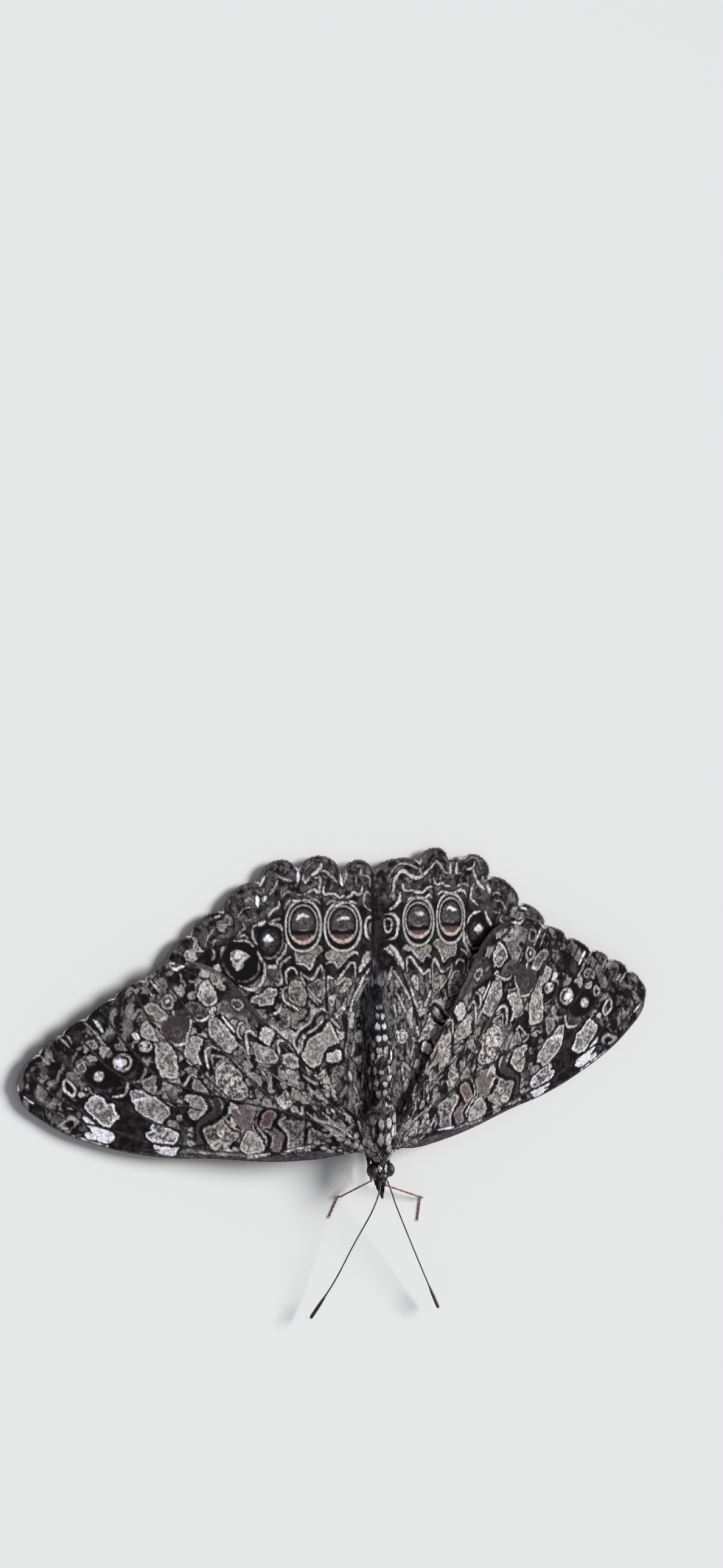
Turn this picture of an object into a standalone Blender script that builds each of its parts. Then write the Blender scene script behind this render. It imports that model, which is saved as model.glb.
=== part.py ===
"""Gray cracker butterfly, Hamadryas februa, sitting with its wings spread flat.

The insect sits on a level surface at z = 0. Its head points to -Y, its left side is at +X.
The sizes below are in millimetres; MM turns them into Blender's metres.
"""
import math

import bmesh
import bpy
import numpy as np
from mathutils import Matrix, Vector
from mathutils.geometry import delaunay_2d_cdt

MM = 0.001
GAP = 0.3                      # clear space between two pieces that grow from each other
SIDES = ((-1, "right"), (1, "left"))

# The draped sheet that the four wings lie on: highest at the body, lowest at the rim.
RIM_HEIGHT = 0.9
DRAPE_RISE = 3.9
DRAPE_REACH = 38.5
DRAPE_POWER = 1.5
FORE_LIFT_FRONT = 0.1          # how far a forewing lies above the sheet at its front edge
FORE_LIFT_REAR = 1.0           # and where it covers the hindwing
LIFT_FROM, LIFT_TO = 12.0, 27.0    # the bearings, in degrees, between which it climbs

# Wings. A wing's own frame has u along its length and v to the rear.
WING_THICK = 0.5
VEIN_RISE = 0.1                # how far a vein stands above and below the membrane
VEIN_HALF = 0.25               # half of a vein's width
POINT_STEP = 1.5               # distance between points along an outline or a vein
INNER_STEP = 2.1               # distance between the points inside the membrane
ROW_STEP = INNER_STEP * math.sqrt(3) / 2
CLEAR_OF_LINES = INNER_STEP * 0.42     # how far such a point keeps from a vein or the margin
LOBE_FLATNESS = 2.4            # shape of the rounded lobes between two notches of the margin
LOBE_FULLNESS = 0.8
LEAST_LOBE_POINTS = 4
BODY_X = 0.45                  # the body's middle plane, a little to the left of the wings'
ROOT_REACH = 2.45              # from the body's middle plane to the wings' root faces
INNER_X = 0.3                  # how close to the midline the hindwings come
INNER_EDGE_STEP = 3.0          # distance between points along the hindwing's straight inner edge
BESIDE_ABDOMEN = GAP + 0.05    # how far the hindwing's inner edge keeps from the abdomen

FORE_SWEEP = {-1: 13.8, 1: 24.8}           # degrees, for the right wing and the left wing
FORE_ROOT = {-1: (2.6, -0.8), 1: (1.9, -1.1)}
FORE_BASE_Y = (1.0, 3.1)       # front and rear end of the root
FORE_COSTA = [(3.0, 0.5), (5.2, -0.3), (10.2, -1.5), (16.9, -2.4), (21.6, -3.2), (27.0, -3.4),
              (32.7, -2.8), (36.9, -1.4), (38.6, -0.4), (39.4, 0.8)]
FORE_NOTCHES = [(39.4, 0.8), (38.3, 5.0), (36.4, 7.5), (34.4, 9.6), (31.9, 12.4), (29.1, 14.9),
                (26.4, 17.5)]
FORE_LOBES = [0.7, 0.45, 0.45, 0.4, 0.55, 0.6]
FORE_INNER = [(26.4, 17.5), (23.8, 18.3), (20.2, 17.6), (15.2, 14.4), (9.0, 10.2), (5.0, 7.2)]
FORE_VEINS = {
    "subcosta": [(4.0, 0.75), (7.0, 0.2), (9.0, -0.55), (13.0, -1.6), (19.0, -2.35), (21.0, -2.75)],
    "radius": [(3.0, 2.1), (7.0, 1.05), (11.0, -0.6), (16.0, -1.4), (19.0, -1.5), (24.3, -1.9),
               (30.0, -1.1)],
    "radius_1": [(19.0, -1.5), (22.5, -2.45), (25.0, -2.9)],
    "radius_4": [(30.0, -1.1), (34.0, -1.0), (38.6, 0.7)],
    "radius_5": [(30.0, -1.1), (33.0, 0.3), (36.0, 1.3), (38.9, 3.0)],
    "media_1": [(19.4, 0.0), (22.5, 0.15), (25.0, 0.5), (30.0, 2.1), (34.8, 4.3), (37.2, 6.1)],
    "media_2": [(19.4, 2.6), (25.0, 3.25), (30.3, 5.0), (33.0, 6.6), (35.3, 8.4)],
    "media_3": [(18.9, 4.4), (24.8, 5.2), (28.3, 7.2), (31.0, 9.2), (33.0, 10.9)],
    "cubitus_1": [(16.6, 4.5), (20.0, 6.4), (25.8, 9.8), (28.3, 11.8), (30.3, 13.7)],
    "cubitus_2": [(10.0, 4.3), (15.0, 7.1), (18.6, 9.4), (23.2, 12.5), (27.5, 16.2)],
    "cubitus": [(3.0, 3.4), (5.0, 4.0), (10.0, 4.3), (16.6, 4.5), (18.9, 4.4)],
    "cross_vein": [(19.0, -1.5), (19.4, 0.0), (19.4, 2.6), (18.9, 4.4)],
    "anal": [(3.4, 4.9), (8.0, 8.4), (16.0, 13.9), (20.0, 15.9), (25.4, 17.2)],
}

HIND_SWEEP = {-1: 0.5, 1: -0.5}
HIND_ROOT = {-1: (1.6, 1.3), 1: (2.4, 1.7)}
HIND_BASE_Y = (3.8, 6.3)
HIND_COSTA = [(3.0, 1.8), (8.0, 4.2), (14.0, 6.9), (20.0, 9.6), (24.8, 12.2)]
HIND_NOTCHES = [(24.8, 12.2), (25.0, 14.6), (23.2, 19.8), (20.4, 23.8), (16.7, 26.3), (12.4, 29.5)]
HIND_REAR_NOTCHES = {-1: [(8.0, 30.9), (2.6, 29.7)], 1: [(7.8, 31.8), (2.9, 31.5)]}
HIND_LOBES = [0.4, 0.7, 1.0, 0.9, 1.2]
HIND_REAR_LOBES = {-1: [1.9, 2.3], 1: [2.1, 1.8]}
HIND_LAST_LOBE = {-1: 1.9, 1: 1.0}         # the lobe beside the midline
HIND_CORNER_Y = 32.1
HIND_VEINS = {
    "subcosta": [(2.6, 3.0), (5.0, 4.4), (10.0, 6.8), (16.0, 9.4), (21.0, 11.4), (23.6, 12.8)],
    "radius_stem": [(2.0, 3.8), (4.0, 5.6), (7.0, 8.6), (8.6, 11.6)],
    "radius": [(7.0, 8.6), (12.0, 11.7), (18.0, 15.0), (23.5, 17.4)],
    "media_1": [(8.6, 11.6), (13.0, 14.8), (18.0, 18.6), (21.9, 21.9)],
    "media_2": [(8.0, 13.0), (12.0, 16.0), (15.2, 18.6), (17.2, 21.8), (18.6, 24.9)],
    "media_3": [(6.0, 14.8), (9.5, 17.8), (11.6, 20.0), (12.8, 22.6), (14.7, 28.0)],
    "cubitus_1": [(4.6, 14.9), (7.5, 17.6), (9.4, 20.5), (9.5, 24.0), (10.4, 31.4)],
    "cubitus_2": [(3.8, 12.2), (4.65, 17.0), (4.7, 20.0), (4.95, 25.0), (5.3, 32.0)],
    "cubitus": [(2.0, 4.6), (3.0, 8.6), (3.8, 12.2), (4.6, 14.9), (6.0, 14.8), (8.0, 13.0), (8.6, 11.6)],
    "anal": [(1.5, 5.8), (1.9, 9.0), (1.9, 13.5), (1.3, 17.0), (0.4, 20.0), (-0.05, 24.0), (0.4, 31.0)],
}

# Body, along Y, with x measured from its middle plane.
# Each section is (y, half width, height of the middle, half height).
NECK_Y = (-0.65, -0.15)
NECK_RADIUS = 0.75
THORAX = [(0.15, 0.95, 4.2, 0.95), (0.7, 1.6, 4.2, 1.75), (1.8, 2.02, 4.2, 2.25), (3.3, 2.13, 4.2, 2.4),
          (4.8, 2.0, 4.15, 2.2), (6.0, 1.6, 4.05, 1.75), (6.6, 1.3, 4.0, 1.45)]
ABDOMEN = [(6.9, 1.3, 4.0, 1.45), (7.6, 1.55, 3.95, 1.6), (9.5, 1.7, 3.85, 1.68), (12.0, 1.7, 3.75, 1.65),
           (14.5, 1.55, 3.55, 1.5), (16.9, 1.25, 3.35, 1.2), (18.5, 0.85, 3.2, 0.85), (19.3, 0.45, 3.1, 0.45)]
BODY_SIDES = 22
GROOVE_SHARPNESS = 8
BODY_STEP = 0.42               # distance between the rings of a body part
SEGMENT = 1.72                 # length of one ring of the abdomen
GROOVE = 0.05                  # how deep the joint between two of them is, as a share of the width

HEAD_CENTRE = (0.0, -1.8, 4.2)
HEAD_RADII = (1.35, 1.2, 1.3)
HEAD_BACK_Y = -0.95
CHEEK_X = 0.72
EYE_CENTRE = (1.0, -1.85, 4.25)
EYE_RADII = (0.75, 0.95, 1.0)
EYE_FLAT_X = CHEEK_X + GAP
HEAD_MESH = (20, 12)           # segments round and rings of each ball
EYE_MESH = (18, 12)
TEGULA_MESH = (12, 8)

# Palpi and antennae: points along the middle, and the radius at each point.
PALPUS = [(0.36, -3.2, 3.5), (0.37, -3.8, 3.8), (0.31, -4.4, 4.2), (0.25, -4.8, 4.5)]
PALPUS_RADII = [0.22, 0.24, 0.2, 0.1]
ANTENNA = {-1: [(0.36, -2.95, 5.05), (0.55, -4.3, 4.95), (1.2, -6.5, 4.45), (2.9, -10.25, 3.55),
                (4.75, -14.3, 2.8), (7.25, -18.6, 1.9)],
           1: [(0.42, -2.95, 5.05), (1.22, -4.3, 4.95), (1.75, -5.7, 4.5), (3.9, -9.5, 3.8),
               (6.45, -14.2, 2.8), (9.2, -19.3, 1.9)]}
ANTENNA_RADIUS = 0.25
CLUB_RADIUS = 0.36
CLUB_FROM = 0.82               # share of the length where the club begins
CLUB_PEAK = 0.5                # share of the club's own length where it is widest
CLUB_END = 0.75                # and where its rounded end stops narrowing
FEELER_STEP = 0.9
FEELER_SIDES = 8

# Legs: where the thigh leaves the thorax, the knee, the ankle and the toe.
LEGS = {
    ("mid", -1): [(0.8, 1.6, 1.5), (-0.05, -3.45, 1.75), (3.35, -5.3, 0.65), (4.4, -7.6, 0.0)],
    ("mid", 1): [(0.95, 1.6, 1.5), (1.85, -4.1, 1.75), (7.3, -6.35, 0.65), (7.0, -9.0, 0.0)],
    ("hind", -1): [(1.0, 4.6, 1.5), (4.7, 8.4, 1.75), (6.8, 13.6, 0.75), (7.9, 18.4, 0.0)],
    ("hind", 1): [(1.0, 4.6, 1.5), (4.0, 8.4, 1.75), (6.2, 13.4, 0.75), (7.6, 18.0, 0.0)],
}
THIGH_RADII = (0.42, 0.36)
SHIN_RADII = (0.33, 0.3)
TOE_RADII = (0.27, 0.25)
SOLE_CENTRE = 0.22             # height of the foot's middle line, so that its sole is flat at z = 0
LEG_SIDES = 10
LEG_RINGS = 4
SHORT_LEG = [(0.6, 0.0, 2.75), (0.6, -0.6, 2.5), (0.65, -1.2, 2.45)]
SHORT_LEG_RADII = [0.27, 0.25, 0.22]
TEGULA_CENTRE = (1.5, 1.1, 6.0)
TEGULA_RADII = (0.42, 0.85, 0.28)

# Red, green, blue and roughness of each kind of piece.
COLOURS = {
    "wing": (0.16, 0.14, 0.14, 0.8),
    "fur": (0.07, 0.06, 0.065, 0.9),
    "eye": (0.035, 0.018, 0.012, 0.15),
    "leg": (0.13, 0.065, 0.045, 0.5),
    "feeler": (0.05, 0.035, 0.03, 0.5),
}


def clear_scene():
    for thing in list(bpy.data.objects):
        bpy.data.objects.remove(thing, do_unlink=True)


def material(kind, name):
    """A Principled material with a colour and a roughness for one piece."""
    red, green, blue, rough = COLOURS[kind]
    made = bpy.data.materials.new(name)
    made.use_nodes = True
    shader = made.node_tree.nodes["Principled BSDF"]
    shader.inputs["Base Color"].default_value = (red, green, blue, 1.0)
    shader.inputs["Roughness"].default_value = rough
    shader.inputs["Metallic"].default_value = 0.0
    return made


def add_object(name, bm, kind, parent):
    """Turn a bmesh in millimetres into a named object in metres."""
    bmesh.ops.recalc_face_normals(bm, faces=bm.faces)
    bmesh.ops.scale(bm, vec=(MM, MM, MM), verts=bm.verts)
    mesh = bpy.data.meshes.new(name)
    bm.to_mesh(mesh)
    bm.free()
    mesh.shade_smooth()
    mesh.materials.append(material(kind, name))
    made = bpy.data.objects.new(name, mesh)
    made.parent = parent
    bpy.context.scene.collection.objects.link(made)
    return made


def curve_through(points, step):
    """A smooth curve through the points, with a point about every step."""
    ends = [2 * Vector(points[0]) - Vector(points[1])]
    knots = ends + [Vector(p) for p in points] + [2 * Vector(points[-1]) - Vector(points[-2])]
    out = []
    for a, b, c, d in zip(knots, knots[1:], knots[2:], knots[3:]):
        count = max(1, round((c - b).length / step))
        for i in range(count):
            t = i / count
            bend = (2 * a - 5 * b + 4 * c - d) * t * t + (3 * b - a - 3 * c + d) * t ** 3
            out.append(b + 0.5 * ((c - a) * t + bend))
    out.append(knots[-2])
    return out


def ring_around(bm, centre, along, radius, sides, floor=None):
    """A ring of vertices around a point; floor lifts the lowest of them to one level."""
    side = along.cross(Vector((0, 0, 1))).normalized()
    up = side.cross(along).normalized()
    verts = []
    for i in range(sides):
        turn = 2 * math.pi * (i + 0.5) / sides
        spot = centre + radius * (math.sin(turn) * side - math.cos(turn) * up)
        if floor is not None:
            spot.z = max(spot.z, floor)
        verts.append(bm.verts.new(spot))
    return verts


def skin_rings(bm, rings):
    """Join rings of vertices one after the other and close both ends."""
    edges = []
    for ring in rings:
        edges.append([bm.edges.new((a, b)) for a, b in zip(ring, ring[1:] + ring[:1])])
    for first, second in zip(edges, edges[1:]):
        bmesh.ops.bridge_loops(bm, edges=first + second)
    bm.faces.new(rings[0])
    bm.faces.new(rings[-1])


def tube(points, radii, sides, floor=None):
    """A tapering tube along the points."""
    bm = bmesh.new()
    rings = []
    for i, point in enumerate(points):
        along = points[min(i + 1, len(points) - 1)] - points[max(i - 1, 0)]
        rings.append(ring_around(bm, point, along.normalized(), radii[i], sides, floor))
    skin_rings(bm, rings)
    return bm


def spread(values, count):
    """The values, evenly stretched to count numbers."""
    places = np.linspace(0, len(values) - 1, count)
    return [float(value) for value in np.interp(places, range(len(values)), values)]


def on_side(point, side):
    """A place on the body, from its distance to the body's middle plane on one side."""
    return Vector((BODY_X + side * point[0], point[1], point[2]))


def body_shell(sections, groove=0.0):
    """A body part from its sections along Y; groove marks where its segments join."""
    bm = bmesh.new()
    rings = []
    start = sections[0][0]
    for y, half_width, middle, half_height in curve_through(sections, BODY_STEP):
        pinch = 1 - groove * math.cos(math.pi * (y - start) / SEGMENT) ** GROOVE_SHARPNESS
        half_width *= pinch
        half_height *= pinch
        ring = []
        for i in range(BODY_SIDES):
            turn = 2 * math.pi * i / BODY_SIDES
            across = BODY_X + half_width * math.cos(turn)
            ring.append(bm.verts.new((across, y, middle + half_height * math.sin(turn))))
        rings.append(ring)
    skin_rings(bm, rings)
    return bm


def ball(centre, radii, mesh_size):
    """A ball stretched to three radii, with mesh_size as its segments round and its rings."""
    bm = bmesh.new()
    place = Matrix.Translation(centre) @ Matrix.Diagonal((*radii, 1))
    segments, rings = mesh_size
    bmesh.ops.create_uvsphere(bm, u_segments=segments, v_segments=rings, radius=1.0, matrix=place)
    return bm


def cut_flat(bm, point, normal):
    """Cut away what lies past a plane and close the cut with a flat face."""
    everything = bm.verts[:] + bm.edges[:] + bm.faces[:]
    bmesh.ops.bisect_plane(bm, geom=everything, dist=1e-5, plane_co=point, plane_no=normal, clear_outer=True)
    rim = [edge for edge in bm.edges if edge.is_boundary]
    bmesh.ops.contextual_create(bm, geom=rim)


def drape(x, y, fore):
    """Height of a wing's middle surface above the floor, x measured on its own side."""
    reach = math.hypot(x, y)
    height = RIM_HEIGHT + DRAPE_RISE * max(1 - reach / DRAPE_REACH, 0.0) ** DRAPE_POWER
    if fore:
        bearing = math.degrees(math.atan2(y, x))
        climb = min(max((bearing - LIFT_FROM) / (LIFT_TO - LIFT_FROM), 0.0), 1.0)
        climb = climb * climb * (3 - 2 * climb)
        height += FORE_LIFT_FRONT + (FORE_LIFT_REAR - FORE_LIFT_FRONT) * climb
    return height


def to_body(point, root, sweep):
    """From a wing's own frame to the body's, x still measured on the wing's side."""
    turn = math.radians(sweep)
    x = root[0] + math.cos(turn) * point[0] - math.sin(turn) * point[1]
    y = root[1] + math.sin(turn) * point[0] + math.cos(turn) * point[1]
    return Vector((x, y))


def lobes_between(notches, rises):
    """The scalloped margin: a rounded lobe from each notch to the next."""
    out = []
    for (first, second), rise in zip(zip(notches, notches[1:]), rises):
        a, b = Vector(first), Vector(second)
        outward = Vector((b.y - a.y, a.x - b.x)).normalized()
        count = max(LEAST_LOBE_POINTS, round((b - a).length / POINT_STEP) + 2)
        for i in range(count):
            t = i / count
            bulge = (1 - abs(2 * t - 1) ** LOBE_FLATNESS) ** LOBE_FULLNESS
            out.append(a.lerp(b, t) + rise * bulge * outward)
    return out


def root_x(side):
    """How far out a wing's root face is, measured on the wing's side."""
    return ROOT_REACH + side * BODY_X


def fore_outline(side):
    frame = (FORE_ROOT[side], FORE_SWEEP[side])
    costa = curve_through(FORE_COSTA, POINT_STEP)[:-1]
    margin = lobes_between(FORE_NOTCHES, FORE_LOBES)
    inner = curve_through(FORE_INNER, POINT_STEP)
    wing = [to_body(p, *frame) for p in costa + margin + inner]
    front, rear = [Vector((root_x(side), y)) for y in FORE_BASE_Y]
    return [front] + wing + [rear]


def abdomen_half_width(y):
    ys = [section[0] for section in ABDOMEN]
    return float(np.interp(y, ys, [section[1] for section in ABDOMEN]))


def hind_outline(side):
    frame = (HIND_ROOT[side], HIND_SWEEP[side])
    costa = curve_through(HIND_COSTA, POINT_STEP)[:-1]
    notches = HIND_NOTCHES + HIND_REAR_NOTCHES[side]
    margin = lobes_between(notches, HIND_LOBES + HIND_REAR_LOBES[side])
    wing = [to_body(p, *frame) for p in costa + margin]
    corner = (INNER_X, HIND_CORNER_Y)
    last = lobes_between([tuple(to_body(notches[-1], *frame)), corner], [HIND_LAST_LOBE[side]])
    behind = ABDOMEN[-1][0] + GAP
    last_y = behind + INNER_EDGE_STEP / 2
    inner = [Vector((INNER_X, y)) for y in np.arange(HIND_CORNER_Y, last_y, -INNER_EDGE_STEP)]
    front, rear = [Vector((root_x(side), y)) for y in HIND_BASE_Y]
    beside = []
    for y in np.arange(behind, rear.y, -POINT_STEP):
        from_middle = abdomen_half_width(y) + BESIDE_ABDOMEN + side * BODY_X
        beside.append(Vector((max(from_middle, INNER_X), y)))
    return [front] + wing + last + inner + beside + [rear]


def beside_line(line, offset):
    """A line that runs beside another at a set distance."""
    out = []
    for i, point in enumerate(line):
        along = (line[min(i + 1, len(line) - 1)] - line[max(i - 1, 0)]).normalized()
        out.append(point + offset * Vector((-along.y, along.x)))
    return out


def distance_to_lines(points, lines):
    """Each point's distance to the nearest of the lines."""
    nearest = np.full(len(points), np.inf)
    for line in lines:
        for a, b in zip(line, line[1:]):
            a, step = np.array(a), np.array(b) - np.array(a)
            share = np.clip(((points - a) @ step) / (step @ step), 0, 1)
            gap = np.linalg.norm(points - (a + share[:, None] * step), axis=1)
            nearest = np.minimum(nearest, gap)
    return nearest


def inside(points, outline):
    """Which points lie inside the closed outline."""
    within = np.zeros(len(points), bool)
    for a, b in zip(outline, outline[1:] + outline[:1]):
        crosses = (a.y > points[:, 1]) != (b.y > points[:, 1])
        if crosses.any():
            run = (b.x - a.x) * (points[:, 1] - a.y) / (b.y - a.y) + a.x
            within ^= crosses & (points[:, 0] < run)
    return within


def wing_points(outline, veins):
    """All points and fixed edges of a wing's plan: outline, veins and the membrane between."""
    points, edges = [], []

    def add_line(line, closed):
        first = len(points)
        points.extend(line)
        edges.extend((first + i, first + i + 1) for i in range(len(line) - 1))
        if closed:
            edges.append((len(points) - 1, first))

    add_line(outline, True)
    for vein in veins:
        add_line(vein, False)
        add_line(beside_line(vein, VEIN_HALF), False)
        add_line(beside_line(vein, -VEIN_HALF), False)
    low = np.min([tuple(p) for p in outline], axis=0)
    high = np.max([tuple(p) for p in outline], axis=0)
    rows = np.arange(low[1], high[1], ROW_STEP)
    grid = np.array([(x + (row % 2) * INNER_STEP / 2, y) for row, y in enumerate(rows)
                     for x in np.arange(low[0], high[0], INNER_STEP)])
    clear = distance_to_lines(grid, veins + [outline + outline[:1]]) > CLEAR_OF_LINES
    points.extend(Vector(p) for p in grid[clear & inside(grid, outline)])
    return points, edges


def wing_solid(outline, veins, side, fore):
    """The wing's plan, split into triangles, draped, and given the same triangles below."""
    points, edges = wing_points(outline, veins)
    flat = delaunay_2d_cdt(points, edges, [list(range(len(outline)))], 1, 1e-4)
    plan, triangles = flat[0], flat[2]
    from_vein = distance_to_lines(np.array([tuple(p) for p in plan]), veins)
    half = WING_THICK / 2 + VEIN_RISE * np.clip(1 - from_vein / VEIN_HALF, 0, 1)
    bm = bmesh.new()
    thickness = bm.verts.layers.float.new("thickness")
    verts = []
    for point, part in zip(plan, half):
        vert = bm.verts.new((side * point.x, point.y, drape(point.x, point.y, fore) - part))
        vert[thickness] = 2 * part
        verts.append(vert)
    for corners in triangles:
        bm.faces.new([verts[i] for i in corners])
    for vert in [v for v in bm.verts if not v.link_faces]:
        bm.verts.remove(vert)
    upper = bmesh.ops.extrude_face_region(bm, geom=bm.faces[:])["geom"]
    for vert in upper:
        if isinstance(vert, bmesh.types.BMVert):
            vert.co.z += vert[thickness]
    return bm


def veins_in_body(lines, root, sweep):
    """A wing's veins as smooth curves in the body's frame."""
    return [[to_body(p, root, sweep) for p in curve_through(line, POINT_STEP)] for line in lines.values()]


def make_wings(parent):
    for side, word in SIDES:
        veins = veins_in_body(FORE_VEINS, FORE_ROOT[side], FORE_SWEEP[side])
        add_object("forewing_" + word, wing_solid(fore_outline(side), veins, side, True), "wing", parent)
        veins = veins_in_body(HIND_VEINS, HIND_ROOT[side], HIND_SWEEP[side])
        add_object("hindwing_" + word, wing_solid(hind_outline(side), veins, side, False), "wing", parent)


def make_body(parent):
    add_object("thorax", body_shell(THORAX), "fur", parent)
    add_object("abdomen", body_shell(ABDOMEN, GROOVE), "fur", parent)
    middle = HEAD_CENTRE[2]
    neck = [(y, NECK_RADIUS, middle, NECK_RADIUS) for y in NECK_Y]
    add_object("neck", body_shell(neck), "fur", parent)
    head = ball(on_side(HEAD_CENTRE, 1), HEAD_RADII, HEAD_MESH)
    cut_flat(head, (0, HEAD_BACK_Y, 0), (0, 1, 0))
    for side, _ in SIDES:
        cut_flat(head, (BODY_X + side * CHEEK_X, 0, 0), (side, 0, 0))
    add_object("head", head, "fur", parent)


def antenna_radii(count):
    """A thin shaft that swells into a club towards the tip."""
    radii = []
    for i in range(count):
        share = max(i / (count - 1) - CLUB_FROM, 0) / (1 - CLUB_FROM)
        swell = math.sin(math.pi / 2 * min(share, CLUB_END) / CLUB_PEAK)
        radii.append(ANTENNA_RADIUS + (CLUB_RADIUS - ANTENNA_RADIUS) * swell)
    return radii


def make_head_pieces(parent):
    for side, word in SIDES:
        eye = ball(on_side(EYE_CENTRE, side), EYE_RADII, EYE_MESH)
        cut_flat(eye, (BODY_X + side * EYE_FLAT_X, 0, 0), (-side, 0, 0))
        add_object("eye_" + word, eye, "eye", parent)
        palpus = [on_side(p, side) for p in PALPUS]
        add_object("palpus_" + word, tube(palpus, PALPUS_RADII, LEG_SIDES), "fur", parent)
        feeler = curve_through([on_side(p, side) for p in ANTENNA[side]], FEELER_STEP)
        add_object("antenna_" + word, tube(feeler, antenna_radii(len(feeler)), FEELER_SIDES), "feeler", parent)
        tegula = ball(on_side(TEGULA_CENTRE, side), TEGULA_RADII, TEGULA_MESH)
        add_object("tegula_" + word, tegula, "fur", parent)


def short_of(a, b, by_start, by_end):
    """The line from a to b with a little taken off each end."""
    along = (b - a).normalized()
    return a + along * by_start, b - along * by_end


def make_legs(parent):
    for (pair, side), places in LEGS.items():
        hip, knee, ankle, toe = [on_side(p, side) for p in places]
        thigh = short_of(hip, knee, 0.0, GAP / 2)
        shin = short_of(knee, ankle, GAP, GAP / 2)
        heel = Vector((ankle.x, ankle.y, SOLE_CENTRE))
        tip = Vector((toe.x, toe.y, SOLE_CENTRE))
        foot = short_of(heel, tip, GAP, 0.0)
        for part, line, radii, floor in (("femur", thigh, THIGH_RADII, None), ("tibia", shin, SHIN_RADII, None),
                                         ("tarsus", foot, TOE_RADII, 0.0)):
            points = [line[0].lerp(line[1], t) for t in spread((0.0, 1.0), LEG_RINGS)]
            name = f"{pair}leg_{part}_{dict(SIDES)[side]}"
            add_object(name, tube(points, spread(radii, LEG_RINGS), LEG_SIDES, floor), "leg", parent)
    for side, word in SIDES:
        points = [on_side(p, side) for p in SHORT_LEG]
        add_object("foreleg_" + word, tube(points, SHORT_LEG_RADII, LEG_SIDES), "leg", parent)


def stand_on_middle(parent):
    """Move the whole insect so that its box is centred over the origin and its soles are at z = 0."""
    bpy.context.view_layer.update()
    corners = []
    for thing in bpy.data.objects:
        if thing.type == "MESH":
            corners.extend(thing.matrix_world @ vert.co for vert in thing.data.vertices)
    low = np.min([tuple(c) for c in corners], axis=0)
    high = np.max([tuple(c) for c in corners], axis=0)
    parent.location = (-(low[0] + high[0]) / 2, -(low[1] + high[1]) / 2, -low[2])
    bpy.context.view_layer.update()


def main():
    clear_scene()
    model = bpy.data.objects.new("butterfly", None)
    bpy.context.scene.collection.objects.link(model)
    make_body(model)
    make_head_pieces(model)
    make_legs(model)
    make_wings(model)
    stand_on_middle(model)


main()
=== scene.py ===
"""The looks of a gray cracker butterfly, Hamadryas februa, sitting with its wings spread flat.

Sizes are in millimetres, in the insect's own frame: x to its left, y to its rear, z up from the floor.
add_piece() turns them into metres and moves them to where the solid model stands.
"""

import math

import bmesh
import bpy
import numpy as np
from mathutils import Matrix, Vector


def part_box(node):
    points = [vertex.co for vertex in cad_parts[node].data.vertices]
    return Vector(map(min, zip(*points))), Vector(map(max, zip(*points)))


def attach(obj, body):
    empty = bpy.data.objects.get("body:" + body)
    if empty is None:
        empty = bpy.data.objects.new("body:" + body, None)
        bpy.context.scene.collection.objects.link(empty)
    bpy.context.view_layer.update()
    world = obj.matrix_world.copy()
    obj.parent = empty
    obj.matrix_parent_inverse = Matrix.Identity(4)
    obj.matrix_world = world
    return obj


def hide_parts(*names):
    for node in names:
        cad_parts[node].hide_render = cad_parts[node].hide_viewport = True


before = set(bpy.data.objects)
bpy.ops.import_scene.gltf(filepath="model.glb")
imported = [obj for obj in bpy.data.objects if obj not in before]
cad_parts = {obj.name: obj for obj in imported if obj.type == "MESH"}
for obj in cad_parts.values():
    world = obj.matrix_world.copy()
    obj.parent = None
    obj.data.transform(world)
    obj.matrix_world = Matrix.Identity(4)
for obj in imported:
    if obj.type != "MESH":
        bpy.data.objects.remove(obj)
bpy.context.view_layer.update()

MM = 0.001
BODY_X = 0.45                  # the body's middle plane, a little to the left of the wings'
THORAX_FRONT = 0.15
thorax_low, thorax_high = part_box("thorax")
# From the insect's own frame to the solid model's, in millimetres.
SHIFT = Vector(((thorax_low.x + thorax_high.x) / 2 / MM - BODY_X, thorax_low.y / MM - THORAX_FRONT, 0.0))
SIDES = ((-1, "right"), (1, "left"))

# The draped sheet that the four wings lie on, as in the solids.
RIM_HEIGHT = 0.9
DRAPE_RISE = 3.9
DRAPE_REACH = 38.5
DRAPE_POWER = 1.5
FORE_LIFT_FRONT = 0.1
FORE_LIFT_REAR = 1.0
LIFT_FROM, LIFT_TO = 12.0, 27.0

# Outlines and veins, close to the solids' own. A wing's frame has u along its length and v to the rear.
POINT_STEP = 0.4
SCALE_STEP = 0.12              # distance between the points of a wing's surface
LOBE_FLATNESS = 2.4
LOBE_FULLNESS = 0.72
ROOT_REACH = 1.0               # the wings run on into the body, under its hair
INNER_X = -0.05                # where the hindwings meet behind the body
SKIN_OVERLAP = 0.35            # how far the hindwings reach into the body's skin
FORE_SWEEP = {-1: 13.8, 1: 24.8}
FORE_ROOT = {-1: (2.6, -0.8), 1: (1.9, -1.1)}
FORE_BASE_Y = (1.0, 3.1)
FORE_COSTA = [
    (3.0, 0.5), (5.2, -0.3), (10.2, -1.5), (16.9, -2.4), (21.6, -3.2), (27.0, -3.4), (32.7, -2.8),
    (36.9, -1.4), (38.6, -0.4), (39.4, 0.8),
]
FORE_NOTCHES = [(39.4, 0.8), (38.3, 5.0), (36.4, 7.5), (34.4, 9.6)]
FORE_REAR_NOTCHES = {
    -1: [(31.9, 12.4), (29.1, 14.9), (26.4, 17.5)],
    1: [(32.0, 12.7), (29.5, 15.3), (26.8, 17.9)],
}
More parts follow.
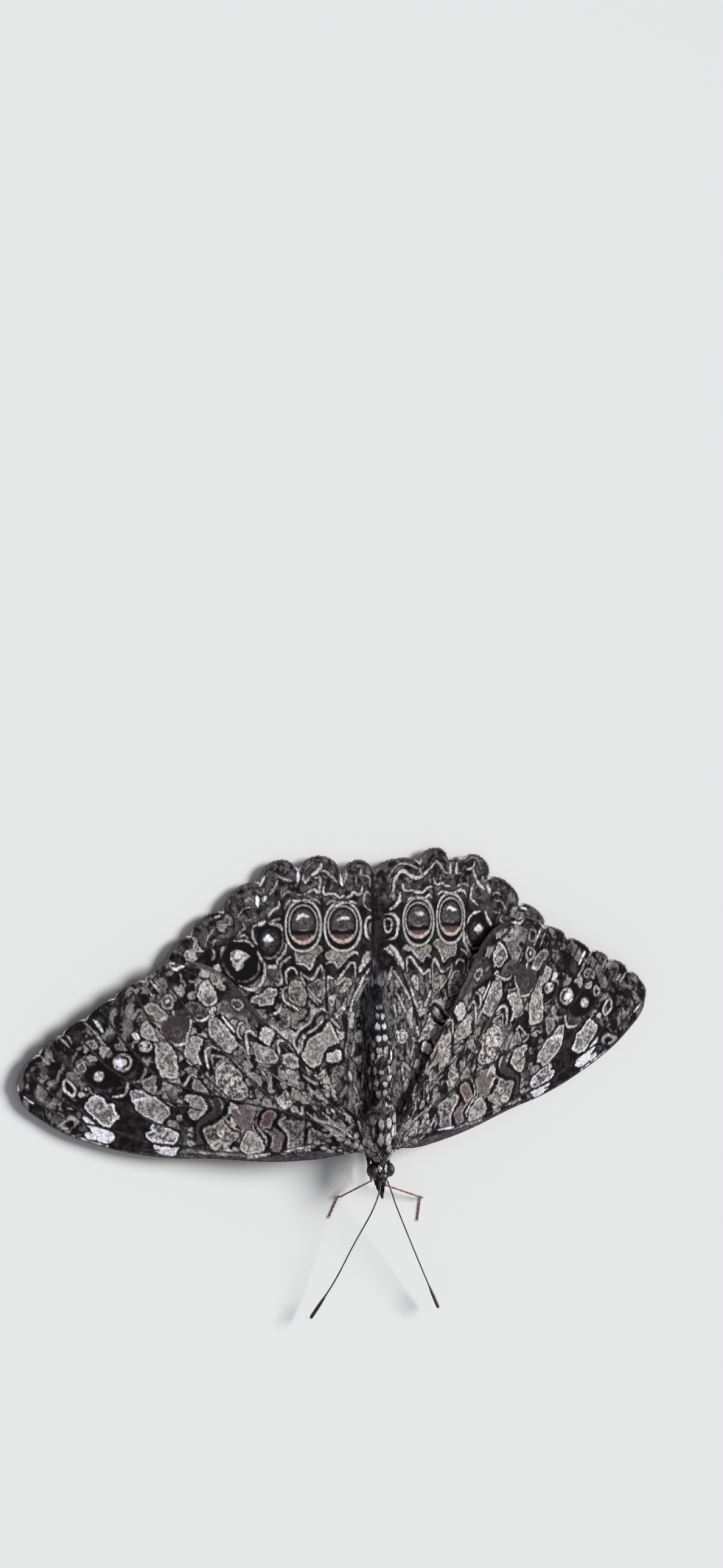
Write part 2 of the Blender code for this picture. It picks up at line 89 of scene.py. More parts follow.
FORE_LOBES = [0.7, 0.45, 0.45, 0.4, 0.55, 0.6]
FORE_INNER = {
    -1: [(26.4, 17.5), (23.8, 18.2), (20.2, 17.35), (15.2, 14.0), (9.0, 9.75), (5.0, 6.9)],
    1: [(26.8, 17.9), (24.0, 18.5), (21.4, 17.7), (19.0, 16.0), (14.6, 12.9), (9.0, 9.0), (5.0, 6.5)],
}
FORE_VEINS = [
    [(4.0, 0.75), (7.0, 0.2), (9.0, -0.55), (13.0, -1.6), (19.0, -2.35), (21.0, -2.75)],
    [(3.0, 2.1), (7.0, 1.05), (11.0, -0.6), (16.0, -1.4), (19.0, -1.5), (24.3, -1.9), (30.0, -1.1)],
    [(19.0, -1.5), (22.5, -2.45), (25.0, -2.9)],
    [(30.0, -1.1), (34.0, -1.0), (38.6, 0.7)],
    [(30.0, -1.1), (33.0, 0.3), (36.0, 1.3), (38.9, 3.0)],
    [(19.4, 0.0), (22.5, 0.15), (25.0, 0.5), (30.0, 2.1), (34.8, 4.3), (37.2, 6.1)],
    [(19.4, 2.6), (25.0, 3.25), (30.3, 5.0), (33.0, 6.6), (35.3, 8.4)],
    [(18.9, 4.4), (24.8, 5.2), (28.3, 7.2), (31.0, 9.2), (33.0, 10.9)],
    [(16.6, 4.5), (20.0, 6.4), (25.8, 9.8), (28.3, 11.8), (30.3, 13.7)],
    [(10.0, 4.3), (15.0, 7.1), (18.6, 9.4), (23.2, 12.5), (27.5, 16.2)],
    [(3.0, 3.4), (5.0, 4.0), (10.0, 4.3), (16.6, 4.5), (18.9, 4.4)],
    [(19.0, -1.5), (19.4, 0.0), (19.4, 2.6), (18.9, 4.4)],
    [(3.4, 4.9), (8.0, 8.4), (16.0, 13.9), (20.0, 15.9), (25.4, 17.2)],
]
HIND_SWEEP = {-1: 0.5, 1: -0.5}
HIND_ROOT = {-1: (1.6, 1.3), 1: (2.4, 1.7)}
HIND_BASE_Y = (3.0, 6.3)
HIND_COSTA = [(3.0, 0.9), (8.0, 4.2), (14.0, 6.9), (20.0, 9.6), (24.8, 12.2)]
HIND_NOTCHES = [(24.8, 12.2), (25.0, 14.6), (23.2, 19.8), (20.4, 23.8), (16.7, 26.3), (12.4, 29.5)]
HIND_REAR_NOTCHES = {-1: [(8.0, 30.9), (2.65, 29.6)], 1: [(9.0, 31.9), (7.1, 31.9), (3.3, 31.3)]}
HIND_LOBES = [0.4, 0.7, 1.0, 0.9, 1.2]
HIND_REAR_LOBES = {-1: [1.9, 2.3], 1: [1.5, 0.05, 1.5]}
HIND_LAST_LOBE = {-1: 1.9, 1: 1.0}
HIND_CORNER_Y = 32.1
HIND_VEINS = [
    [(2.6, 3.0), (5.0, 4.4), (10.0, 6.8), (16.0, 9.4), (21.0, 11.4), (23.6, 12.8)],
    [(2.0, 3.8), (4.0, 5.6), (7.0, 8.6), (8.6, 11.6)],
    [(7.0, 8.6), (12.0, 11.7), (18.0, 15.0), (23.5, 17.4)],
    [(8.6, 11.6), (13.0, 14.8), (18.0, 18.6), (21.9, 21.9)],
    [(8.0, 13.0), (12.0, 16.0), (15.2, 18.6), (17.2, 21.8), (18.6, 24.9)],
    [(6.0, 14.8), (9.5, 17.8), (11.6, 20.0), (12.8, 22.6), (14.7, 28.0)],
    [(4.6, 14.9), (7.5, 17.6), (9.4, 20.5), (9.5, 24.0), (10.4, 31.4)],
    [(3.8, 12.2), (4.65, 17.0), (4.7, 20.0), (4.95, 25.0), (5.3, 32.0)],
    [(2.0, 4.6), (3.0, 8.6), (3.8, 12.2), (4.6, 14.9), (6.0, 14.8), (8.0, 13.0), (8.6, 11.6)],
    [(1.5, 5.8), (1.9, 9.0), (1.9, 13.5), (1.3, 17.0), (0.4, 20.0), (-0.05, 24.0), (0.4, 31.0)],
]

# A wing's body: how thick it is, and how its veins stand up from it.
WING_HALF = 0.09
MARGIN_HALF = 0.025            # half the thickness at the margin
VEIN_RISE = 0.075
VEIN_HALF = 0.17
SAG = 0.07                     # how far the membrane dips between two veins
RIPPLE = 0.11                  # how far it waves

# The body's skin, from the face to the tail: y, half width, height of the middle, half height.
SKIN = [
    (-3.0, 0.05, 4.1, 0.05), (-2.93, 0.4, 4.1, 0.45), (-2.7, 0.72, 4.15, 0.85), (-2.3, 0.92, 4.2, 1.06),
    (-1.8, 1.0, 4.2, 1.14), (-1.3, 0.97, 4.2, 1.08), (-0.85, 0.92, 4.2, 0.98), (-0.4, 0.98, 4.15, 1.0),
    (-0.1, 1.1, 4.15, 1.15), (0.3, 1.3, 4.1, 1.38), (0.8, 1.55, 4.05, 1.65), (1.8, 1.84, 4.05, 2.0),
    (3.3, 1.93, 4.05, 2.1), (4.8, 1.8, 4.05, 1.95), (5.9, 1.5, 3.95, 1.6), (6.6, 1.3, 3.85, 1.42),
    (7.4, 1.38, 3.8, 1.44), (9.5, 1.55, 3.7, 1.5), (12.0, 1.56, 3.6, 1.46), (14.5, 1.42, 3.4, 1.32),
    (16.9, 1.1, 3.2, 1.05), (18.3, 0.76, 3.1, 0.76), (19.0, 0.42, 3.05, 0.42), (19.25, 0.05, 3.05, 0.05),
]
# Where the body's middle line runs: y and x. The thorax and abdomen lie a little to the right of the head.
MIDLINE = [
    (-3.0, 0.45), (-0.8, 0.42), (0.5, 0.25), (2.0, 0.12), (7.0, 0.1), (14.0, 0.05), (17.0, -0.05),
    (19.3, -0.1),
]
# How far the markings are turned to the right round the body, from the head to the tail.
MARKINGS_SHIFT = [(-3.0, 0.14), (-0.5, 0.12), (1.0, 0.12), (15.0, 0.14), (19.0, 0.2)]
SKIN_ROUND = 96
SKIN_ALONG = 200
SEGMENT = 1.72                 # length of one ring of the abdomen
FIRST_SEGMENT = 6.9
SEGMENT_RISE = 0.05

EYE_CENTRE = (0.96, -1.6, 4.25)
EYE_RADII = (0.7, 0.84, 0.9)
PALPUS = [(0.32, -2.6, 3.6), (0.32, -3.1, 3.8), (0.22, -3.7, 4.12), (0.12, -4.3, 4.42), (0.03, -4.75, 4.65)]
PALPUS_RADII = [0.22, 0.28, 0.22, 0.12, 0.02]
PALPI_ASIDE = 0.12             # both palpi lean a little to the left
ANTENNA = {
    -1: [
        (0.36, -2.75, 5.0), (0.36, -2.95, 5.05), (0.55, -4.3, 4.95), (1.2, -6.5, 4.45), (2.9, -10.25, 3.55),
        (4.75, -14.3, 2.8), (7.25, -18.6, 1.9),
    ],
    1: [
        (0.5, -2.7, 5.0), (0.62, -2.95, 5.05), (1.3, -4.4, 4.85), (1.95, -5.8, 4.55), (3.9, -9.5, 3.8),
        (6.45, -14.2, 2.8), (9.2, -19.3, 1.9),
    ],
}
SHAFT_RADIUS = 0.085
CLUB_RADIUS = 0.21
CLUB_FROM = 0.8
LEGS = {
    ("mid", -1): [
        (0.8, 1.6, 2.7), (0.8, 1.6, 1.5), (-0.05, -3.45, 1.75), (3.35, -5.3, 0.65), (4.4, -7.6, 0.0),
    ],
    ("mid", 1): [
        (0.9, 1.6, 2.7), (0.95, 1.6, 1.5), (1.85, -4.1, 1.75), (7.3, -6.35, 0.65), (7.0, -9.0, 0.0),
    ],
    ("hind", -1): [(0.9, 4.6, 2.9), (1.0, 4.6, 1.5), (4.7, 8.4, 1.75), (6.8, 13.6, 0.75), (7.9, 18.4, 0.0)],
    ("hind", 1): [(0.9, 4.6, 2.9), (1.0, 4.6, 1.5), (4.0, 8.4, 1.75), (6.2, 13.4, 0.75), (7.6, 18.0, 0.0)],
}
SHORT_LEG = [(0.6, 0.35, 2.95), (0.6, 0.0, 2.75), (0.6, -0.6, 2.5), (0.65, -1.2, 2.45)]
TEGULA_CENTRE = (1.42, 1.35, 5.05)
TEGULA_RADII = (0.34, 0.95, 0.2)

# The camera of the photo, found from landmarks on the insect.
CAMERA_PLACE = Vector((-87.11, 49.28, 184.15))
CAMERA_YAW, CAMERA_PITCH, CAMERA_ROLL = -25.0, -2.0, 1.5
PHOTO_FOCAL = 2912.0           # in pixels of the photo
PHOTO_HEIGHT = 2576
SENSOR = 36.0

# Colours as the eye sees them, from 0 to 1.
WHITE, PALE, GREY = (0.78, 0.78, 0.815), (0.67, 0.65, 0.65), (0.54, 0.52, 0.52)
MID, DIM, BROWN = (0.42, 0.40, 0.40), (0.28, 0.262, 0.268), (0.215, 0.193, 0.20)
DARK, BLACK, MAUVE = (0.145, 0.134, 0.14), (0.055, 0.05, 0.054), (0.39, 0.35, 0.355)
RUST, PURPLE, OLIVE = (0.385, 0.31, 0.305), (0.26, 0.24, 0.255), (0.47, 0.46, 0.43)
PEACH, ORANGE, GLINT = (0.62, 0.54, 0.515), (0.39, 0.29, 0.275), (0.74, 0.74, 0.76)
CURVE_STEP = 0.25
CLOSED_BEND = 0.35             # how far a closed mark's outline swings out; 0.5 is the most
NOISE_TABLE = 128


def between(knots, step, bend):
    """Points about a step apart, from the second knot to the last but one; a bend below 0.5 is flatter."""
    out = []
    for a, b, c, d in zip(knots, knots[1:], knots[2:], knots[3:]):
        count = max(1, round((c - b).length / step))
        for i in range(count):
            t = i / count
            swing = (2 * a - 5 * b + 4 * c - d) * t * t + (3 * b - a - 3 * c + d) * t ** 3
            out.append(b + bend * ((c - a) * t + swing) + (0.5 - bend) * ((c - b) * 2 * t))
    return out


def curve_through(points, step):
    """A smooth curve through the points, with a point about every step."""
    knots = [Vector(p) for p in points]
    return between([2 * knots[0] - knots[1]] + knots + [2 * knots[-1] - knots[-2]], step, 0.5) + knots[-1:]


def as_array(points):
    return np.array([tuple(p) for p in points])


def closed_curve(points, step):
    """A smooth closed curve through the points; the first point isn't repeated."""
    knots = [Vector(p) for p in points]
    return between(knots[-1:] + knots + knots[:2], step, CLOSED_BEND)


def distance_along(points, line):
    """Each point's distance to a line, and how far along the line the nearest spot is, from 0 to 1."""
    nearest = np.full(len(points), np.inf)
    place = np.zeros(len(points))
    for i, (a, b) in enumerate(zip(line, line[1:])):
        step = b - a
        share = np.clip(((points - a) @ step) / max(step @ step, 1e-12), 0, 1)
        gap = np.hypot(points[:, 0] - a[0] - share * step[0], points[:, 1] - a[1] - share * step[1])
        better = gap < nearest
        nearest = np.where(better, gap, nearest)
        place = np.where(better, (i + share) / (len(line) - 1), place)
    return nearest, place


def inside(points, outline):
    """Which points lie inside the closed outline."""
    within = np.zeros(len(points), bool)
    for a, b in zip(outline, np.roll(outline, -1, axis=0)):
        crosses = (a[1] > points[:, 1]) != (b[1] > points[:, 1])
        if crosses.any():
            run = (b[0] - a[0]) * (points[:, 1] - a[1]) / (b[1] - a[1]) + a[0]
            within ^= crosses & (points[:, 0] < run)
    return within


def depth_inside(points, outline):
    """Distance to a closed outline, positive inside it and negative outside."""
    line = np.vstack([outline, outline[:1]])
    gap = distance_along(points, line)[0]
    return np.where(inside(points, outline), gap, -gap)


def step_up(values, low, high):
    """0 below low, 1 above high, and smooth between."""
    t = np.clip((values - low) / (high - low), 0, 1)
    return t * t * (3 - 2 * t)


def noise(points, size, seed):
    """Smooth noise from 0 to 1, with blotches about size across."""
    table = np.random.default_rng(seed).random((NOISE_TABLE, NOISE_TABLE))
    turn = 0.7 * seed
    spot = points @ np.array([(math.cos(turn), math.sin(turn)), (-math.sin(turn), math.cos(turn))]) / size
    cell = np.floor(spot).astype(int)
    t = spot - cell
    t = t * t * (3 - 2 * t)
    x0, y0 = cell[:, 0] % NOISE_TABLE, cell[:, 1] % NOISE_TABLE
    x1, y1 = (x0 + 1) % NOISE_TABLE, (y0 + 1) % NOISE_TABLE
    low = table[x0, y0] * (1 - t[:, 0]) + table[x1, y0] * t[:, 0]
    high = table[x0, y1] * (1 - t[:, 0]) + table[x1, y1] * t[:, 0]
    return low * (1 - t[:, 1]) + high * t[:, 1]


class Canvas:
    """The scales of a wing: places in the wing's own frame and the colour at each."""

    def __init__(self, places, ground, seed):
        self.places = places
        self.colour = np.tile(np.array(ground, float), (len(places), 1))
        self.edge = (noise(places, 0.25, seed) - 0.5) * 0.2 + (noise(places, 0.8, seed + 1) - 0.5) * 0.14
        self.blotch = 0.6 * noise(places, 0.2, seed + 2) + 0.4 * noise(places, 0.42, seed + 3)
        self.grain = noise(places, 0.14, seed + 4)

    def near(self, line, reach):
        """The indices of the places in the box round a line."""
        low, high = line.min(axis=0) - reach, line.max(axis=0) + reach
        return np.flatnonzero(((self.places >= low) & (self.places <= high)).all(axis=1))

    def lay(self, spots, cover, colour):
        """Lay a colour over some places, as thickly as the cover says, from 0 to 1."""
        cover = cover[:, None]
        self.colour[spots] = self.colour[spots] * (1 - cover) + np.array(colour) * cover

    def stroke(self, points, width, colour, halo=0.0, taper=0.55, closed=False):
        """A drawn line; halo is the width of the dark edge on both sides of it."""
        line = as_array(closed_curve(points, CURVE_STEP) if closed else curve_through(points, CURVE_STEP))
        if closed:
            line = np.vstack([line, line[:1]])
            taper = 0.0
        spots = self.near(line, width + halo + 0.3)
        gap, along = distance_along(self.places[spots], line)
        half = width / 2 * (1 - taper * np.abs(2 * along - 1) ** 3)
        gap = gap + 0.6 * self.edge[spots]
        if halo:
            self.lay(spots, 0.92 * (1 - step_up(gap, half + halo * 0.6, half + halo * 1.3)), BLACK)
        thin = 0.6 + 0.4 * step_up(self.blotch[spots], 0.25, 0.5)
        self.lay(spots, thin * (1 - step_up(gap, half - 0.08, half + 0.1)), colour)

    def patch(self, points, fill, rim=None, halo=0.25, mottle=0.5, rim_width=0.2):
        """A closed mark with a mottled fill, a pale rim and a dark edge round it."""
        outline = as_array(closed_curve(points, CURVE_STEP))
        spots = self.near(outline, halo + 0.4)
        depth = depth_inside(self.places[spots], outline) + self.edge[spots]
        if halo:
            self.lay(spots, 0.92 * step_up(depth, -halo * 1.3, -halo * 0.6), BLACK)
        self.lay(spots, step_up(depth, -0.08, 0.1), tuple(0.9 * np.array(fill)))
        brink = step_up(depth, -0.1, 0.04) * (1 - step_up(depth, 0.1, 0.26))
        brink = brink * step_up(self.grain[spots], 0.2, 0.5)
        self.lay(spots, 0.6 * brink, tuple(np.minimum(np.array(fill) * 1.25, 0.8)))
        holes = min(1.3 * mottle, 1) * step_up(self.blotch[spots], 0.48, 0.62) * step_up(depth, 0.05, 0.25)
        self.lay(spots, holes, tuple(0.3 * np.array(fill) + 0.45 * np.array(DARK)))
        crumbs = 0.8 * mottle * step_up(1 - self.blotch[spots], 0.54, 0.68) * step_up(depth, 0.0, 0.12)
        self.lay(spots, crumbs, tuple(np.minimum(np.array(fill) * 1.35, 0.88)))
        if rim:
            band = step_up(depth, -0.1, 0.06) * (1 - step_up(depth, rim_width * 0.5, rim_width * 1.3))
            self.lay(spots, 0.85 * band * (0.55 + 0.45 * step_up(self.grain[spots], 0.2, 0.5)), rim)

    def ring(self, centre, radii, width, colour, shape=2.0, start=0.0, end=360.0):
        """Part of an oval band, between two bearings in degrees."""
        offset = (self.places - np.array(centre)) / np.array(radii)
        reach = (np.abs(offset) ** shape).sum(axis=1) ** (1 / shape)
        spots = np.flatnonzero(reach < 2)
        size = sum(radii) / 2
        gap = np.abs(reach[spots] - 1) * size + 0.3 * self.edge[spots]
        bearing = np.degrees(np.arctan2(offset[spots, 1], offset[spots, 0])) % 360
        span = (end - start) % 360 or 360.0
        past = (bearing - start) % 360
        fade = np.minimum(past, np.maximum(span - past, -1)) if span < 360 else np.full(len(spots), 90.0)
        cover = (1 - step_up(gap, width / 2 - 0.05, width / 2 + 0.07)) * step_up(fade, 0, 9)
        self.lay(spots, cover, colour)

    def disc(self, centre, radii, colour, soft=0.12, strength=1.0, mottle=0.0):
        """An oval spot with a soft edge."""
        offset = (self.places - np.array(centre)) / np.array(radii)
        reach = np.hypot(offset[:, 0], offset[:, 1])
        spots = np.flatnonzero(reach < 1.8)
        size = sum(radii) / 2
        depth = (1 - reach[spots]) * size + 0.5 * self.edge[spots]
        cover = strength * step_up(depth, -soft, soft)
        cover = cover * (1 - mottle * step_up(self.blotch[spots], 0.45, 0.6))
        self.lay(spots, cover, colour)

    def islands(self, where, centre, length, width, share, low, high, rim, seed):
        """Grey islands with dark outlines, drawn out away from a centre, where the cover given says."""
        offset = self.places - np.array(centre)
        out = np.hypot(offset[:, 0], offset[:, 1])
        turn = np.arctan2(offset[:, 1], offset[:, 0])
        bend = noise(self.places, 1.9, seed + 9) - 0.5
        spot = np.stack([(out + 1.4 * bend) / length, (12 * turn + 0.9 * bend) / width], axis=1)
        field = 0.72 * noise(spot, 1.0, seed) + 0.28 * noise(spot, 0.42, seed + 5)
        level = np.quantile(field, 1 - share)
        depth = (field - level) * 1.7 * width + 0.8 * self.edge
        everywhere = np.arange(len(self.places))
        outline = step_up(depth, -0.3, -0.12) * (1 - step_up(depth, -0.02, 0.08))
        self.lay(everywhere, 0.9 * where * outline, BLACK)
        tone = step_up(noise(self.places, 0.9, seed + 6) + 0.5 * (self.blotch - 0.5), 0.25, 0.75)[:, None]
        fill = np.array(low) * (1 - tone) + np.array(high) * tone
        self.lay(everywhere, where * step_up(depth, -0.04, 0.08), fill)
        holes = step_up(self.blotch, 0.5, 0.62) * step_up(depth, 0.05, 0.25)
        self.lay(everywhere, 0.7 * where * holes, BROWN)
        if rim:
            band = step_up(depth, -0.03, 0.06) * (1 - step_up(depth, 0.12, 0.24))
            self.lay(everywhere, 0.7 * where * band * (0.4 + 0.6 * step_up(self.grain, 0.3, 0.6)), rim)

    def speckle(self, strength):
        """The grain of single scales over everything."""
        fine = 0.5 * self.grain + 0.5 * noise(self.places, 0.24, 991)
        self.colour = np.clip(self.colour * (1 + strength * (fine - 0.5))[:, None], 0, 1)


# Closed marks of the forewing: fill, rim, how mottled, dark edge, and the points round it.
FORE_PATCHES = [
    (MID, None, 0.7, 0.0, [(7.2, 0.9), (7.15, 1.6), (7.6, 2.6), (7.5, 3.4), (7.8, 3.8), (8.8, 3.7),
        (9.3, 3.3), (10.1, 3.8), (10.5, 3.1), (9.7, 2.5), (8.9, 2.0), (8.6, 1.4), (8.5, 0.4)]),
    (MAUVE, None, 0.15, 0.3, [(9.4, -0.1), (9.2, 0.9), (9.15, 1.75), (10.0, 2.15), (10.8, 2.5),
        (11.2, 2.15), (12.0, 2.0), (11.3, 1.75), (10.6, 1.5), (10.4, 1.0), (10.35, -0.1)]),
    (RUST, GREY, 0.1, 0.4, [(11.1, 2.1), (11.1, 3.0), (10.95, 3.7), (11.25, 4.15), (12.05, 4.15),
        (12.4, 3.7), (12.4, 2.8), (12.3, 2.1), (11.7, 2.0)]),
    (GREY, PALE, 0.45, 0.25, [(11.05, -0.45), (11.4, 0.5), (11.9, 1.0), (12.8, 1.4), (13.5, 1.35),
        (13.8, 0.3), (13.85, -0.5), (13.1, -1.05), (12.0, -0.85)]),
    (MAUVE, None, 0.15, 0.0, [(13.2, 1.6), (13.4, 2.6), (13.6, 3.8), (15.3, 4.1), (15.9, 3.6), (15.9, 2.9),
        (15.5, 2.3), (14.8, 1.8), (14.0, 1.4)]),
    (PALE, None, 0.1, 0.0, [(15.5, 3.75), (16.4, 4.15), (16.3, 3.0), (15.95, 2.9), (15.9, 3.5)]),
    (MID, GREY, 0.9, 0.25, [(14.3, 0.9), (15.1, 0.95), (16.2, 1.7), (16.8, 2.0), (17.4, 1.2), (18.2, 1.05),
        (18.45, 0.5), (18.0, -0.1), (17.4, -0.9), (16.9, -1.35), (16.3, -1.2), (15.9, -0.5), (15.2, -0.6),
        (14.9, -0.2), (14.4, 0.3)]),
    (GREY, None, 0.2, 0.0, [(14.6, -1.2), (15.0, -1.0), (15.4, -0.4), (15.7, -0.8), (15.2, -1.2)]),
    (BROWN, None, 0.2, 0.3, [(17.0, 3.0), (17.1, 3.9), (17.8, 4.4), (18.5, 4.1), (18.0, 3.2), (18.7, 2.1),
        (19.3, 1.2), (19.2, 0.0), (18.8, -1.0), (18.0, -1.0), (18.4, -0.3), (18.9, 0.5), (18.3, 1.2),
        (17.5, 2.0)]),
    (GREY, PALE, 0.35, 0.25, [(18.65, 3.0), (19.6, 4.0), (20.6, 4.1), (21.5, 3.9), (21.5, 3.4), (20.8, 3.1),
        (20.7, 2.2), (20.2, 1.6), (19.6, 1.4), (19.0, 2.3)]),
    (MID, None, 0.3, 0.1, [(21.6, 2.7), (21.7, 3.2), (22.2, 3.2), (21.9, 2.6)]),
    (MID, None, 0.3, 0.1, [(22.1, 2.4), (22.8, 2.6), (23.2, 3.1), (23.7, 3.7), (24.0, 3.4), (23.8, 2.8),
        (23.0, 2.5)]),
    (MID, None, 0.3, 0.1, [(21.0, 1.1), (21.3, 1.6), (21.8, 1.5), (21.5, 1.0)]),
    (MID, None, 0.5, 0.1, [(21.2, 0.2), (21.4, 0.8), (22.3, 0.95), (22.6, 0.5), (22.0, 0.1)]),
    (GREY, None, 0.3, 0.15, [(19.25, -0.6), (19.5, 0.6), (20.1, 0.2), (20.0, -0.3), (19.6, -0.5)]),
    (GREY, None, 0.3, 0.1, [(19.0, -1.1), (19.4, -0.9), (19.9, -1.1), (19.5, -1.4)]),
    (GREY, WHITE, 0.75, 0.3, [(20.9, -0.7), (21.2, -0.35), (22.5, -0.05), (23.6, 0.3), (24.1, 0.25),
        (24.3, -0.4), (23.9, -0.6), (24.5, -1.0), (24.4, -1.4), (23.6, -1.75), (22.2, -1.75),
        (21.2, -1.6)]),
    (WHITE, None, 0.12, 0.3, [(20.5, -1.8), (21.5, -2.0), (23.35, -2.12), (23.3, -2.4), (22.5, -2.5),
        (23.0, -2.75), (22.4, -2.85), (22.2, -3.05), (20.95, -2.95), (20.75, -2.4)]),
    (GREY, PALE, 0.5, 0.3, [(22.45, 1.35), (22.9, 2.1), (24.0, 2.7), (24.6, 3.0), (25.2, 2.95),
        (26.0, 3.25), (26.9, 3.4), (27.5, 3.1), (27.3, 2.6), (26.9, 2.0), (26.3, 1.3), (25.4, 0.9),
        (24.2, 0.5), (23.1, 0.35), (22.95, 0.9)]),
    (MID, GREY, 0.45, 0.2, [(24.85, 3.9), (25.1, 4.4), (25.3, 5.4), (25.9, 5.1), (26.6, 4.4), (26.3, 3.8),
        (25.6, 3.5), (25.1, 3.3)]),
    (GREY, PALE, 0.55, 0.25, [(23.0, 5.85), (23.5, 7.2), (24.0, 8.2), (24.9, 9.2), (25.8, 10.0),
        (26.7, 10.2), (27.0, 9.5), (26.3, 8.6), (26.0, 7.6), (25.6, 6.6), (25.2, 5.9), (24.9, 5.4),
        (24.2, 5.35), (23.4, 5.5)]),
    (GREY, PALE, 0.25, 0.25, [(20.6, 7.45), (21.3, 8.2), (21.4, 9.2), (21.2, 10.2), (22.3, 10.3),
        (22.9, 9.6), (23.0, 8.6), (22.6, 7.9), (22.4, 7.5), (21.8, 7.3), (21.2, 7.6)]),
    (MID, GREY, 0.3, 0.2, [(19.0, 4.5), (19.5, 5.0), (20.2, 5.6), (21.0, 6.05), (21.2, 5.3), (20.8, 4.5),
        (19.8, 4.7)]),
    (GREY, GREY, 0.95, 0.2, [(14.7, 5.3), (15.0, 6.1), (15.8, 6.7), (16.0, 7.4), (17.2, 8.1), (18.0, 8.1),
        (18.8, 7.2), (19.0, 6.7), (18.6, 5.9), (18.6, 5.3), (17.9, 5.0), (17.2, 4.6), (16.2, 4.5),
        (15.3, 4.7)]),
    (MID, None, 0.6, 0.0, [(18.8, 5.8), (19.1, 6.8), (19.6, 6.3), (19.9, 5.9), (19.4, 5.3), (18.9, 5.1)]),
    (GREY, PALE, 0.5, 0.3, [(17.3, 10.5), (18.1, 11.3), (19.0, 12.0), (20.1, 12.75), (21.1, 12.9),
        (21.0, 11.8), (20.6, 10.9), (19.8, 10.1), (19.0, 9.6), (18.1, 9.45), (17.6, 9.9)]),
    (GREY, None, 0.4, 0.15, [(17.5, 12.2), (17.7, 13.0), (18.5, 13.1), (18.7, 12.6), (18.0, 12.1)]),
    (PALE, PALE, 0.25, 0.25, [(13.4, 12.4), (14.6, 13.05), (15.0, 12.6), (14.9, 11.6), (13.7, 11.2)]),
    (GREY, None, 0.5, 0.1, [(12.3, 9.9), (13.2, 10.7), (14.3, 10.9), (15.3, 11.15), (15.5, 10.6),
        (15.0, 9.9), (14.9, 9.1), (13.9, 9.05), (12.9, 9.2)]),
    (MID, None, 0.5, 0.0, [(15.0, 8.4), (15.4, 9.0), (16.1, 8.9), (15.9, 8.3)]),
    (GREY, None, 0.6, 0.0, [(9.9, 9.4), (10.1, 10.4), (11.0, 10.8), (12.0, 10.4), (11.5, 9.6),
        (10.7, 9.2)]),
    (GREY, None, 0.4, 0.0, [(9.6, 7.5), (9.75, 8.4), (10.2, 9.0), (11.0, 9.0), (11.1, 8.3), (10.5, 7.6)]),
    (GREY, None, 0.7, 0.1, [(9.6, 5.7), (9.8, 5.0), (10.4, 4.6), (11.2, 4.9), (11.55, 5.6), (11.0, 6.1),
        (10.7, 6.7), (10.2, 6.4), (10.1, 5.7)]),
    (MID, None, 0.5, 0.0, [(11.7, 4.7), (12.7, 4.6), (13.1, 5.3), (12.2, 5.4)]),
    (WHITE, None, 0.08, 0.3, [(27.85, -2.2), (28.2, -1.6), (29.6, -1.4), (31.2, -1.3), (30.8, -1.7),
        (30.4, -2.0), (31.1, -2.2), (30.9, -2.65), (29.6, -2.8), (28.3, -2.75)]),
    (WHITE, None, 0.1, 0.2, [(30.4, -1.08), (31.0, -0.6), (31.7, -0.22), (31.85, -0.6), (31.3, -1.05)]),
    (GREY, WHITE, 0.55, 0.3, [(27.95, 0.1), (28.7, 0.8), (29.0, 1.45), (29.6, 1.3), (30.3, 1.8),
        (31.2, 1.95), (31.8, 1.3), (32.0, 0.6), (31.4, 0.0), (30.5, -0.5), (29.7, -1.05), (28.7, -1.02),
        (28.4, -0.5)]),
    (MID, None, 0.3, 0.0, [(33.4, 3.45), (34.1, 3.9), (34.85, 3.75), (34.75, 3.35), (34.0, 3.25)]),
    (GREY, None, 0.2, 0.15, [(32.0, 5.85), (32.4, 6.05), (33.0, 6.15), (33.25, 5.7), (32.9, 5.4),
        (32.3, 5.45)]),
    (GREY, None, 0.2, 0.15, [(31.0, 7.1), (31.5, 7.35), (32.0, 7.7), (32.25, 7.0), (31.9, 6.2),
        (31.5, 6.05), (31.3, 6.7)]),
    (MID, GREY, 0.7, 0.0, [(32.4, 7.1), (33.0, 7.7), (33.6, 7.6), (33.95, 7.0), (33.7, 6.2), (33.2, 6.6),
        (32.6, 6.8)]),
    (MID, None, 0.4, 0.0, [(29.2, 7.4), (29.9, 8.0), (30.8, 7.75), (30.4, 7.2), (29.7, 7.25)]),
    (PALE, None, 0.1, 0.1, [(28.15, 8.8), (28.6, 9.5), (29.15, 9.2), (28.7, 8.6)]),
    (GREY, GREY, 0.4, 0.2, [(26.2, 9.1), (26.7, 9.8), (27.2, 10.4), (27.9, 10.9), (28.35, 10.4),
        (28.4, 9.7), (27.8, 9.1), (26.9, 9.0)]),
    (MID, GREY, 0.5, 0.15, [(25.5, 11.6), (26.2, 12.2), (27.0, 12.8), (28.0, 12.9), (28.7, 12.4),
        (28.4, 11.9), (27.4, 11.6), (26.9, 11.1), (26.3, 11.1)]),
    (BROWN, None, 0.1, 0.0, [(23.1, 11.9), (23.15, 10.5), (23.4, 9.6), (24.2, 9.3), (25.2, 9.5),
        (26.0, 10.2), (26.1, 11.2), (25.2, 12.3), (24.5, 12.9), (23.6, 12.6)]),
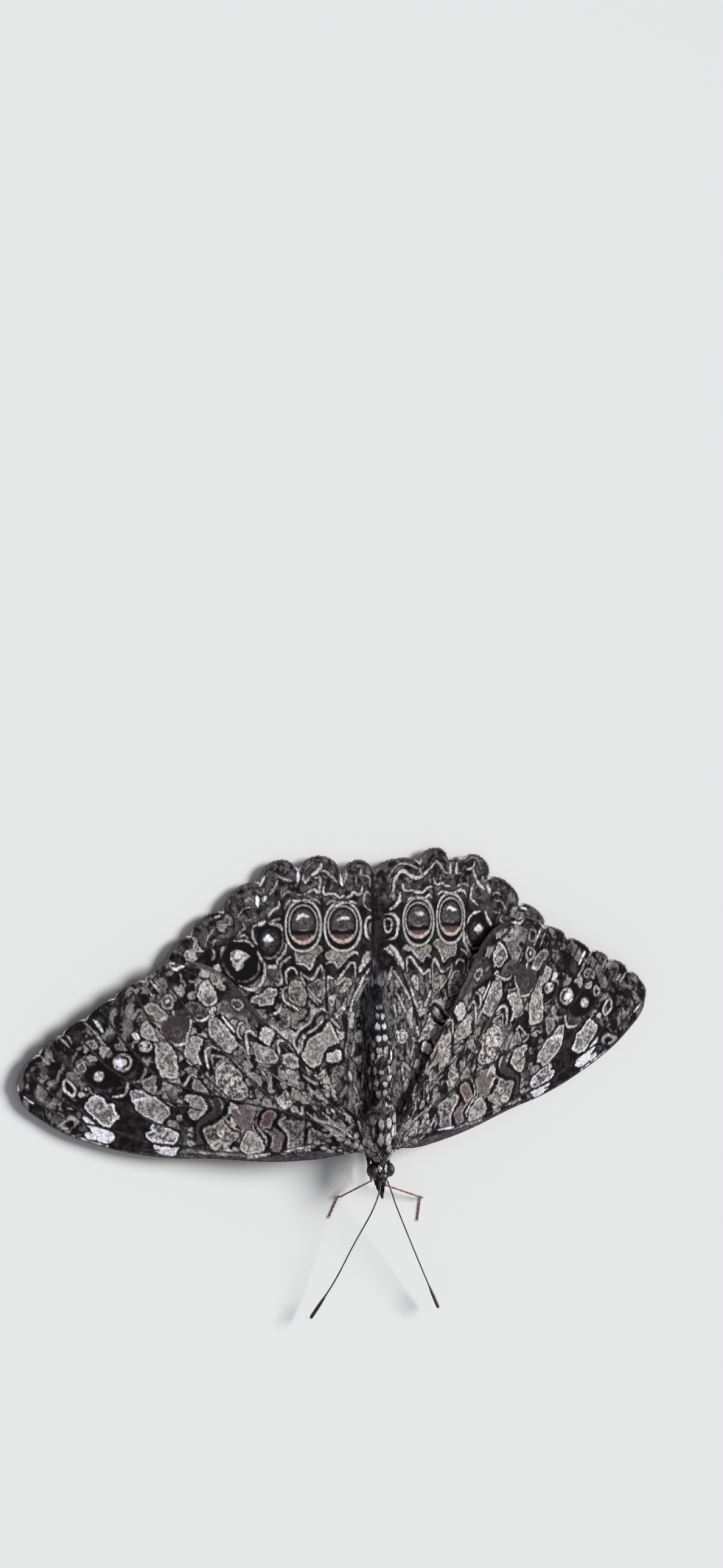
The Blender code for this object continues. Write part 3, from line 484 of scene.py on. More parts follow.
    (PALE, None, 0.1, 0.2, [(20.5, 12.95), (20.65, 13.8), (21.1, 13.85), (21.3, 12.95), (20.9, 12.75)]),
    (DIM, None, 0.8, 0.0, [(21.4, 12.8), (21.8, 13.6), (22.8, 14.0), (23.8, 13.9), (24.2, 13.2),
        (23.4, 12.5), (22.4, 12.5)]),
    (GREY, PALE, 0.7, 0.25, [(20.85, 14.4), (20.95, 15.2), (21.4, 15.9), (22.0, 16.2), (22.3, 16.7),
        (22.7, 16.4), (23.05, 15.6), (23.0, 14.7), (22.4, 14.2), (21.6, 13.95)]),
    (MID, GREY, 0.3, 0.1, [(20.1, 16.2), (20.7, 16.7), (21.1, 16.95), (21.3, 16.5), (21.8, 16.5),
        (21.2, 16.1), (20.6, 15.8)]),
]

# Drawn marks of the forewing: colour, width, dark edge and the points along it.
FORE_LINES = [
    (BLACK, 0.4, 0.0, [(6.2, 3.6), (6.9, 3.3), (7.1, 2.6), (6.8, 1.8), (6.7, 0.9)]),
    (BLACK, 0.3, 0.0, [(10.5, 4.5), (10.8, 3.6), (10.85, 3.0), (10.2, 2.45), (9.2, 1.95), (8.95, 1.4),
        (8.9, 0.5), (9.1, -0.4)]),
    (BLACK, 0.38, 0.0, [(10.8, -0.2), (10.65, 0.8), (10.95, 1.3), (11.8, 1.65), (12.5, 2.0), (12.8, 2.6),
        (12.7, 3.4), (12.6, 4.4)]),
    (BLACK, 0.35, 0.0, [(16.6, 4.7), (16.8, 3.8), (16.55, 3.0), (16.95, 2.3), (17.6, 1.7), (18.3, 1.2),
        (18.7, 0.6), (18.35, -0.2), (17.8, -0.9), (17.7, -1.5)]),
    (BLACK, 0.35, 0.0, [(19.0, 4.3), (18.45, 3.6), (18.35, 2.9), (18.9, 1.9), (19.4, 1.1), (19.35, 0.2),
        (19.05, -0.6), (18.9, -1.4)]),
    (BLACK, 0.4, 0.0, [(20.1, 10.1), (20.85, 9.9), (21.1, 9.2), (20.95, 8.5), (20.4, 7.7), (20.2, 7.1)]),
    (BLACK, 0.4, 0.0, [(12.7, 13.0), (13.2, 12.5), (13.35, 11.8), (13.5, 11.1)]),
    (PALE, 0.22, 0.1, [(4.5, 1.85), (5.0, 1.6), (5.8, 1.2)]),
    (WHITE, 0.22, 0.15, [(6.7, 0.85), (7.6, 0.45), (8.85, -0.1)]),
    (PALE, 0.16, 0.12, [(10.35, -0.6), (11.5, -0.95), (12.9, -1.3)]),
    (PALE, 0.16, 0.0, [(10.7, -0.85), (11.5, -1.12), (12.7, -1.5)]),
    (GREY, 0.16, 0.0, [(6.8, 2.9), (6.6, 2.2), (6.3, 1.65)]),
    (GREY, 0.16, 0.0, [(7.5, 2.7), (7.25, 2.1), (7.1, 1.4)]),
    (PALE, 0.18, 0.0, [(10.0, 3.8), (10.45, 3.2), (10.2, 2.8), (9.3, 2.25), (8.75, 1.7), (8.6, 1.2),
        (8.5, 0.4)]),
    (GREY, 0.14, 0.0, [(10.4, 0.1), (10.35, 0.9), (10.6, 1.4), (11.3, 1.75), (12.1, 1.95)]),
    (PALE, 0.14, 0.0, [(13.0, 4.1), (13.05, 3.3), (12.9, 2.6), (12.4, 1.9), (11.7, 1.4), (11.15, 0.95),
        (10.95, 0.2)]),
    (GREY, 0.13, 0.0, [(13.45, 3.7), (13.35, 2.8), (13.1, 2.1), (12.8, 1.6), (12.3, 1.2)]),
    (PALE, 0.22, 0.0, [(14.9, 3.1), (15.4, 3.5), (16.0, 4.0)]),
    (PALE, 0.2, 0.0, [(14.9, 1.75), (15.4, 2.0), (15.8, 2.5)]),
    (PALE, 0.16, 0.0, [(16.1, 3.3), (16.2, 2.7), (16.5, 2.2), (16.9, 1.7)]),
    (PALE, 0.2, 0.0, [(17.1, 3.3), (17.3, 3.8), (17.9, 4.35)]),
    (GREY, 0.2, 0.0, [(18.1, 3.2), (18.45, 3.7), (18.9, 4.1)]),
    (MID, 0.2, 0.0, [(24.3, 4.95), (24.3, 4.5), (24.15, 4.1)]),
    (WHITE, 0.28, 0.0, [(25.0, 2.85), (26.1, 2.5), (27.0, 2.05)]),
    (PALE, 0.2, 0.15, [(20.95, 6.1), (21.5, 6.3), (21.75, 5.8), (22.0, 5.0), (22.6, 4.65)]),
    (PALE, 0.28, 0.0, [(18.3, 8.2), (18.75, 7.6), (19.0, 7.1)]),
    (PALE, 0.28, 0.15, [(19.1, 9.45), (19.9, 9.65), (20.4, 9.5), (20.7, 9.0), (20.45, 8.5), (20.2, 7.9),
        (19.85, 7.3)]),
    (GREY, 0.24, 0.1, [(15.6, 7.6), (16.6, 8.2), (17.8, 8.9), (19.2, 9.75)]),
    (WHITE, 0.34, 0.2, [(17.85, 11.7), (18.6, 12.25), (19.6, 13.0)]),
    (PALE, 0.26, 0.2, [(17.25, 12.95), (17.6, 12.6), (17.65, 12.0), (17.35, 11.4), (16.9, 11.1)]),
    (PALE, 0.32, 0.15, [(15.4, 11.8), (16.2, 12.2), (16.6, 11.9), (16.35, 11.1), (16.1, 10.4),
        (15.8, 9.7)]),
    (GREY, 0.26, 0.0, [(16.0, 9.75), (16.8, 10.3), (17.4, 10.6)]),
    (PALE, 0.26, 0.15, [(11.9, 12.0), (12.6, 11.9), (12.8, 11.5), (12.5, 10.8), (12.2, 10.2)]),
    (GREY, 0.18, 0.1, [(9.6, 7.35), (11.0, 7.5), (12.2, 7.95), (13.4, 8.25)]),
    (GREY, 0.22, 0.1, [(13.0, 7.4), (13.6, 8.0), (14.25, 8.6)]),
    (GREY, 0.22, 0.1, [(12.9, 5.95), (14.0, 6.5), (15.2, 7.15)]),
    (MID, 0.2, 0.0, [(12.0, 5.6), (12.8, 5.55), (13.4, 5.85)]),
    (MID, 0.2, 0.0, [(6.9, 6.0), (7.7, 6.1), (8.6, 6.4), (9.5, 6.6)]),
    (GREY, 0.3, 0.0, [(7.5, 6.6), (7.8, 7.2), (8.3, 7.8)]),
    (GREY, 0.26, 0.0, [(7.4, 8.05), (8.2, 8.3), (9.1, 8.65)]),
    (GREY, 0.26, 0.0, [(3.2, 3.7), (4.2, 4.0), (5.0, 4.1), (6.2, 4.15), (7.7, 4.75)]),
    (MID, 0.32, 0.0, [(2.0, 4.6), (2.6, 3.8), (3.0, 3.4), (3.7, 3.3)]),
    (MID, 0.24, 0.0, [(4.9, 3.3), (5.5, 3.3)]),
    (MID, 0.4, 0.0, [(4.3, 2.8), (4.9, 2.6)]),
    (WHITE, 0.18, 0.12, [(28.3, -3.15), (30.0, -3.05), (31.5, -2.85), (32.6, -2.72)]),
    (PURPLE, 0.5, 0.0, [(31.3, -1.6), (31.9, -1.85)]),
    (GREY, 0.16, 0.0, [(31.2, 1.95), (31.7, 2.2), (32.1, 2.6)]),
    (MID, 0.14, 0.0, [(33.0, 1.0), (33.6, 1.2), (34.3, 1.7)]),
    (MID, 0.24, 0.0, [(32.6, 3.1), (33.0, 2.8), (33.3, 3.1)]),
    (GREY, 0.3, 0.15, [(31.7, 7.45), (32.5, 8.0), (33.0, 8.6)]),
    (WHITE, 0.36, 0.15, [(32.35, 8.8), (32.9, 9.3), (33.6, 9.8)]),
    (GREY, 0.22, 0.0, [(33.1, 8.5), (33.9, 9.0), (34.7, 9.45)]),
    (MID, 0.3, 0.0, [(33.4, 8.2), (34.2, 8.75)]),
    (GREY, 0.18, 0.0, [(28.3, 8.6), (28.85, 8.3), (28.7, 7.8)]),
    (GREY, 0.22, 0.0, [(26.75, 6.1), (26.6, 5.5), (26.75, 4.7), (27.0, 4.3), (27.7, 4.1)]),
    (PALE, 0.26, 0.0, [(28.15, 4.05), (27.95, 3.4), (28.0, 2.7), (28.5, 2.35), (29.3, 2.15)]),
    (MID, 0.16, 0.0, [(26.0, 6.8), (26.6, 6.7), (27.3, 6.85)]),
    (PALE, 0.4, 0.0, [(25.8, 11.7), (26.4, 11.35)]),
    (PALE, 0.32, 0.1, [(25.05, 12.1), (25.35, 12.6)]),
    (PALE, 0.3, 0.15, [(26.95, 13.95), (27.8, 14.6), (28.7, 15.25)]),
    (GREY, 0.22, 0.1, [(27.7, 13.4), (28.5, 14.1), (29.1, 14.65)]),
    (PALE, 0.3, 0.15, [(23.15, 12.05), (22.95, 11.3), (23.05, 10.3), (22.95, 9.6), (23.5, 9.2),
        (24.3, 9.05), (25.3, 9.5)]),
    (PALE, 0.22, 0.15, [(20.8, 13.3), (21.2, 12.8), (21.7, 12.3), (22.3, 12.1), (22.9, 12.35)]),
    (GREY, 0.22, 0.0, [(23.4, 16.7), (23.8, 16.1), (24.4, 16.1)]),
    (MID, 0.3, 0.0, [(19.4, 14.6), (20.1, 14.7)]),
    (WHITE, 0.32, 0.15, [(25.25, 17.55), (25.8, 17.25), (26.1, 17.0), (26.6, 17.05)]),
    (GREY, 0.2, 0.1, [(26.9, 17.8), (26.85, 17.0)]),
    (GREY, 0.26, 0.0, [(25.2, 16.1), (25.6, 16.65)]),
    (MID, 0.26, 0.0, [(24.6, 15.4), (24.9, 15.9), (25.3, 15.9)]),
    (WHITE, 0.24, 0.1, [(37.5, -0.12), (38.1, 0.1), (38.7, 0.42)]),
    (GREY, 0.18, 0.0, [(35.25, 6.85), (35.7, 7.35), (36.2, 7.7)]),
    (GREY, 0.18, 0.0, [(35.4, 6.45), (36.1, 6.95), (36.9, 7.35)]),
    (GREY, 0.26, 0.0, [(36.6, 4.72), (37.4, 5.15)]),
    (GREY, 0.22, 0.0, [(37.05, 4.3), (37.6, 4.6), (38.3, 5.05)]),
    (GREY, 0.18, 0.0, [(33.2, 0.05), (33.8, 0.05)]),
    (MID, 0.3, 0.0, [(34.4, 0.95), (34.55, 0.75)]),
]

# Closed drawn loops: colour, width, dark edge and the points round it.
FORE_LOOPS = [
    (GREY, 0.2, 0.1, [(18.35, 8.75), (18.9, 8.1), (19.25, 7.4), (19.6, 8.1), (19.85, 8.7), (19.1, 8.8)]),
    (PALE, 0.28, 0.15, [(33.4, 2.0), (33.9, 2.6), (34.7, 3.0), (34.9, 2.6), (34.6, 1.9), (33.9, 1.5),
        (33.5, 1.4)]),
    (GREY, 0.26, 0.1, [(33.05, 4.5), (33.5, 5.2), (33.95, 4.6), (33.35, 4.05)]),
    (MID, 0.18, 0.0, [(33.5, 6.5), (34.0, 6.9), (33.8, 7.3), (33.3, 7.0)]),
    (GREY, 0.3, 0.15, [(25.6, 12.8), (25.6, 13.7), (26.1, 14.1), (26.6, 13.8), (26.8, 13.3), (26.3, 12.7)]),
    (MID, 0.22, 0.0, [(26.7, 15.0), (27.3, 15.8), (27.9, 15.2), (27.5, 14.6), (26.95, 14.5)]),
    (GREY, 0.28, 0.15, [(17.7, 14.7), (18.3, 15.2), (19.0, 15.0), (18.85, 14.5), (18.1, 14.15)]),
    (GREY, 0.4, 0.1, [(32.4, -1.1), (33.1, -0.85), (33.6, -1.3), (34.1, -1.9), (33.4, -2.1), (32.7, -1.7)]),
    (PALE, 0.16, 0.0, [(16.0, 0.5), (16.35, 0.85), (16.75, 0.6), (16.4, 0.2)]),
    (PALE, 0.18, 0.0, [(16.3, -0.2), (16.1, -0.5), (16.6, -1.1), (17.1, -1.0)]),
    (DIM, 0.16, 0.0, [(23.8, 10.3), (24.1, 10.9), (24.8, 10.7), (24.6, 10.1), (24.1, 9.9)]),
    (GREY, 0.14, 0.0, [(30.8, 1.2), (31.2, 1.55), (31.6, 1.1), (31.2, 0.7)]),
]

# Soft grey smudges of the dark outer part: middle, radii and strength.
FORE_SMUDGES = [
    ((36.0, 0.2), (0.9, 0.5), 0.55), ((37.4, 1.2), (0.35, 0.6), 0.5), ((37.3, 3.4), (0.5, 0.4), 0.4),
    ((38.6, 2.8), (0.5, 0.3), 0.45), ((36.1, 5.3), (0.35, 0.6), 0.35), ((34.9, 4.9), (0.4, 0.7), 0.35),
    ((36.0, 2.2), (0.5, 0.35), 0.45), ((37.0, 0.4), (0.5, 0.35), 0.5), ((28.0, 5.5), (0.4, 0.9), 0.25),
    ((30.5, 2.8), (1.0, 0.25), 0.3), ((31.5, 8.8), (0.5, 0.9), 0.3), ((35.0, 7.8), (0.5, 0.6), 0.25),
    ((31.8, 11.2), (0.6, 0.5), 0.3), ((29.5, 11.3), (0.5, 0.5), 0.3), ((26.0, 15.0), (0.5, 0.5), 0.3),
    ((27.0, 1.0), (1.0, 0.5), 0.15), ((29.8, 13.0), (0.6, 0.4), 0.25), ((33.0, 9.9), (0.6, 0.5), 0.25),
]

# Pale grains on the forewing's root: middle and half sizes.
ROOT_GRAINS = [
    ((0.6, 1.4), (0.35, 0.22)), ((1.6, 1.1), (0.4, 0.2)), ((1.2, 2.3), (0.3, 0.4)), ((2.5, 1.3),
    (0.28, 0.18)), ((2.2, 2.4), (0.4, 0.24)), ((3.3, 1.5), (0.36, 0.2)), ((0.3, 2.9), (0.24, 0.4)),
    ((3.2, 2.6), (0.42, 0.22)), ((4.4, 1.2), (0.45, 0.2)), ((-0.4, 1.9), (0.24, 0.36)), ((1.4, 3.4),
    (0.3, 0.34)), ((4.3, 2.2), (0.36, 0.24)), ((5.4, 1.7), (0.4, 0.3)), ((5.6, 2.7), (0.3, 0.3)),
]
COSTA_STRIP = [
    (1.0, 1.5), (3.0, 0.95), (5.0, 0.7), (7.0, 0.1), (9.0, -0.5), (11.0, -1.15), (13.0, -1.55),
    (16.0, -2.0), (20.0, -2.75), (24.0, -3.05), (28.0, -3.2), (33.0, -2.6), (37.0, -1.2),
]
INNER_BAND = [
    (8.0, 9.4), (11.0, 11.6), (14.5, 13.2), (17.0, 13.5), (20.2, 13.6), (20.3, 15.2), (19.6, 16.2),
    (20.6, 17.2), (23.0, 17.6), (25.0, 17.4), (25.0, 19.0), (20.0, 18.2), (15.0, 15.0), (8.0, 10.2),
]


# Where the left forewing has its marks, and how far they lie from the right one's.
FORE_SHIFTS = [
    ((26.6, 17.9), (0.65, 0.5)), ((22.8, 15.3), (0.8, 0.0)), ((18.0, 15.0), (0.9, -0.2)), ((15.2, 11.8),
    (1.0, -0.35)), ((11.3, 9.8), (0.8, -0.4)), ((7.0, 7.3), (0.5, -0.3)), ((19.5, 11.0), (0.4, -0.1)),
    ((26.5, 13.5), (0.5, 0.0)), ((23.5, 10.3), (0.4, 0.1)), ((27.1, 8.6), (-0.1, 0.35)), ((29.1, 6.5),
    (-0.2, 0.5)), ((22.0, 9.0), (0.2, 0.1)), ((24.0, 7.0), (0.0, 0.0)), ((31.3, 4.5), (-0.2, 0.4)),
    ((29.3, -2.1), (-0.6, 0.0)), ((22.0, -2.5), (-0.35, -0.1)), ((15.0, 0.0), (0.0, 0.0)), ((10.0, 4.0),
    (0.1, -0.1)), ((17.0, 6.0), (0.1, 0.0)), ((37.0, 3.0), (-0.2, 0.1)), ((32.0, 11.0), (0.1, 0.3)),
]
SHIFT_SPREAD = 2.0
# The black grounds of the forewing's three spots beyond its middle: middle and half sizes.
EYESPOT_GROUNDS = (((31.0, 4.05), (2.1, 1.35)), ((29.25, 6.0), (1.55, 1.5)), ((27.3, 8.15), (1.25, 1.2)))


def shifted(places, shifts):
    """Places moved back by a smooth mix of the shifts known near them."""
    total, moved = np.full(len(places), 0.05), np.zeros((len(places), 2))
    for spot, shift in shifts:
        away = ((places - np.array(spot)) ** 2).sum(axis=1)
        weight = np.exp(-away / (2 * SHIFT_SPREAD ** 2))
        total = total + weight
        moved = moved + weight[:, None] * np.array(shift)
    return places - moved / total[:, None]


def paint_forewing(places, side):
    """The forewing's upper side: islands of grey, then the marks that the photo shows."""
    seed = 7 + side
    if side > 0:
        places = shifted(places, FORE_SHIFTS)
    canvas = Canvas(places, BLACK, seed)
    u, v = places[:, 0], places[:, 1]
    everywhere = np.arange(len(places))
    canvas.lay(everywhere, 0.9 * step_up(noise(places, 0.45, seed + 20), 0.3, 0.75), DARK)
    inner = 1 - step_up(u + 0.3 * v, 17.5, 22.5)
    root = (-5.0, -3.5)
    canvas.islands(inner, root, 1.5, 0.62, 0.56, DIM, GREY, PALE, seed + 30)
    canvas.islands(inner * step_up(v, 3.0, 5.0), root, 1.1, 0.45, 0.32, MID, GREY, None, seed + 34)
    outer = (1 - inner) * (1 - step_up(u - 0.25 * v, 26.0, 31.0)) * step_up(v, 2.5, 4.5)
    canvas.islands(outer, root, 1.1, 0.62, 0.42, DIM, GREY, GREY, seed + 32)
    rim = step_up(u + 0.2 * v, 28.0, 31.0)
    canvas.islands(rim, root, 0.55, 0.4, 0.34, DIM, MID, None, seed + 36)
    band = step_up(depth_inside(places, as_array(INNER_BAND)), -0.15, 0.2)
    canvas.lay(everywhere, 0.75 * band, BROWN)
    for middle, radii, strength in FORE_SMUDGES:
        canvas.disc(middle, radii, GREY, 0.25, strength, 0.5)
    for middle, radii in EYESPOT_GROUNDS:
        canvas.disc(middle, radii, BLACK, 0.25)
    for vein in FORE_VEINS:
        canvas.stroke(vein, 0.12, BROWN, 0.08, 0.0)
    for fill, rim, mottle, halo, points in FORE_PATCHES:
        canvas.patch(points, fill, rim, halo, mottle)
    for colour, width, halo, points in FORE_LINES:
        canvas.stroke(points, width, colour, halo)
    for colour, width, halo, points in FORE_LOOPS:
        canvas.stroke(points, width, colour, halo, closed=True)
    canvas.disc((31.35, 4.05), (0.58, 0.6), PALE, mottle=0.35)
    canvas.disc((29.3, 6.0), (1.05, 1.0), PALE, mottle=0.5)
    canvas.ring((29.3, 6.0), (0.62, 0.6), 0.22, BLACK, start=60, end=250)
    canvas.disc((29.5, 5.9), (0.38, 0.35), WHITE)
    canvas.disc((27.35, 8.2), (0.78, 0.6), PALE, mottle=0.4)
    canvas.disc((26.95, 8.3), (0.16, 0.2), BLACK, 0.08)
    canvas.disc((27.85, 8.15), (0.13, 0.16), BLACK, 0.08)
    canvas.disc((26.2, 13.4), (0.2, 0.25), PALE)
    canvas.disc((32.62, 1.75), (0.38, 0.3), PALE)
    canvas.disc((32.35, 2.4), (0.16, 0.16), PALE)
    canvas.disc((33.0, -1.55), (0.42, 0.4), BLACK)
    for vein in FORE_VEINS[4:10]:
        canvas.stroke(vein, 0.1, BROWN, 0.05, 0.0)
    costa = as_array(curve_through(COSTA_STRIP, CURVE_STEP))
    edge = np.interp(u, costa[:, 0], costa[:, 1])
    strip = step_up(edge - v + canvas.edge, -0.08, 0.12)
    canvas.lay(everywhere, strip, PURPLE)
    canvas.lay(everywhere, strip * 0.6 * step_up(canvas.blotch, 0.4, 0.6), DARK)
    for middle, radii in ROOT_GRAINS:
        canvas.disc(middle, (radii[0] + 0.14, radii[1] + 0.14), BLACK, 0.08, 0.8)
        canvas.disc(middle, radii, GREY, 0.08, 1.0, 0.1)
    canvas.speckle(0.5)
    return canvas


HIND_PATCHES = [
    (GREY, PALE, 0.35, 0.3, [(4.3, 14.1), (5.0, 13.0), (6.3, 12.4), (6.8, 12.0), (7.1, 11.2), (7.5, 10.3),
        (7.0, 9.6), (6.4, 9.05), (5.4, 9.3), (5.1, 10.1), (4.8, 10.9), (4.2, 11.3), (3.0, 11.8),
        (3.4, 12.6)]),
    (PALE, None, 0.2, 0.45, [(2.8, 10.1), (3.0, 10.8), (3.4, 11.0), (3.9, 10.6), (4.4, 10.5), (4.6, 10.0),
        (4.3, 9.6), (3.7, 9.5), (3.0, 9.7)]),
    (GREY, PALE, 0.55, 0.35, [(10.5, 17.7), (10.8, 16.7), (11.0, 16.15), (12.0, 16.1), (13.0, 16.3),
        (13.5, 16.7), (13.2, 17.1), (12.4, 17.3), (12.0, 17.7), (11.4, 18.0)]),
    (OLIVE, GREY, 0.4, 0.2, [(0.6, 21.6), (0.8, 22.0), (2.0, 21.8), (3.2, 22.1), (4.6, 21.8), (4.6, 21.3),
        (4.2, 21.0), (4.5, 20.6), (3.7, 20.7), (3.1, 20.0), (2.6, 20.6), (1.9, 21.3)]),
    (OLIVE, GREY, 0.4, 0.2, [(5.0, 22.0), (5.3, 22.5), (6.2, 22.6), (7.0, 22.4), (8.2, 22.1), (8.3, 21.4),
        (8.1, 20.8), (7.2, 20.6), (6.5, 20.0), (6.2, 20.8), (5.8, 21.6)]),
    (GREY, PALE, 0.3, 0.2, [(-1.9, 21.6), (-1.3, 22.0), (-0.5, 21.7), (0.1, 21.0), (0.7, 19.3), (0.0, 19.9),
        (-0.8, 20.9)]),
    (MID, GREY, 0.85, 0.2, [(7.0, 17.4), (7.6, 18.6), (8.3, 18.9), (8.8, 18.6), (9.1, 17.6), (9.0, 16.6),
        (8.2, 16.2), (7.3, 15.8), (6.95, 16.6)]),
    (MID, None, 0.7, 0.15, [(5.0, 18.2), (5.4, 18.9), (6.0, 18.5), (6.6, 18.4), (6.9, 17.9), (6.2, 17.4),
        (5.6, 16.9), (5.1, 17.0)]),
    (MID, None, 0.75, 0.1, [(8.9, 14.2), (9.0, 15.2), (9.6, 15.4), (10.0, 14.6), (10.5, 13.9), (10.0, 13.4),
        (9.2, 13.6)]),
    (MID, None, 0.6, 0.2, [(15.7, 25.1), (16.0, 26.1), (16.5, 26.2), (16.8, 25.6), (17.6, 25.4),
        (17.4, 24.4), (16.6, 24.3), (16.4, 25.0)]),
    (GREY, None, 0.65, 0.2, [(19.0, 22.2), (19.6, 22.8), (19.9, 23.7), (20.4, 23.7), (20.1, 23.1),
        (20.5, 22.4), (21.2, 22.2), (21.1, 21.4), (20.4, 21.0), (19.8, 21.3), (19.9, 22.0)]),
    (MID, GREY, 0.5, 0.2, [(15.6, 23.3), (16.1, 22.9), (16.6, 22.7), (17.0, 22.6), (17.1, 21.9),
        (16.95, 21.2), (16.7, 21.8), (16.3, 22.5)]),
    (DIM, None, 0.5, 0.0, [(10.2, 20.1), (10.4, 20.2), (11.8, 20.1), (11.7, 19.0), (11.2, 18.2),
        (10.6, 18.9), (10.3, 19.4)]),
    (PALE, None, 0.4, 0.15, [(16.9, 20.0), (17.2, 20.7), (17.8, 20.5), (17.5, 20.1)]),
]

HIND_LINES = [
    # The dark loop round the end of the cell.
    (BLACK, 0.5, 0.0, [(4.75, 14.6), (4.9, 15.0), (5.3, 15.05), (5.9, 14.6), (6.4, 13.8), (7.4, 13.1),
        (7.9, 12.5), (8.15, 11.9), (8.0, 11.4)]),
    (BLACK, 0.45, 0.0, [(4.65, 14.4), (5.1, 13.6), (6.0, 12.9), (6.8, 12.4), (7.2, 11.6), (7.4, 10.8)]),
    (PALE, 0.2, 0.1, [(4.95, 14.4), (5.4, 13.8), (6.2, 13.2), (7.0, 12.8)]),
    (PALE, 0.2, 0.1, [(7.5, 12.3), (7.9, 12.0), (7.7, 11.5)]),
    (PALE, 0.26, 0.0, [(4.4, 15.1), (5.0, 15.5), (5.8, 15.4), (6.3, 14.7), (6.6, 14.1), (7.4, 13.6),
        (8.0, 13.1), (8.5, 12.4), (8.45, 11.5), (8.1, 11.1)]),
    (GREY, 0.5, 0.0, [(5.6, 15.5), (6.3, 15.3), (6.5, 14.8)]),
    # Dark lines beside the veins.
    (BLACK, 0.3, 0.0, [(4.6, 20.5), (4.62, 18.5), (4.6, 16.5), (4.55, 15.2)]),
    (BLACK, 0.32, 0.0, [(2.5, 9.5), (2.3, 12.0), (2.1, 14.0), (1.6, 15.8), (1.0, 17.4)]),
    (BLACK, 0.3, 0.0, [(6.8, 17.9), (6.85, 16.8), (7.0, 15.6)]),
    (BLACK, 0.35, 0.0, [(10.3, 18.0), (10.3, 17.0), (10.8, 16.0), (12.0, 15.8), (13.2, 15.9)]),
    (BLACK, 0.3, 0.0, [(0.3, 18.9), (0.9, 17.6), (1.5, 16.4), (2.0, 15.2)]),
    # The pale zigzag across the middle.
    (PALE, 0.26, 0.15, [(1.0, 19.0), (1.0, 19.8), (1.05, 20.55), (1.6, 20.55), (2.1, 19.9), (2.7, 19.2),
        (3.2, 18.6), (3.8, 18.9), (4.3, 19.1), (4.35, 18.4), (4.4, 17.6)]),
    (PALE, 0.24, 0.15, [(4.95, 19.0), (5.0, 19.8), (5.25, 20.4), (5.6, 19.8), (6.0, 19.0), (6.5, 18.85),
        (7.1, 19.2), (7.5, 19.4)]),
    (GREY, 0.24, 0.1, [(4.85, 19.9), (4.9, 18.9), (4.85, 17.6), (5.1, 16.5)]),
    (PALE, 0.24, 0.15, [(8.1, 19.5), (8.4, 20.1), (8.9, 20.2), (9.35, 19.8), (9.4, 19.0), (9.2, 18.2)]),
    (PALE, 0.3, 0.15, [(10.1, 20.3), (10.0, 19.6), (9.9, 19.0), (10.1, 18.5), (10.45, 18.3), (10.6, 18.6)]),
    (PALE, 0.28, 0.15, [(9.2, 18.1), (9.7, 17.8), (9.75, 17.1), (9.4, 16.4), (8.6, 15.9), (7.6, 15.2)]),
    (PALE, 0.26, 0.15, [(9.9, 16.2), (10.1, 15.6), (10.6, 15.2), (11.3, 15.0), (11.5, 14.6)]),
    (GREY, 0.3, 0.1, [(5.2, 16.3), (6.0, 17.0), (6.8, 17.9)]),
    (GREY, 0.22, 0.1, [(7.6, 19.6), (7.4, 18.8), (7.1, 18.1)]),
    (PALE, 0.2, 0.15, [(0.15, 9.0), (0.25, 7.8), (0.4, 6.6)]),
    (BLACK, 0.35, 0.0, [(4.3, 9.2), (4.4, 8.5), (4.3, 7.9)]),
    # Greenish grey lines above the eyespots and the marks near the margin.
    (PALE, 0.24, 0.1, [(0.55, 21.4), (0.9, 21.8), (1.6, 21.5), (2.2, 20.9), (3.1, 20.0)]),
    (PALE, 0.22, 0.1, [(3.1, 20.0), (3.5, 20.7), (4.1, 20.8), (4.6, 20.5)]),
    (PALE, 0.24, 0.1, [(5.0, 22.1), (5.7, 21.6), (6.1, 20.9), (6.5, 20.0), (7.1, 20.5), (8.1, 20.7)]),
    (GREY, 0.24, 0.15, [(8.9, 21.4), (9.4, 21.1), (9.9, 20.7), (10.1, 20.2)]),
    (GREY, 0.16, 0.0, [(13.4, 27.7), (13.8, 28.0), (14.4, 27.6)]),
    (GREY, 0.2, 0.1, [(13.6, 27.0), (14.4, 26.9), (14.9, 26.3), (15.2, 25.7)]),
    (GREY, 0.24, 0.1, [(14.6, 25.3), (14.3, 24.7), (14.8, 24.3), (15.2, 23.7)]),
    (GREY, 0.22, 0.1, [(13.0, 25.9), (13.7, 25.6), (14.2, 25.5), (14.1, 26.0)]),
    (GREY, 0.24, 0.1, [(17.4, 23.4), (17.9, 23.3), (18.0, 22.8)]),
    (GREY, 0.26, 0.1, [(18.0, 22.4), (17.8, 21.8), (18.0, 21.2)]),
    (GREY, 0.18, 0.1, [(17.8, 24.8), (18.3, 24.2), (18.7, 23.4), (18.9, 22.6)]),
    (WHITE, 0.3, 0.1, [(21.2, 20.7), (21.8, 20.4), (22.4, 20.3)]),
    (WHITE, 0.26, 0.1, [(17.2, 26.1), (17.9, 25.85)]),
    (GREY, 0.24, 0.1, [(20.4, 24.2), (20.8, 23.7)]),
]

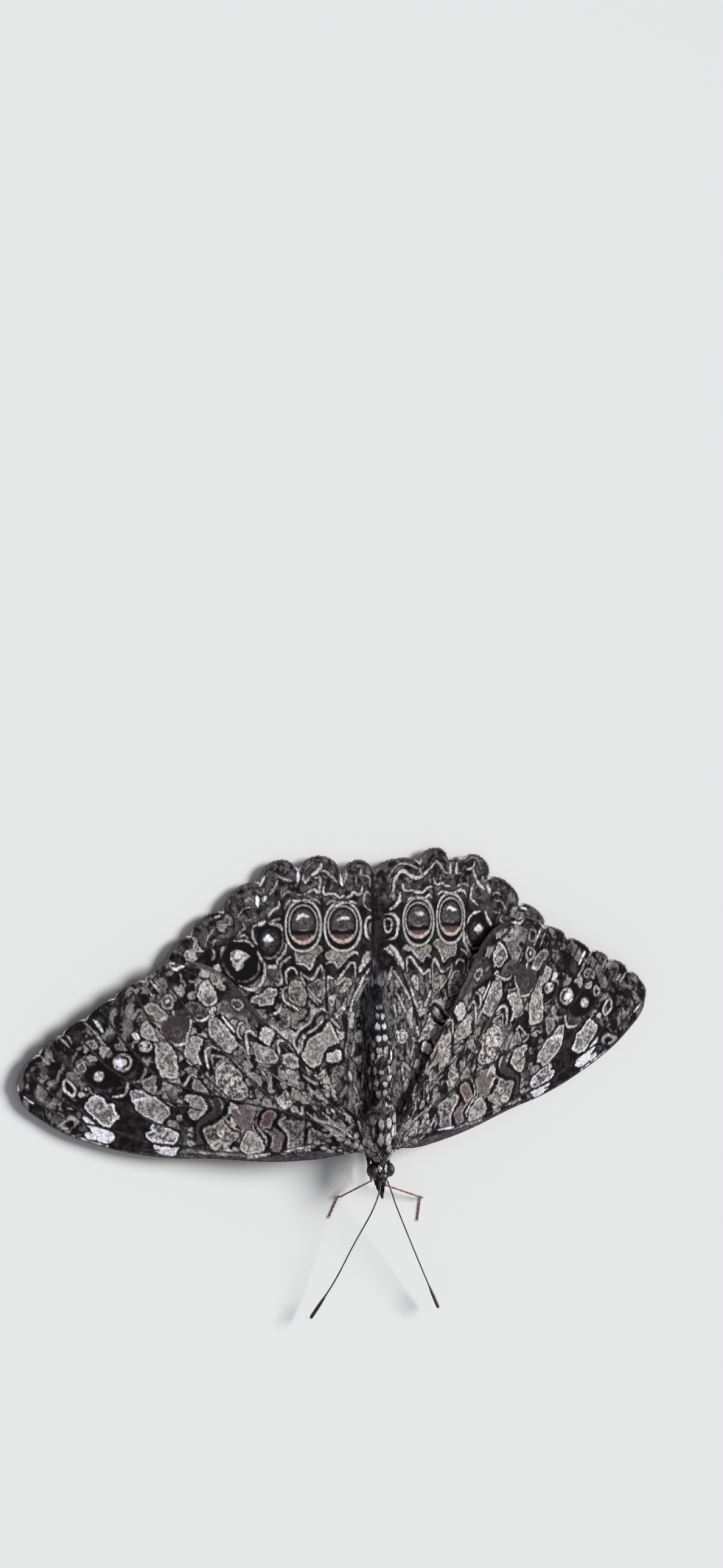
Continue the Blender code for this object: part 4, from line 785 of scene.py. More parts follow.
# Drawn marks near the rear margin and round the outer eyespots, other on each wing.
HIND_EDGE_LINES = {
    -1: [
        (PALE, 0.3, 0.15, [(0.05, 29.3), (0.15, 28.8), (0.35, 28.35), (0.7, 28.35), (1.1, 28.6),
            (1.5, 28.2), (2.0, 27.95)]),
        (PALE, 0.28, 0.15, [(2.4, 28.2), (2.9, 27.95), (3.3, 28.3), (3.9, 28.45), (4.9, 28.4),
            (4.85, 29.2)]),
        (PALE, 0.28, 0.15, [(5.95, 30.25), (5.35, 30.3), (5.35, 29.6), (5.5, 28.5), (5.9, 28.9),
            (6.4, 28.8), (7.2, 28.35)]),
        (MID, 0.26, 0.1, [(7.5, 28.35), (8.2, 28.35)]),
        (GREY, 0.22, 0.1, [(8.6, 28.5), (9.2, 28.7), (9.6, 28.5), (10.0, 27.95)]),
        (GREY, 0.3, 0.15, [(3.3, 29.8), (3.7, 30.2), (4.3, 30.7), (4.9, 31.05), (5.2, 31.0)]),
        (PALE, 0.36, 0.15, [(5.25, 31.9), (5.3, 31.4), (5.7, 31.0), (6.3, 30.5)]),
        (PALE, 0.26, 0.12, [(6.6, 30.3), (6.9, 30.0), (7.2, 29.7), (7.35, 30.1), (7.3, 30.7)]),
        (MID, 0.22, 0.1, [(7.25, 30.8), (7.1, 31.3), (6.6, 31.7), (6.0, 32.2), (5.4, 32.2)]),
        (WHITE, 0.42, 0.1, [(8.0, 29.7), (8.0, 30.2), (8.0, 30.9)]),
        (GREY, 0.24, 0.1, [(2.1, 31.1), (2.1, 30.5), (2.3, 29.9), (2.5, 29.5)]),
        (WHITE, 0.34, 0.1, [(2.6, 29.4), (2.75, 30.0), (2.6, 31.3)]),
        (GREY, 0.4, 0.1, [(0.2, 31.1), (0.4, 30.7), (0.55, 30.5)]),
        (MID, 0.26, 0.1, [(0.8, 30.6), (0.85, 30.0), (0.75, 29.3), (0.3, 29.4)]),
        (MID, 0.24, 0.1, [(0.2, 31.6), (0.6, 31.6), (0.9, 31.3)]),
        (GREY, 0.3, 0.1, [(8.8, 29.9), (9.6, 30.1), (10.5, 30.45)]),
        (DIM, 0.26, 0.0, [(8.9, 31.0), (9.5, 31.3), (10.1, 31.5)]),
        (GREY, 0.28, 0.12, [(10.5, 30.0), (10.7, 29.3), (11.4, 28.3)]),
        (DIM, 0.26, 0.0, [(11.0, 31.1), (11.3, 30.3), (11.8, 29.7)]),
        (WHITE, 0.36, 0.1, [(12.0, 30.4), (12.3, 29.9), (12.6, 29.4)]),
        (MID, 0.3, 0.1, [(12.1, 29.1), (12.2, 28.5)]),
        (PALE, 0.55, 0.15, [(11.75, 28.1), (12.05, 27.9), (12.15, 27.7)]),
        (WHITE, 0.36, 0.1, [(12.9, 28.3), (12.85, 27.7), (12.8, 27.1)]),
        (PALE, 0.28, 0.12, [(10.3, 27.6), (10.3, 27.0), (10.9, 26.7), (11.4, 26.1), (11.6, 25.8)]),
        (MID, 0.24, 0.1, [(10.0, 29.2), (10.05, 28.6), (10.0, 28.1)]),
        (GREY, 0.26, 0.1, [(-0.9, 29.2), (-1.0, 30.0), (-0.6, 30.4), (0.0, 30.5)]),
        (GREY, 0.22, 0.1, [(-0.9, 28.3), (-0.6, 28.6), (-0.2, 28.3), (-0.1, 27.3), (-0.6, 26.7),
            (-1.2, 26.4)]),
        (PALE, 0.3, 0.12, [(-1.7, 25.7), (-1.0, 25.75), (-0.45, 25.4), (-0.35, 24.4), (-0.5, 23.6),
            (-1.0, 23.15), (-1.6, 23.2)]),
        (GREY, 0.24, 0.1, [(-1.6, 25.1), (-1.05, 25.05), (-0.9, 24.5), (-1.05, 23.95), (-1.6, 23.9)]),
        (PALE, 0.3, 0.1, [(0.8, 27.3), (1.3, 27.5), (1.9, 27.3)]),
        (PALE, 0.34, 0.1, [(2.3, 27.5), (2.9, 27.2), (3.4, 26.9)]),
        (GREY, 0.22, 0.1, [(3.3, 27.5), (3.9, 27.65), (4.5, 27.2)]),
        (GREY, 0.24, 0.1, [(5.3, 27.3), (5.7, 27.7), (6.3, 27.8), (7.1, 27.5)]),
        (PALE, 0.34, 0.1, [(7.5, 27.75), (8.2, 27.6), (8.8, 27.8)]),
        (GREY, 0.22, 0.1, [(8.8, 27.85), (9.2, 27.5), (9.6, 26.9)]),
        (PALE, 0.26, 0.12, [(9.8, 24.2), (10.0, 24.7), (10.5, 25.0), (11.4, 25.15)]),
        (GREY, 0.24, 0.1, [(10.2, 25.7), (10.9, 25.5), (11.3, 25.3)]),
        (PALE, 0.4, 0.12, [(11.95, 25.4), (12.4, 25.1), (12.9, 25.05)]),
        (PALE, 0.26, 0.12, [(12.9, 25.05), (13.4, 24.7), (13.4, 24.0), (13.2, 23.3), (12.9, 22.9)]),
        (MID, 0.18, 0.0, [(9.85, 24.0), (9.75, 23.2), (9.9, 22.5), (10.3, 21.9), (10.8, 21.4), (11.5, 21.3),
            (12.1, 21.5)]),
        (PALE, 0.26, 0.12, [(9.4, 22.8), (9.5, 22.2), (9.9, 21.5), (10.4, 21.0), (10.4, 20.5)]),
        (PALE, 0.5, 0.12, [(10.5, 20.4), (11.0, 20.3), (11.6, 20.4)]),
        (PALE, 0.28, 0.12, [(11.7, 20.4), (12.2, 21.0), (12.5, 21.5), (12.75, 22.1)]),
        (PALE, 0.36, 0.15, [(12.0, 20.9), (11.85, 20.0), (12.0, 19.2), (12.3, 18.5), (12.9, 18.0),
            (13.4, 17.85), (14.0, 18.0), (14.8, 18.3)]),
        (MID, 0.18, 0.0, [(12.6, 20.9), (12.6, 20.0), (12.9, 19.4), (13.5, 19.0), (14.3, 18.75),
            (15.0, 18.9)]),
        (PALE, 0.26, 0.1, [(13.3, 22.7), (13.7, 23.1), (14.3, 23.3), (15.0, 23.25), (15.5, 23.3)]),
        (GREY, 0.24, 0.1, [(13.9, 23.5), (14.3, 23.9), (14.7, 23.8), (15.3, 23.4)]),
        (MID, 0.18, 0.0, [(17.0, 21.1), (16.6, 20.4), (16.1, 19.6), (15.5, 19.1)]),
    ],
    1: [
        (GREY, 0.24, 0.12, [(-0.9, 29.2), (-0.6, 30.0), (-0.1, 30.8), (0.5, 31.3), (1.2, 31.4), (2.2, 31.2),
            (3.0, 30.8)]),
        (PALE, 0.36, 0.15, [(-0.5, 27.5), (-0.1, 28.3), (0.0, 29.4), (0.4, 30.1), (0.9, 30.55), (1.4, 30.5),
            (2.0, 30.1), (2.6, 29.8), (3.2, 29.75), (3.8, 30.1), (4.2, 30.4), (4.8, 31.0), (5.4, 31.6)]),
        (GREY, 0.28, 0.12, [(5.4, 31.7), (6.0, 31.2), (6.6, 30.4), (7.0, 30.3)]),
        (GREY, 0.26, 0.1, [(3.3, 30.9), (3.4, 30.4), (3.7, 30.1)]),
        (PALE, 0.4, 0.12, [(7.4, 31.4), (7.35, 30.8), (7.35, 30.2)]),
        (PALE, 0.34, 0.12, [(8.2, 31.4), (8.2, 30.3), (8.8, 30.25)]),
        (PALE, 0.32, 0.12, [(9.6, 30.7), (10.3, 30.9), (10.6, 31.5)]),
        (PALE, 0.36, 0.12, [(10.4, 30.7), (10.7, 29.8), (11.2, 29.0), (12.0, 28.3)]),
        (MID, 0.28, 0.1, [(9.7, 31.8), (10.2, 32.1), (10.8, 32.0), (11.2, 31.4), (11.5, 30.6)]),
        (GREY, 0.24, 0.1, [(11.7, 29.9), (11.75, 29.2), (12.3, 29.4)]),
        (PALE, 0.3, 0.15, [(1.1, 29.0), (1.25, 28.4), (1.8, 28.25), (2.4, 28.3), (2.9, 28.1), (3.8, 28.1),
            (4.3, 28.6), (5.0, 28.7)]),
        (MID, 0.26, 0.1, [(1.2, 29.6), (1.7, 29.6), (1.9, 29.1)]),
        (MID, 0.26, 0.1, [(4.5, 29.9), (4.7, 29.3), (5.1, 29.7)]),
        (PALE, 0.28, 0.15, [(5.1, 29.7), (5.3, 29.1), (5.6, 28.9), (6.2, 29.15), (6.7, 28.8),
            (7.4, 28.75)]),
        (MID, 0.28, 0.1, [(6.0, 30.0), (6.1, 29.4)]),
        (GREY, 0.26, 0.1, [(8.3, 28.7), (8.9, 29.0), (9.4, 29.0), (9.9, 28.6)]),
        (PALE, 0.28, 0.12, [(10.5, 29.0), (10.2, 28.3), (10.1, 27.3), (10.6, 26.9), (11.2, 26.4)]),
        (PALE, 0.34, 0.12, [(0.75, 28.0), (0.7, 27.2), (0.3, 26.7), (-0.5, 26.15)]),
        (GREY, 0.34, 0.1, [(0.0, 28.0), (-0.1, 27.6), (-0.1, 27.3)]),
        (PALE, 0.45, 0.1, [(12.4, 28.9), (12.6, 28.4), (12.7, 27.9)]),
        (PALE, 0.24, 0.12, [(-1.2, 25.0), (-0.6, 25.1), (-0.3, 24.5), (-0.5, 23.7), (-1.0, 23.6),
            (-1.2, 24.2), (-1.2, 25.0)]),
        (PALE, 0.34, 0.12, [(-1.1, 25.6), (-0.2, 25.6), (0.2, 25.2), (0.55, 24.8), (0.4, 23.8), (0.2, 23.1),
            (-0.3, 22.8), (-0.8, 22.7)]),
        (PALE, 0.55, 0.15, [(-0.5, 22.0), (0.2, 21.2), (0.8, 20.2), (1.15, 19.3)]),
        (PALE, 0.3, 0.1, [(1.7, 27.0), (2.1, 27.4), (2.8, 27.35)]),
        (PALE, 0.3, 0.1, [(4.0, 27.4), (4.6, 27.75), (4.85, 27.4)]),
        (PALE, 0.3, 0.1, [(5.8, 27.8), (6.3, 28.15), (7.2, 27.9)]),
        (PALE, 0.34, 0.1, [(7.9, 27.95), (8.9, 28.3), (9.5, 27.7)]),
        (PALE, 0.28, 0.12, [(9.6, 24.4), (10.0, 25.2), (10.6, 25.6), (11.5, 25.75)]),
        (GREY, 0.2, 0.1, [(9.35, 23.3), (9.7, 22.4), (10.2, 21.7), (10.5, 21.4), (11.3, 21.5)]),
        (PALE, 0.26, 0.12, [(9.15, 23.5), (9.2, 22.5), (9.6, 21.6), (10.0, 20.9), (10.2, 20.4)]),
        (PALE, 0.55, 0.12, [(10.45, 20.4), (10.9, 20.5), (11.3, 20.7)]),
        (PALE, 0.38, 0.12, [(12.1, 25.7), (12.4, 25.0), (12.9, 24.1)]),
        (GREY, 0.5, 0.1, [(12.7, 22.1), (12.2, 21.3), (11.7, 20.4)]),
    ],
}

# Marks between the body and the pale zigzag: closed ones with how mottled they are, and drawn ones.
HIND_INNER_PATCHES = {
    -1: [
        (GREY, 0.5, [(1.1, 14.9), (1.7, 15.1), (1.95, 14.3), (1.8, 13.4), (1.4, 13.2), (1.2, 14.0)]),
        (GREY, 0.9, [(1.5, 18.3), (1.7, 18.9), (2.1, 18.8), (2.5, 18.0), (2.9, 17.6), (2.7, 17.2),
            (2.0, 17.6)]),
        (GREY, 0.9, [(1.9, 16.8), (2.3, 16.6), (2.6, 15.9), (3.2, 15.2), (3.6, 14.9), (3.3, 14.4),
            (2.6, 15.0), (2.1, 15.6)]),
        (GREY, 0.7, [(3.3, 17.0), (4.0, 17.1), (4.4, 16.8), (4.2, 16.0), (3.8, 15.8), (3.5, 16.3)]),
        (PALE, 0.4, [(0.0, 12.8), (0.7, 12.9), (1.2, 12.4), (1.1, 11.8), (0.5, 11.6), (0.1, 12.0)]),
        (GREY, 0.6, [(2.4, 12.9), (3.0, 12.9), (3.4, 13.6), (3.2, 12.3), (2.7, 12.0)]),
        (GREY, 0.8, [(0.0, 10.6), (0.5, 10.2), (1.1, 9.9), (0.8, 9.2), (0.3, 9.7)]),
        (MID, 0.6, [(2.5, 8.9), (3.2, 9.1), (3.8, 8.9), (4.0, 8.2), (3.9, 7.4), (3.3, 7.3), (3.2, 8.0),
            (2.7, 8.0)]),
        (GREY, 0.6, [(4.6, 9.0), (5.0, 8.8), (5.6, 8.2), (6.2, 8.2), (5.5, 7.7), (4.9, 8.1)]),
        (GREY, 0.4, [(4.2, 6.5), (4.6, 7.0), (5.5, 6.7), (5.2, 6.0), (4.8, 5.2), (4.5, 5.8)]),
    ],
    1: [
        (GREY, 0.6, [(1.35, 14.4), (1.9, 14.8), (2.25, 14.9), (2.2, 13.5), (2.2, 12.5), (1.85, 12.4),
            (1.7, 13.3)]),
        (GREY, 0.6, [(2.6, 15.4), (3.1, 15.5), (3.6, 15.5), (4.2, 14.9), (4.1, 14.3), (3.3, 13.8),
            (2.9, 14.4)]),
        (GREY, 0.9, [(2.1, 18.3), (2.6, 18.8), (3.0, 18.3), (3.2, 17.6), (3.4, 17.0), (2.9, 16.7),
            (2.6, 17.3)]),
        (PALE, 0.5, [(0.0, 12.9), (0.4, 12.2), (1.1, 12.6), (1.5, 12.0), (1.6, 11.3), (1.0, 10.9),
            (0.4, 11.0), (0.3, 11.7)]),
        (GREY, 0.5, [(2.4, 8.0), (2.5, 8.8), (2.9, 9.0), (3.1, 8.4), (2.9, 7.9)]),
        (PALE, 0.3, [(2.6, 6.2), (2.9, 6.8), (3.6, 7.0), (4.0, 6.6), (3.9, 6.0), (3.0, 5.3), (2.7, 5.5)]),
        (GREY, 0.8, [(3.0, 11.0), (4.5, 13.7), (4.7, 12.9), (5.7, 12.4), (5.2, 11.6), (4.3, 11.2),
            (3.6, 11.2)]),
    ],
}
HIND_INNER_LINES = {
    -1: [
        (PALE, 0.25, [(-0.9, 20.0), (-0.4, 19.3)]),
        (PALE, 0.36, [(-0.15, 19.1), (0.2, 18.4), (0.6, 17.6), (1.0, 17.0), (1.4, 16.3), (1.6, 15.4),
            (1.9, 14.8)]),
        (GREY, 0.3, [(1.15, 18.1), (1.6, 17.0), (1.95, 15.9)]),
        (GREY, 0.28, [(-0.5, 18.4), (0.0, 17.8), (0.6, 16.8), (1.05, 15.9)]),
        (PALE, 0.36, [(-0.65, 16.1), (-0.45, 15.2), (-0.25, 14.4)]),
        (GREY, 0.4, [(-0.15, 16.4), (0.2, 15.8)]),
        (GREY, 0.4, [(0.5, 15.2), (0.8, 14.6)]),
        (GREY, 0.4, [(2.2, 18.9), (2.9, 18.4), (3.3, 18.3), (3.5, 18.7)]),
        (PALE, 0.3, [(-0.4, 13.6), (-0.2, 12.8), (0.0, 12.1)]),
        (GREY, 0.35, [(0.55, 13.7), (0.7, 13.4)]),
        (GREY, 0.35, [(1.2, 11.8), (1.3, 11.0), (1.6, 10.2)]),
        (GREY, 0.3, [(2.1, 11.6), (2.3, 10.8), (2.1, 10.0)]),
        (PALE, 0.35, [(1.95, 8.6), (1.7, 7.4)]),
        (GREY, 0.42, [(1.4, 7.1), (1.0, 6.0)]),
        (MID, 0.5, [(2.2, 6.8), (2.6, 6.2), (2.9, 5.7)]),
        (GREY, 0.4, [(0.4, 4.9), (0.9, 4.8), (1.3, 4.5)]),
        (GREY, 0.3, [(3.0, 13.4), (3.6, 14.0), (4.0, 14.4)]),
        (GREY, 0.3, [(6.2, 7.2), (6.6, 6.8), (6.3, 6.2)]),
    ],
    1: [
        (PALE, 0.42, [(-0.35, 19.5), (-0.65, 18.3)]),
        (PALE, 0.32, [(-0.1, 19.1), (0.6, 18.1), (1.2, 17.1), (1.9, 15.9)]),
        (GREY, 0.5, [(0.15, 18.0), (0.5, 17.3)]),
        (PALE, 0.28, [(0.2, 16.6), (0.65, 15.9), (1.0, 15.1), (1.35, 14.4)]),
        (GREY, 0.3, [(-0.3, 15.5), (0.0, 14.8), (0.2, 13.8)]),
        (GREY, 0.26, [(0.5, 15.5), (0.6, 14.9), (0.65, 14.2)]),
        (GREY, 0.26, [(0.85, 16.6), (1.05, 15.8)]),
        (PALE, 0.36, [(2.0, 17.3), (2.3, 16.5), (2.6, 15.6), (2.9, 14.9)]),
        (PALE, 0.4, [(4.6, 16.6), (4.2, 15.6), (3.9, 15.0)]),
        (MID, 0.5, [(3.4, 17.2), (3.7, 16.3)]),
        (PALE, 0.36, [(2.75, 12.7), (3.0, 11.7)]),
        (GREY, 0.3, [(1.45, 11.1), (1.55, 10.2), (1.8, 9.5), (1.95, 9.1), (2.1, 9.8), (2.35, 10.6)]),
        (GREY, 0.34, [(2.1, 11.4), (2.5, 11.2), (2.75, 11.0)]),
        (MID, 0.4, [(0.4, 9.7), (0.9, 9.1)]),
        (GREY, 0.4, [(1.0, 8.6), (1.4, 8.2), (1.8, 7.8)]),
        (PALE, 0.5, [(1.4, 6.7), (0.95, 5.4)]),
        (GREY, 0.4, [(3.7, 7.7), (4.1, 8.5), (4.3, 8.0), (4.9, 8.0), (5.5, 8.5)]),
        (GREY, 0.42, [(5.1, 7.2), (4.9, 6.3), (4.8, 5.4)]),
        (GREY, 0.32, [(5.3, 5.8), (6.1, 6.2), (7.0, 6.8)]),
        (GREY, 0.36, [(0.1, 5.5), (0.5, 4.8)]),
        (GREY, 0.3, [(4.1, 5.2), (3.9, 4.5)]),
    ],
}

# The domed eyespots of each hindwing: the middle and half sizes of the outer and of the inner ring,
# and the points along the glint.
EYESPOTS = {
    -1: [
        ((2.5, 24.7), (2.25, 2.75), (2.5, 24.95), (1.8, 2.05), [(1.75, 25.62), (2.3, 25.65), (2.7, 25.6),
            (3.1, 25.45)]),
        ((7.35, 24.85), (2.15, 2.85), (7.35, 25.0), (1.72, 2.15), [(6.8, 25.9), (7.3, 26.02), (7.8, 25.9),
            (8.1, 25.55)]),
    ],
    1: [
        ((3.15, 24.7), (1.95, 2.75), (3.15, 24.85), (1.66, 2.02), [(2.85, 25.7), (3.3, 25.6),
            (4.05, 25.5)]),
        ((7.4, 25.0), (1.85, 2.9), (7.45, 25.2), (1.53, 2.15), [(7.0, 26.1), (7.25, 26.3), (7.6, 26.1),
            (8.25, 25.95)]),
    ],
}
# The grey spot near the right hindwing's outer margin, the pale lines on it and its white core.
OUTER_SPOT = [
    (13.6, 21.6), (14.2, 22.0), (15.2, 22.3), (15.9, 22.0), (15.9, 21.2), (15.5, 20.4), (15.1, 19.95),
    (14.5, 20.4), (14.3, 21.0),
]
OUTER_SPOT_LINES = ([(14.5, 22.0), (15.0, 21.9), (15.3, 21.4)], [(14.1, 21.6), (14.7, 20.9), (15.2, 20.1)])
OUTER_SPOT_CORE = [(14.7, 21.9), (15.2, 22.1), (15.5, 21.7), (15.3, 21.3), (14.9, 21.4)]
# Where a place across the left hindwing has the mark of the right one.
HIND_ACROSS = {
    -1: ((-3.0, 30.0), (-3.0, 30.0)),
    1: ((-3.0, 3.7, 4.9, 8.0, 9.7, 11.0, 13.0, 20.0), (-3.6, 3.1, 4.85, 8.0, 9.9, 11.3, 13.2, 20.0)),
}


def eyespot(canvas, outer, outer_half, inner, inner_half, glint):
    """Rings round a dark glassy dome, with an orange crescent towards the body."""
    (u, v), (wide, tall) = inner, inner_half
    spots = np.arange(len(canvas.places))
    canvas.disc(outer, (outer_half[0] + 0.3, outer_half[1] + 0.25), BLACK, 0.15, 0.85)
    canvas.ring(outer, outer_half, 0.26, tuple(0.9 * np.array(PALE)), 2.2)
    canvas.disc(inner, (wide + 0.2, tall + 0.2), BLACK, 0.06)
    offset = (canvas.places - np.array(inner)) / np.array((wide, tall))
    reach = np.hypot(offset[:, 0], offset[:, 1]) + 0.06 * canvas.edge
    rise = canvas.places[:, 1] + 0.6 * canvas.edge
    glass = (1 - step_up(reach, 0.72, 0.9)) * step_up(rise, v - 0.75, v - 0.5)
    canvas.lay(spots, glass * (0.55 + 0.45 * step_up(canvas.blotch, 0.35, 0.6)), DIM)
    low = (1 - step_up(rise, v - 1.3, v - 1.0)) * (1 - step_up(reach, 0.93, 0.99))
    canvas.lay(spots, low, tuple(0.75 * np.array(RUST)))
    canvas.lay(spots, low * step_up(-rise, 1.4 - v, 1.65 - v), ORANGE)
    canvas.lay(spots, 0.5 * low * step_up(canvas.blotch, 0.45, 0.6), DARK)
    canvas.ring(inner, (wide, tall), 0.18, GREY, 2.1)
    canvas.ring(inner, (wide - 0.04, tall - 0.12), 0.32, PEACH, 2.1, 215, 325)
    canvas.stroke(glint, 0.36, GLINT)
    canvas.stroke([(u - 0.7, v - 0.55), (u, v - 0.65), (u + 0.6, v - 0.55)], 0.16, MID)


def paint_hindwing(places, side):
    """The hindwing's upper side: its ground, the marks of both wings, then those of one wing only."""
    seed = 7 + side
    at, has = HIND_ACROSS[side]
    warped = np.stack([np.interp(places[:, 0], at, has), places[:, 1]], axis=1)
    canvas = Canvas(warped, BLACK, seed)
    u, v = places[:, 0], places[:, 1]
    spots = np.arange(len(places))
    canvas.lay(spots, 0.9 * step_up(noise(places, 0.45, seed + 20), 0.3, 0.75), DARK)
    basal = 1 - step_up(v, 18.6, 19.4)
    root = (0.5, -1.0)
    canvas.lay(spots, 0.9 * basal * step_up(noise(places * (1.5, 0.8), 0.45, seed + 22), 0.2, 0.45), DIM)
    canvas.lay(spots, 0.85 * basal * step_up(noise(places * (1.7, 0.7), 0.4, seed + 24), 0.46, 0.58), MID)
    canvas.lay(spots, 0.75 * basal * step_up(noise(places * (1.9, 0.5), 0.4, seed + 26), 0.64, 0.74), BLACK)
    beyond = basal * step_up(u + 0.3 * np.maximum(12.0 - v, 0), 4.6, 5.6)
    canvas.islands(beyond, root, 1.6, 0.62, 0.58, MID, GREY, PALE, seed + 30)
    canvas.islands(beyond * step_up(v, 13.0, 14.5), root, 0.9, 0.6, 0.35, MID, GREY, None, seed + 33)
    margin = step_up(v + 0.5 * np.maximum(u - 9, 0), 26.5, 28.0)
    canvas.lay(spots, 0.7 * margin * step_up(noise(places, 0.6, seed + 25), 0.45, 0.65), BROWN)
    canvas.lay(spots, 0.8 * margin * step_up(noise(places, 0.5, seed + 27), 0.5, 0.66), DIM)
    canvas.lay(spots, 0.6 * margin * step_up(noise(places, 0.4, seed + 29), 0.68, 0.8), MID)
    for vein in HIND_VEINS[1:8]:
        canvas.stroke(vein, 0.2, BLACK, taper=0.0)
    for fill, rim, mottle, halo, points in HIND_PATCHES:
        canvas.patch(points, fill, rim, halo, mottle)
    for colour, width, halo, points in HIND_LINES:
        canvas.stroke(points, width, colour, halo)
    canvas.places = places
    if side < 0:
        canvas.disc((11.3, 23.0), (1.65, 2.2), BLACK, 0.15)
        canvas.disc((11.3, 23.2), (1.1, 1.3), DIM, 0.3, 0.6, 0.7)
        canvas.disc((14.5, 20.9), (2.6, 2.75), BLACK, 0.2)
    else:
        canvas.disc((11.0, 23.4), (1.5, 2.0), BLACK, 0.15)
        canvas.disc((11.0, 23.4), (1.0, 1.3), DIM, 0.3, 0.6, 0.7)
    for fill, mottle, points in HIND_INNER_PATCHES[side]:
        canvas.patch(points, fill, None, 0.14, mottle)
    for colour, width, points in HIND_INNER_LINES[side]:
        canvas.stroke(points, width, colour, 0.14, 0.4)
    for rings in EYESPOTS[side]:
        eyespot(canvas, *rings)
    for colour, width, halo, points in HIND_EDGE_LINES[side]:
        canvas.stroke(points, width, colour, halo)
    if side < 0:
        canvas.patch(OUTER_SPOT, GREY, None, 0.0, 0.9)
        for points in OUTER_SPOT_LINES:
            canvas.stroke(points, 0.3, PALE)
        canvas.patch(OUTER_SPOT_CORE, WHITE, None, 0.0, 0.0)
    glint = (11.5, 23.4) if side < 0 else (11.15, 23.7)
    canvas.disc(glint, (0.62, 0.34), GLINT, 0.12)
    canvas.disc((glint[0] + 0.05, glint[1] + 0.25), (0.3, 0.34), GLINT, 0.1)
    canvas.disc((glint[0] + 0.1, glint[1] - 0.45), (0.35, 0.3), MID, 0.15, 0.8, 0.3)
    body = to_body(places, HIND_ROOT[side], HIND_SWEEP[side])
    y = body[:, 1]
    x = np.abs(side * body[:, 0] - middle_line(y)) + 0.8 * canvas.edge
    wisps = step_up(noise(places * (3.2, 0.5), 0.5, seed + 41), 0.25, 0.65)
    beside = np.interp(y, (12.0, 15.0, 18.0, 20.5), (2.1, 1.9, 1.35, 0.75))
    haze = (1 - step_up(x, beside - 0.5, beside)) * step_up(y, 12.5, 15.0) * (1 - step_up(y, 19.5, 22.0))
    canvas.lay(spots, 0.9 * haze * (0.35 + 0.65 * wisps), BLUISH)
    dark = (1 - step_up(x, 0.3, 0.65)) * step_up(y, 16.5, 18.5) * (1 - step_up(y, 24.0, 27.0))
    canvas.lay(spots, dark * (0.75 + 0.25 * wisps), DARK)
    canvas.lay(spots, 0.9 * (1 - step_up(x, 0.08, 0.3)) * step_up(y, 17.0, 18.5), BLACK)
    canvas.speckle(0.4)
    return canvas


# Marks of the body's upper side: colour, middle (across, along), half sizes.
BODY_SPOTS = [
    (GREY, (-0.5, 2.45), (0.24, 0.62)), (PALE, (0.42, 2.4), (0.24, 0.66)), (GREY, (-0.48, 4.2),
    (0.2, 0.45)), (PALE, (0.48, 4.3), (0.24, 0.52)), (MID, (-1.25, 3.1), (0.12, 0.5)), (PALE, (1.08, 3.3),
    (0.17, 0.6)), (MID, (-1.25, 4.5), (0.18, 0.5)), (GREY, (1.45, 4.75), (0.36, 0.45)), (GREY, (1.75, 3.3),
    (0.32, 0.6)), (MID, (-1.75, 3.2), (0.25, 0.9)), (GREY, (0.62, 1.3), (0.24, 0.36)), (MID, (1.5, 0.75),
    (0.6, 0.3)), (MID, (-1.4, 0.7), (0.5, 0.3)), (MID, (0.75, 0.15), (0.35, 0.3)), (MID, (-0.75, 0.1),
    (0.3, 0.35)), (PALE, (0.35, 8.6), (0.3, 0.27)), (PALE, (0.85, 9.2), (0.36, 0.25)), (GREY, (-0.7, 8.7),
    (0.2, 0.35)), (GREY, (-0.15, 9.9), (0.33, 0.22)), (PALE, (0.9, 10.2), (0.17, 0.48)), (MID,
    (-0.85, 10.1), (0.14, 0.45)), (PALE, (0.45, 12.3), (0.28, 0.44)), (PALE, (-0.4, 12.35), (0.29, 0.32)),
    (WHITE, (-0.44, 13.75), (0.27, 0.34)), (WHITE, (0.4, 13.8), (0.27, 0.36)), (GREY, (-0.95, 13.0),
    (0.16, 0.32)), (WHITE, (-0.42, 15.0), (0.24, 0.28)), (WHITE, (0.32, 15.05), (0.24, 0.28)), (PALE,
    (-0.32, 16.2), (0.17, 0.19)), (PALE, (0.24, 16.15), (0.18, 0.26)), (GREY, (-0.2, 17.15), (0.14, 0.16)),
    (GREY, (0.2, 17.2), (0.15, 0.17)), (PALE, (-1.05, 11.7), (0.1, 0.42)), (MID, (0.35, 7.6), (0.25, 0.3)),
    (MID, (-0.45, 7.4), (0.2, 0.3)), (MID, (-1.3, 8.3), (0.15, 0.4)), (MID, (1.45, 8.2), (0.15, 0.45)),
    (MID, (1.5, 10.0), (0.15, 0.4)), (MID, (-1.4, 10.0), (0.14, 0.4)), (WHITE, (0.98, -2.35), (0.24, 0.2)),
    (WHITE, (-0.98, -2.35), (0.22, 0.2)), (GREY, (0.2, -1.85), (0.16, 0.12)), (MID, (-0.3, -1.85),
    (0.16, 0.12)), (MID, (0.0, -2.7), (0.3, 0.12)),
]
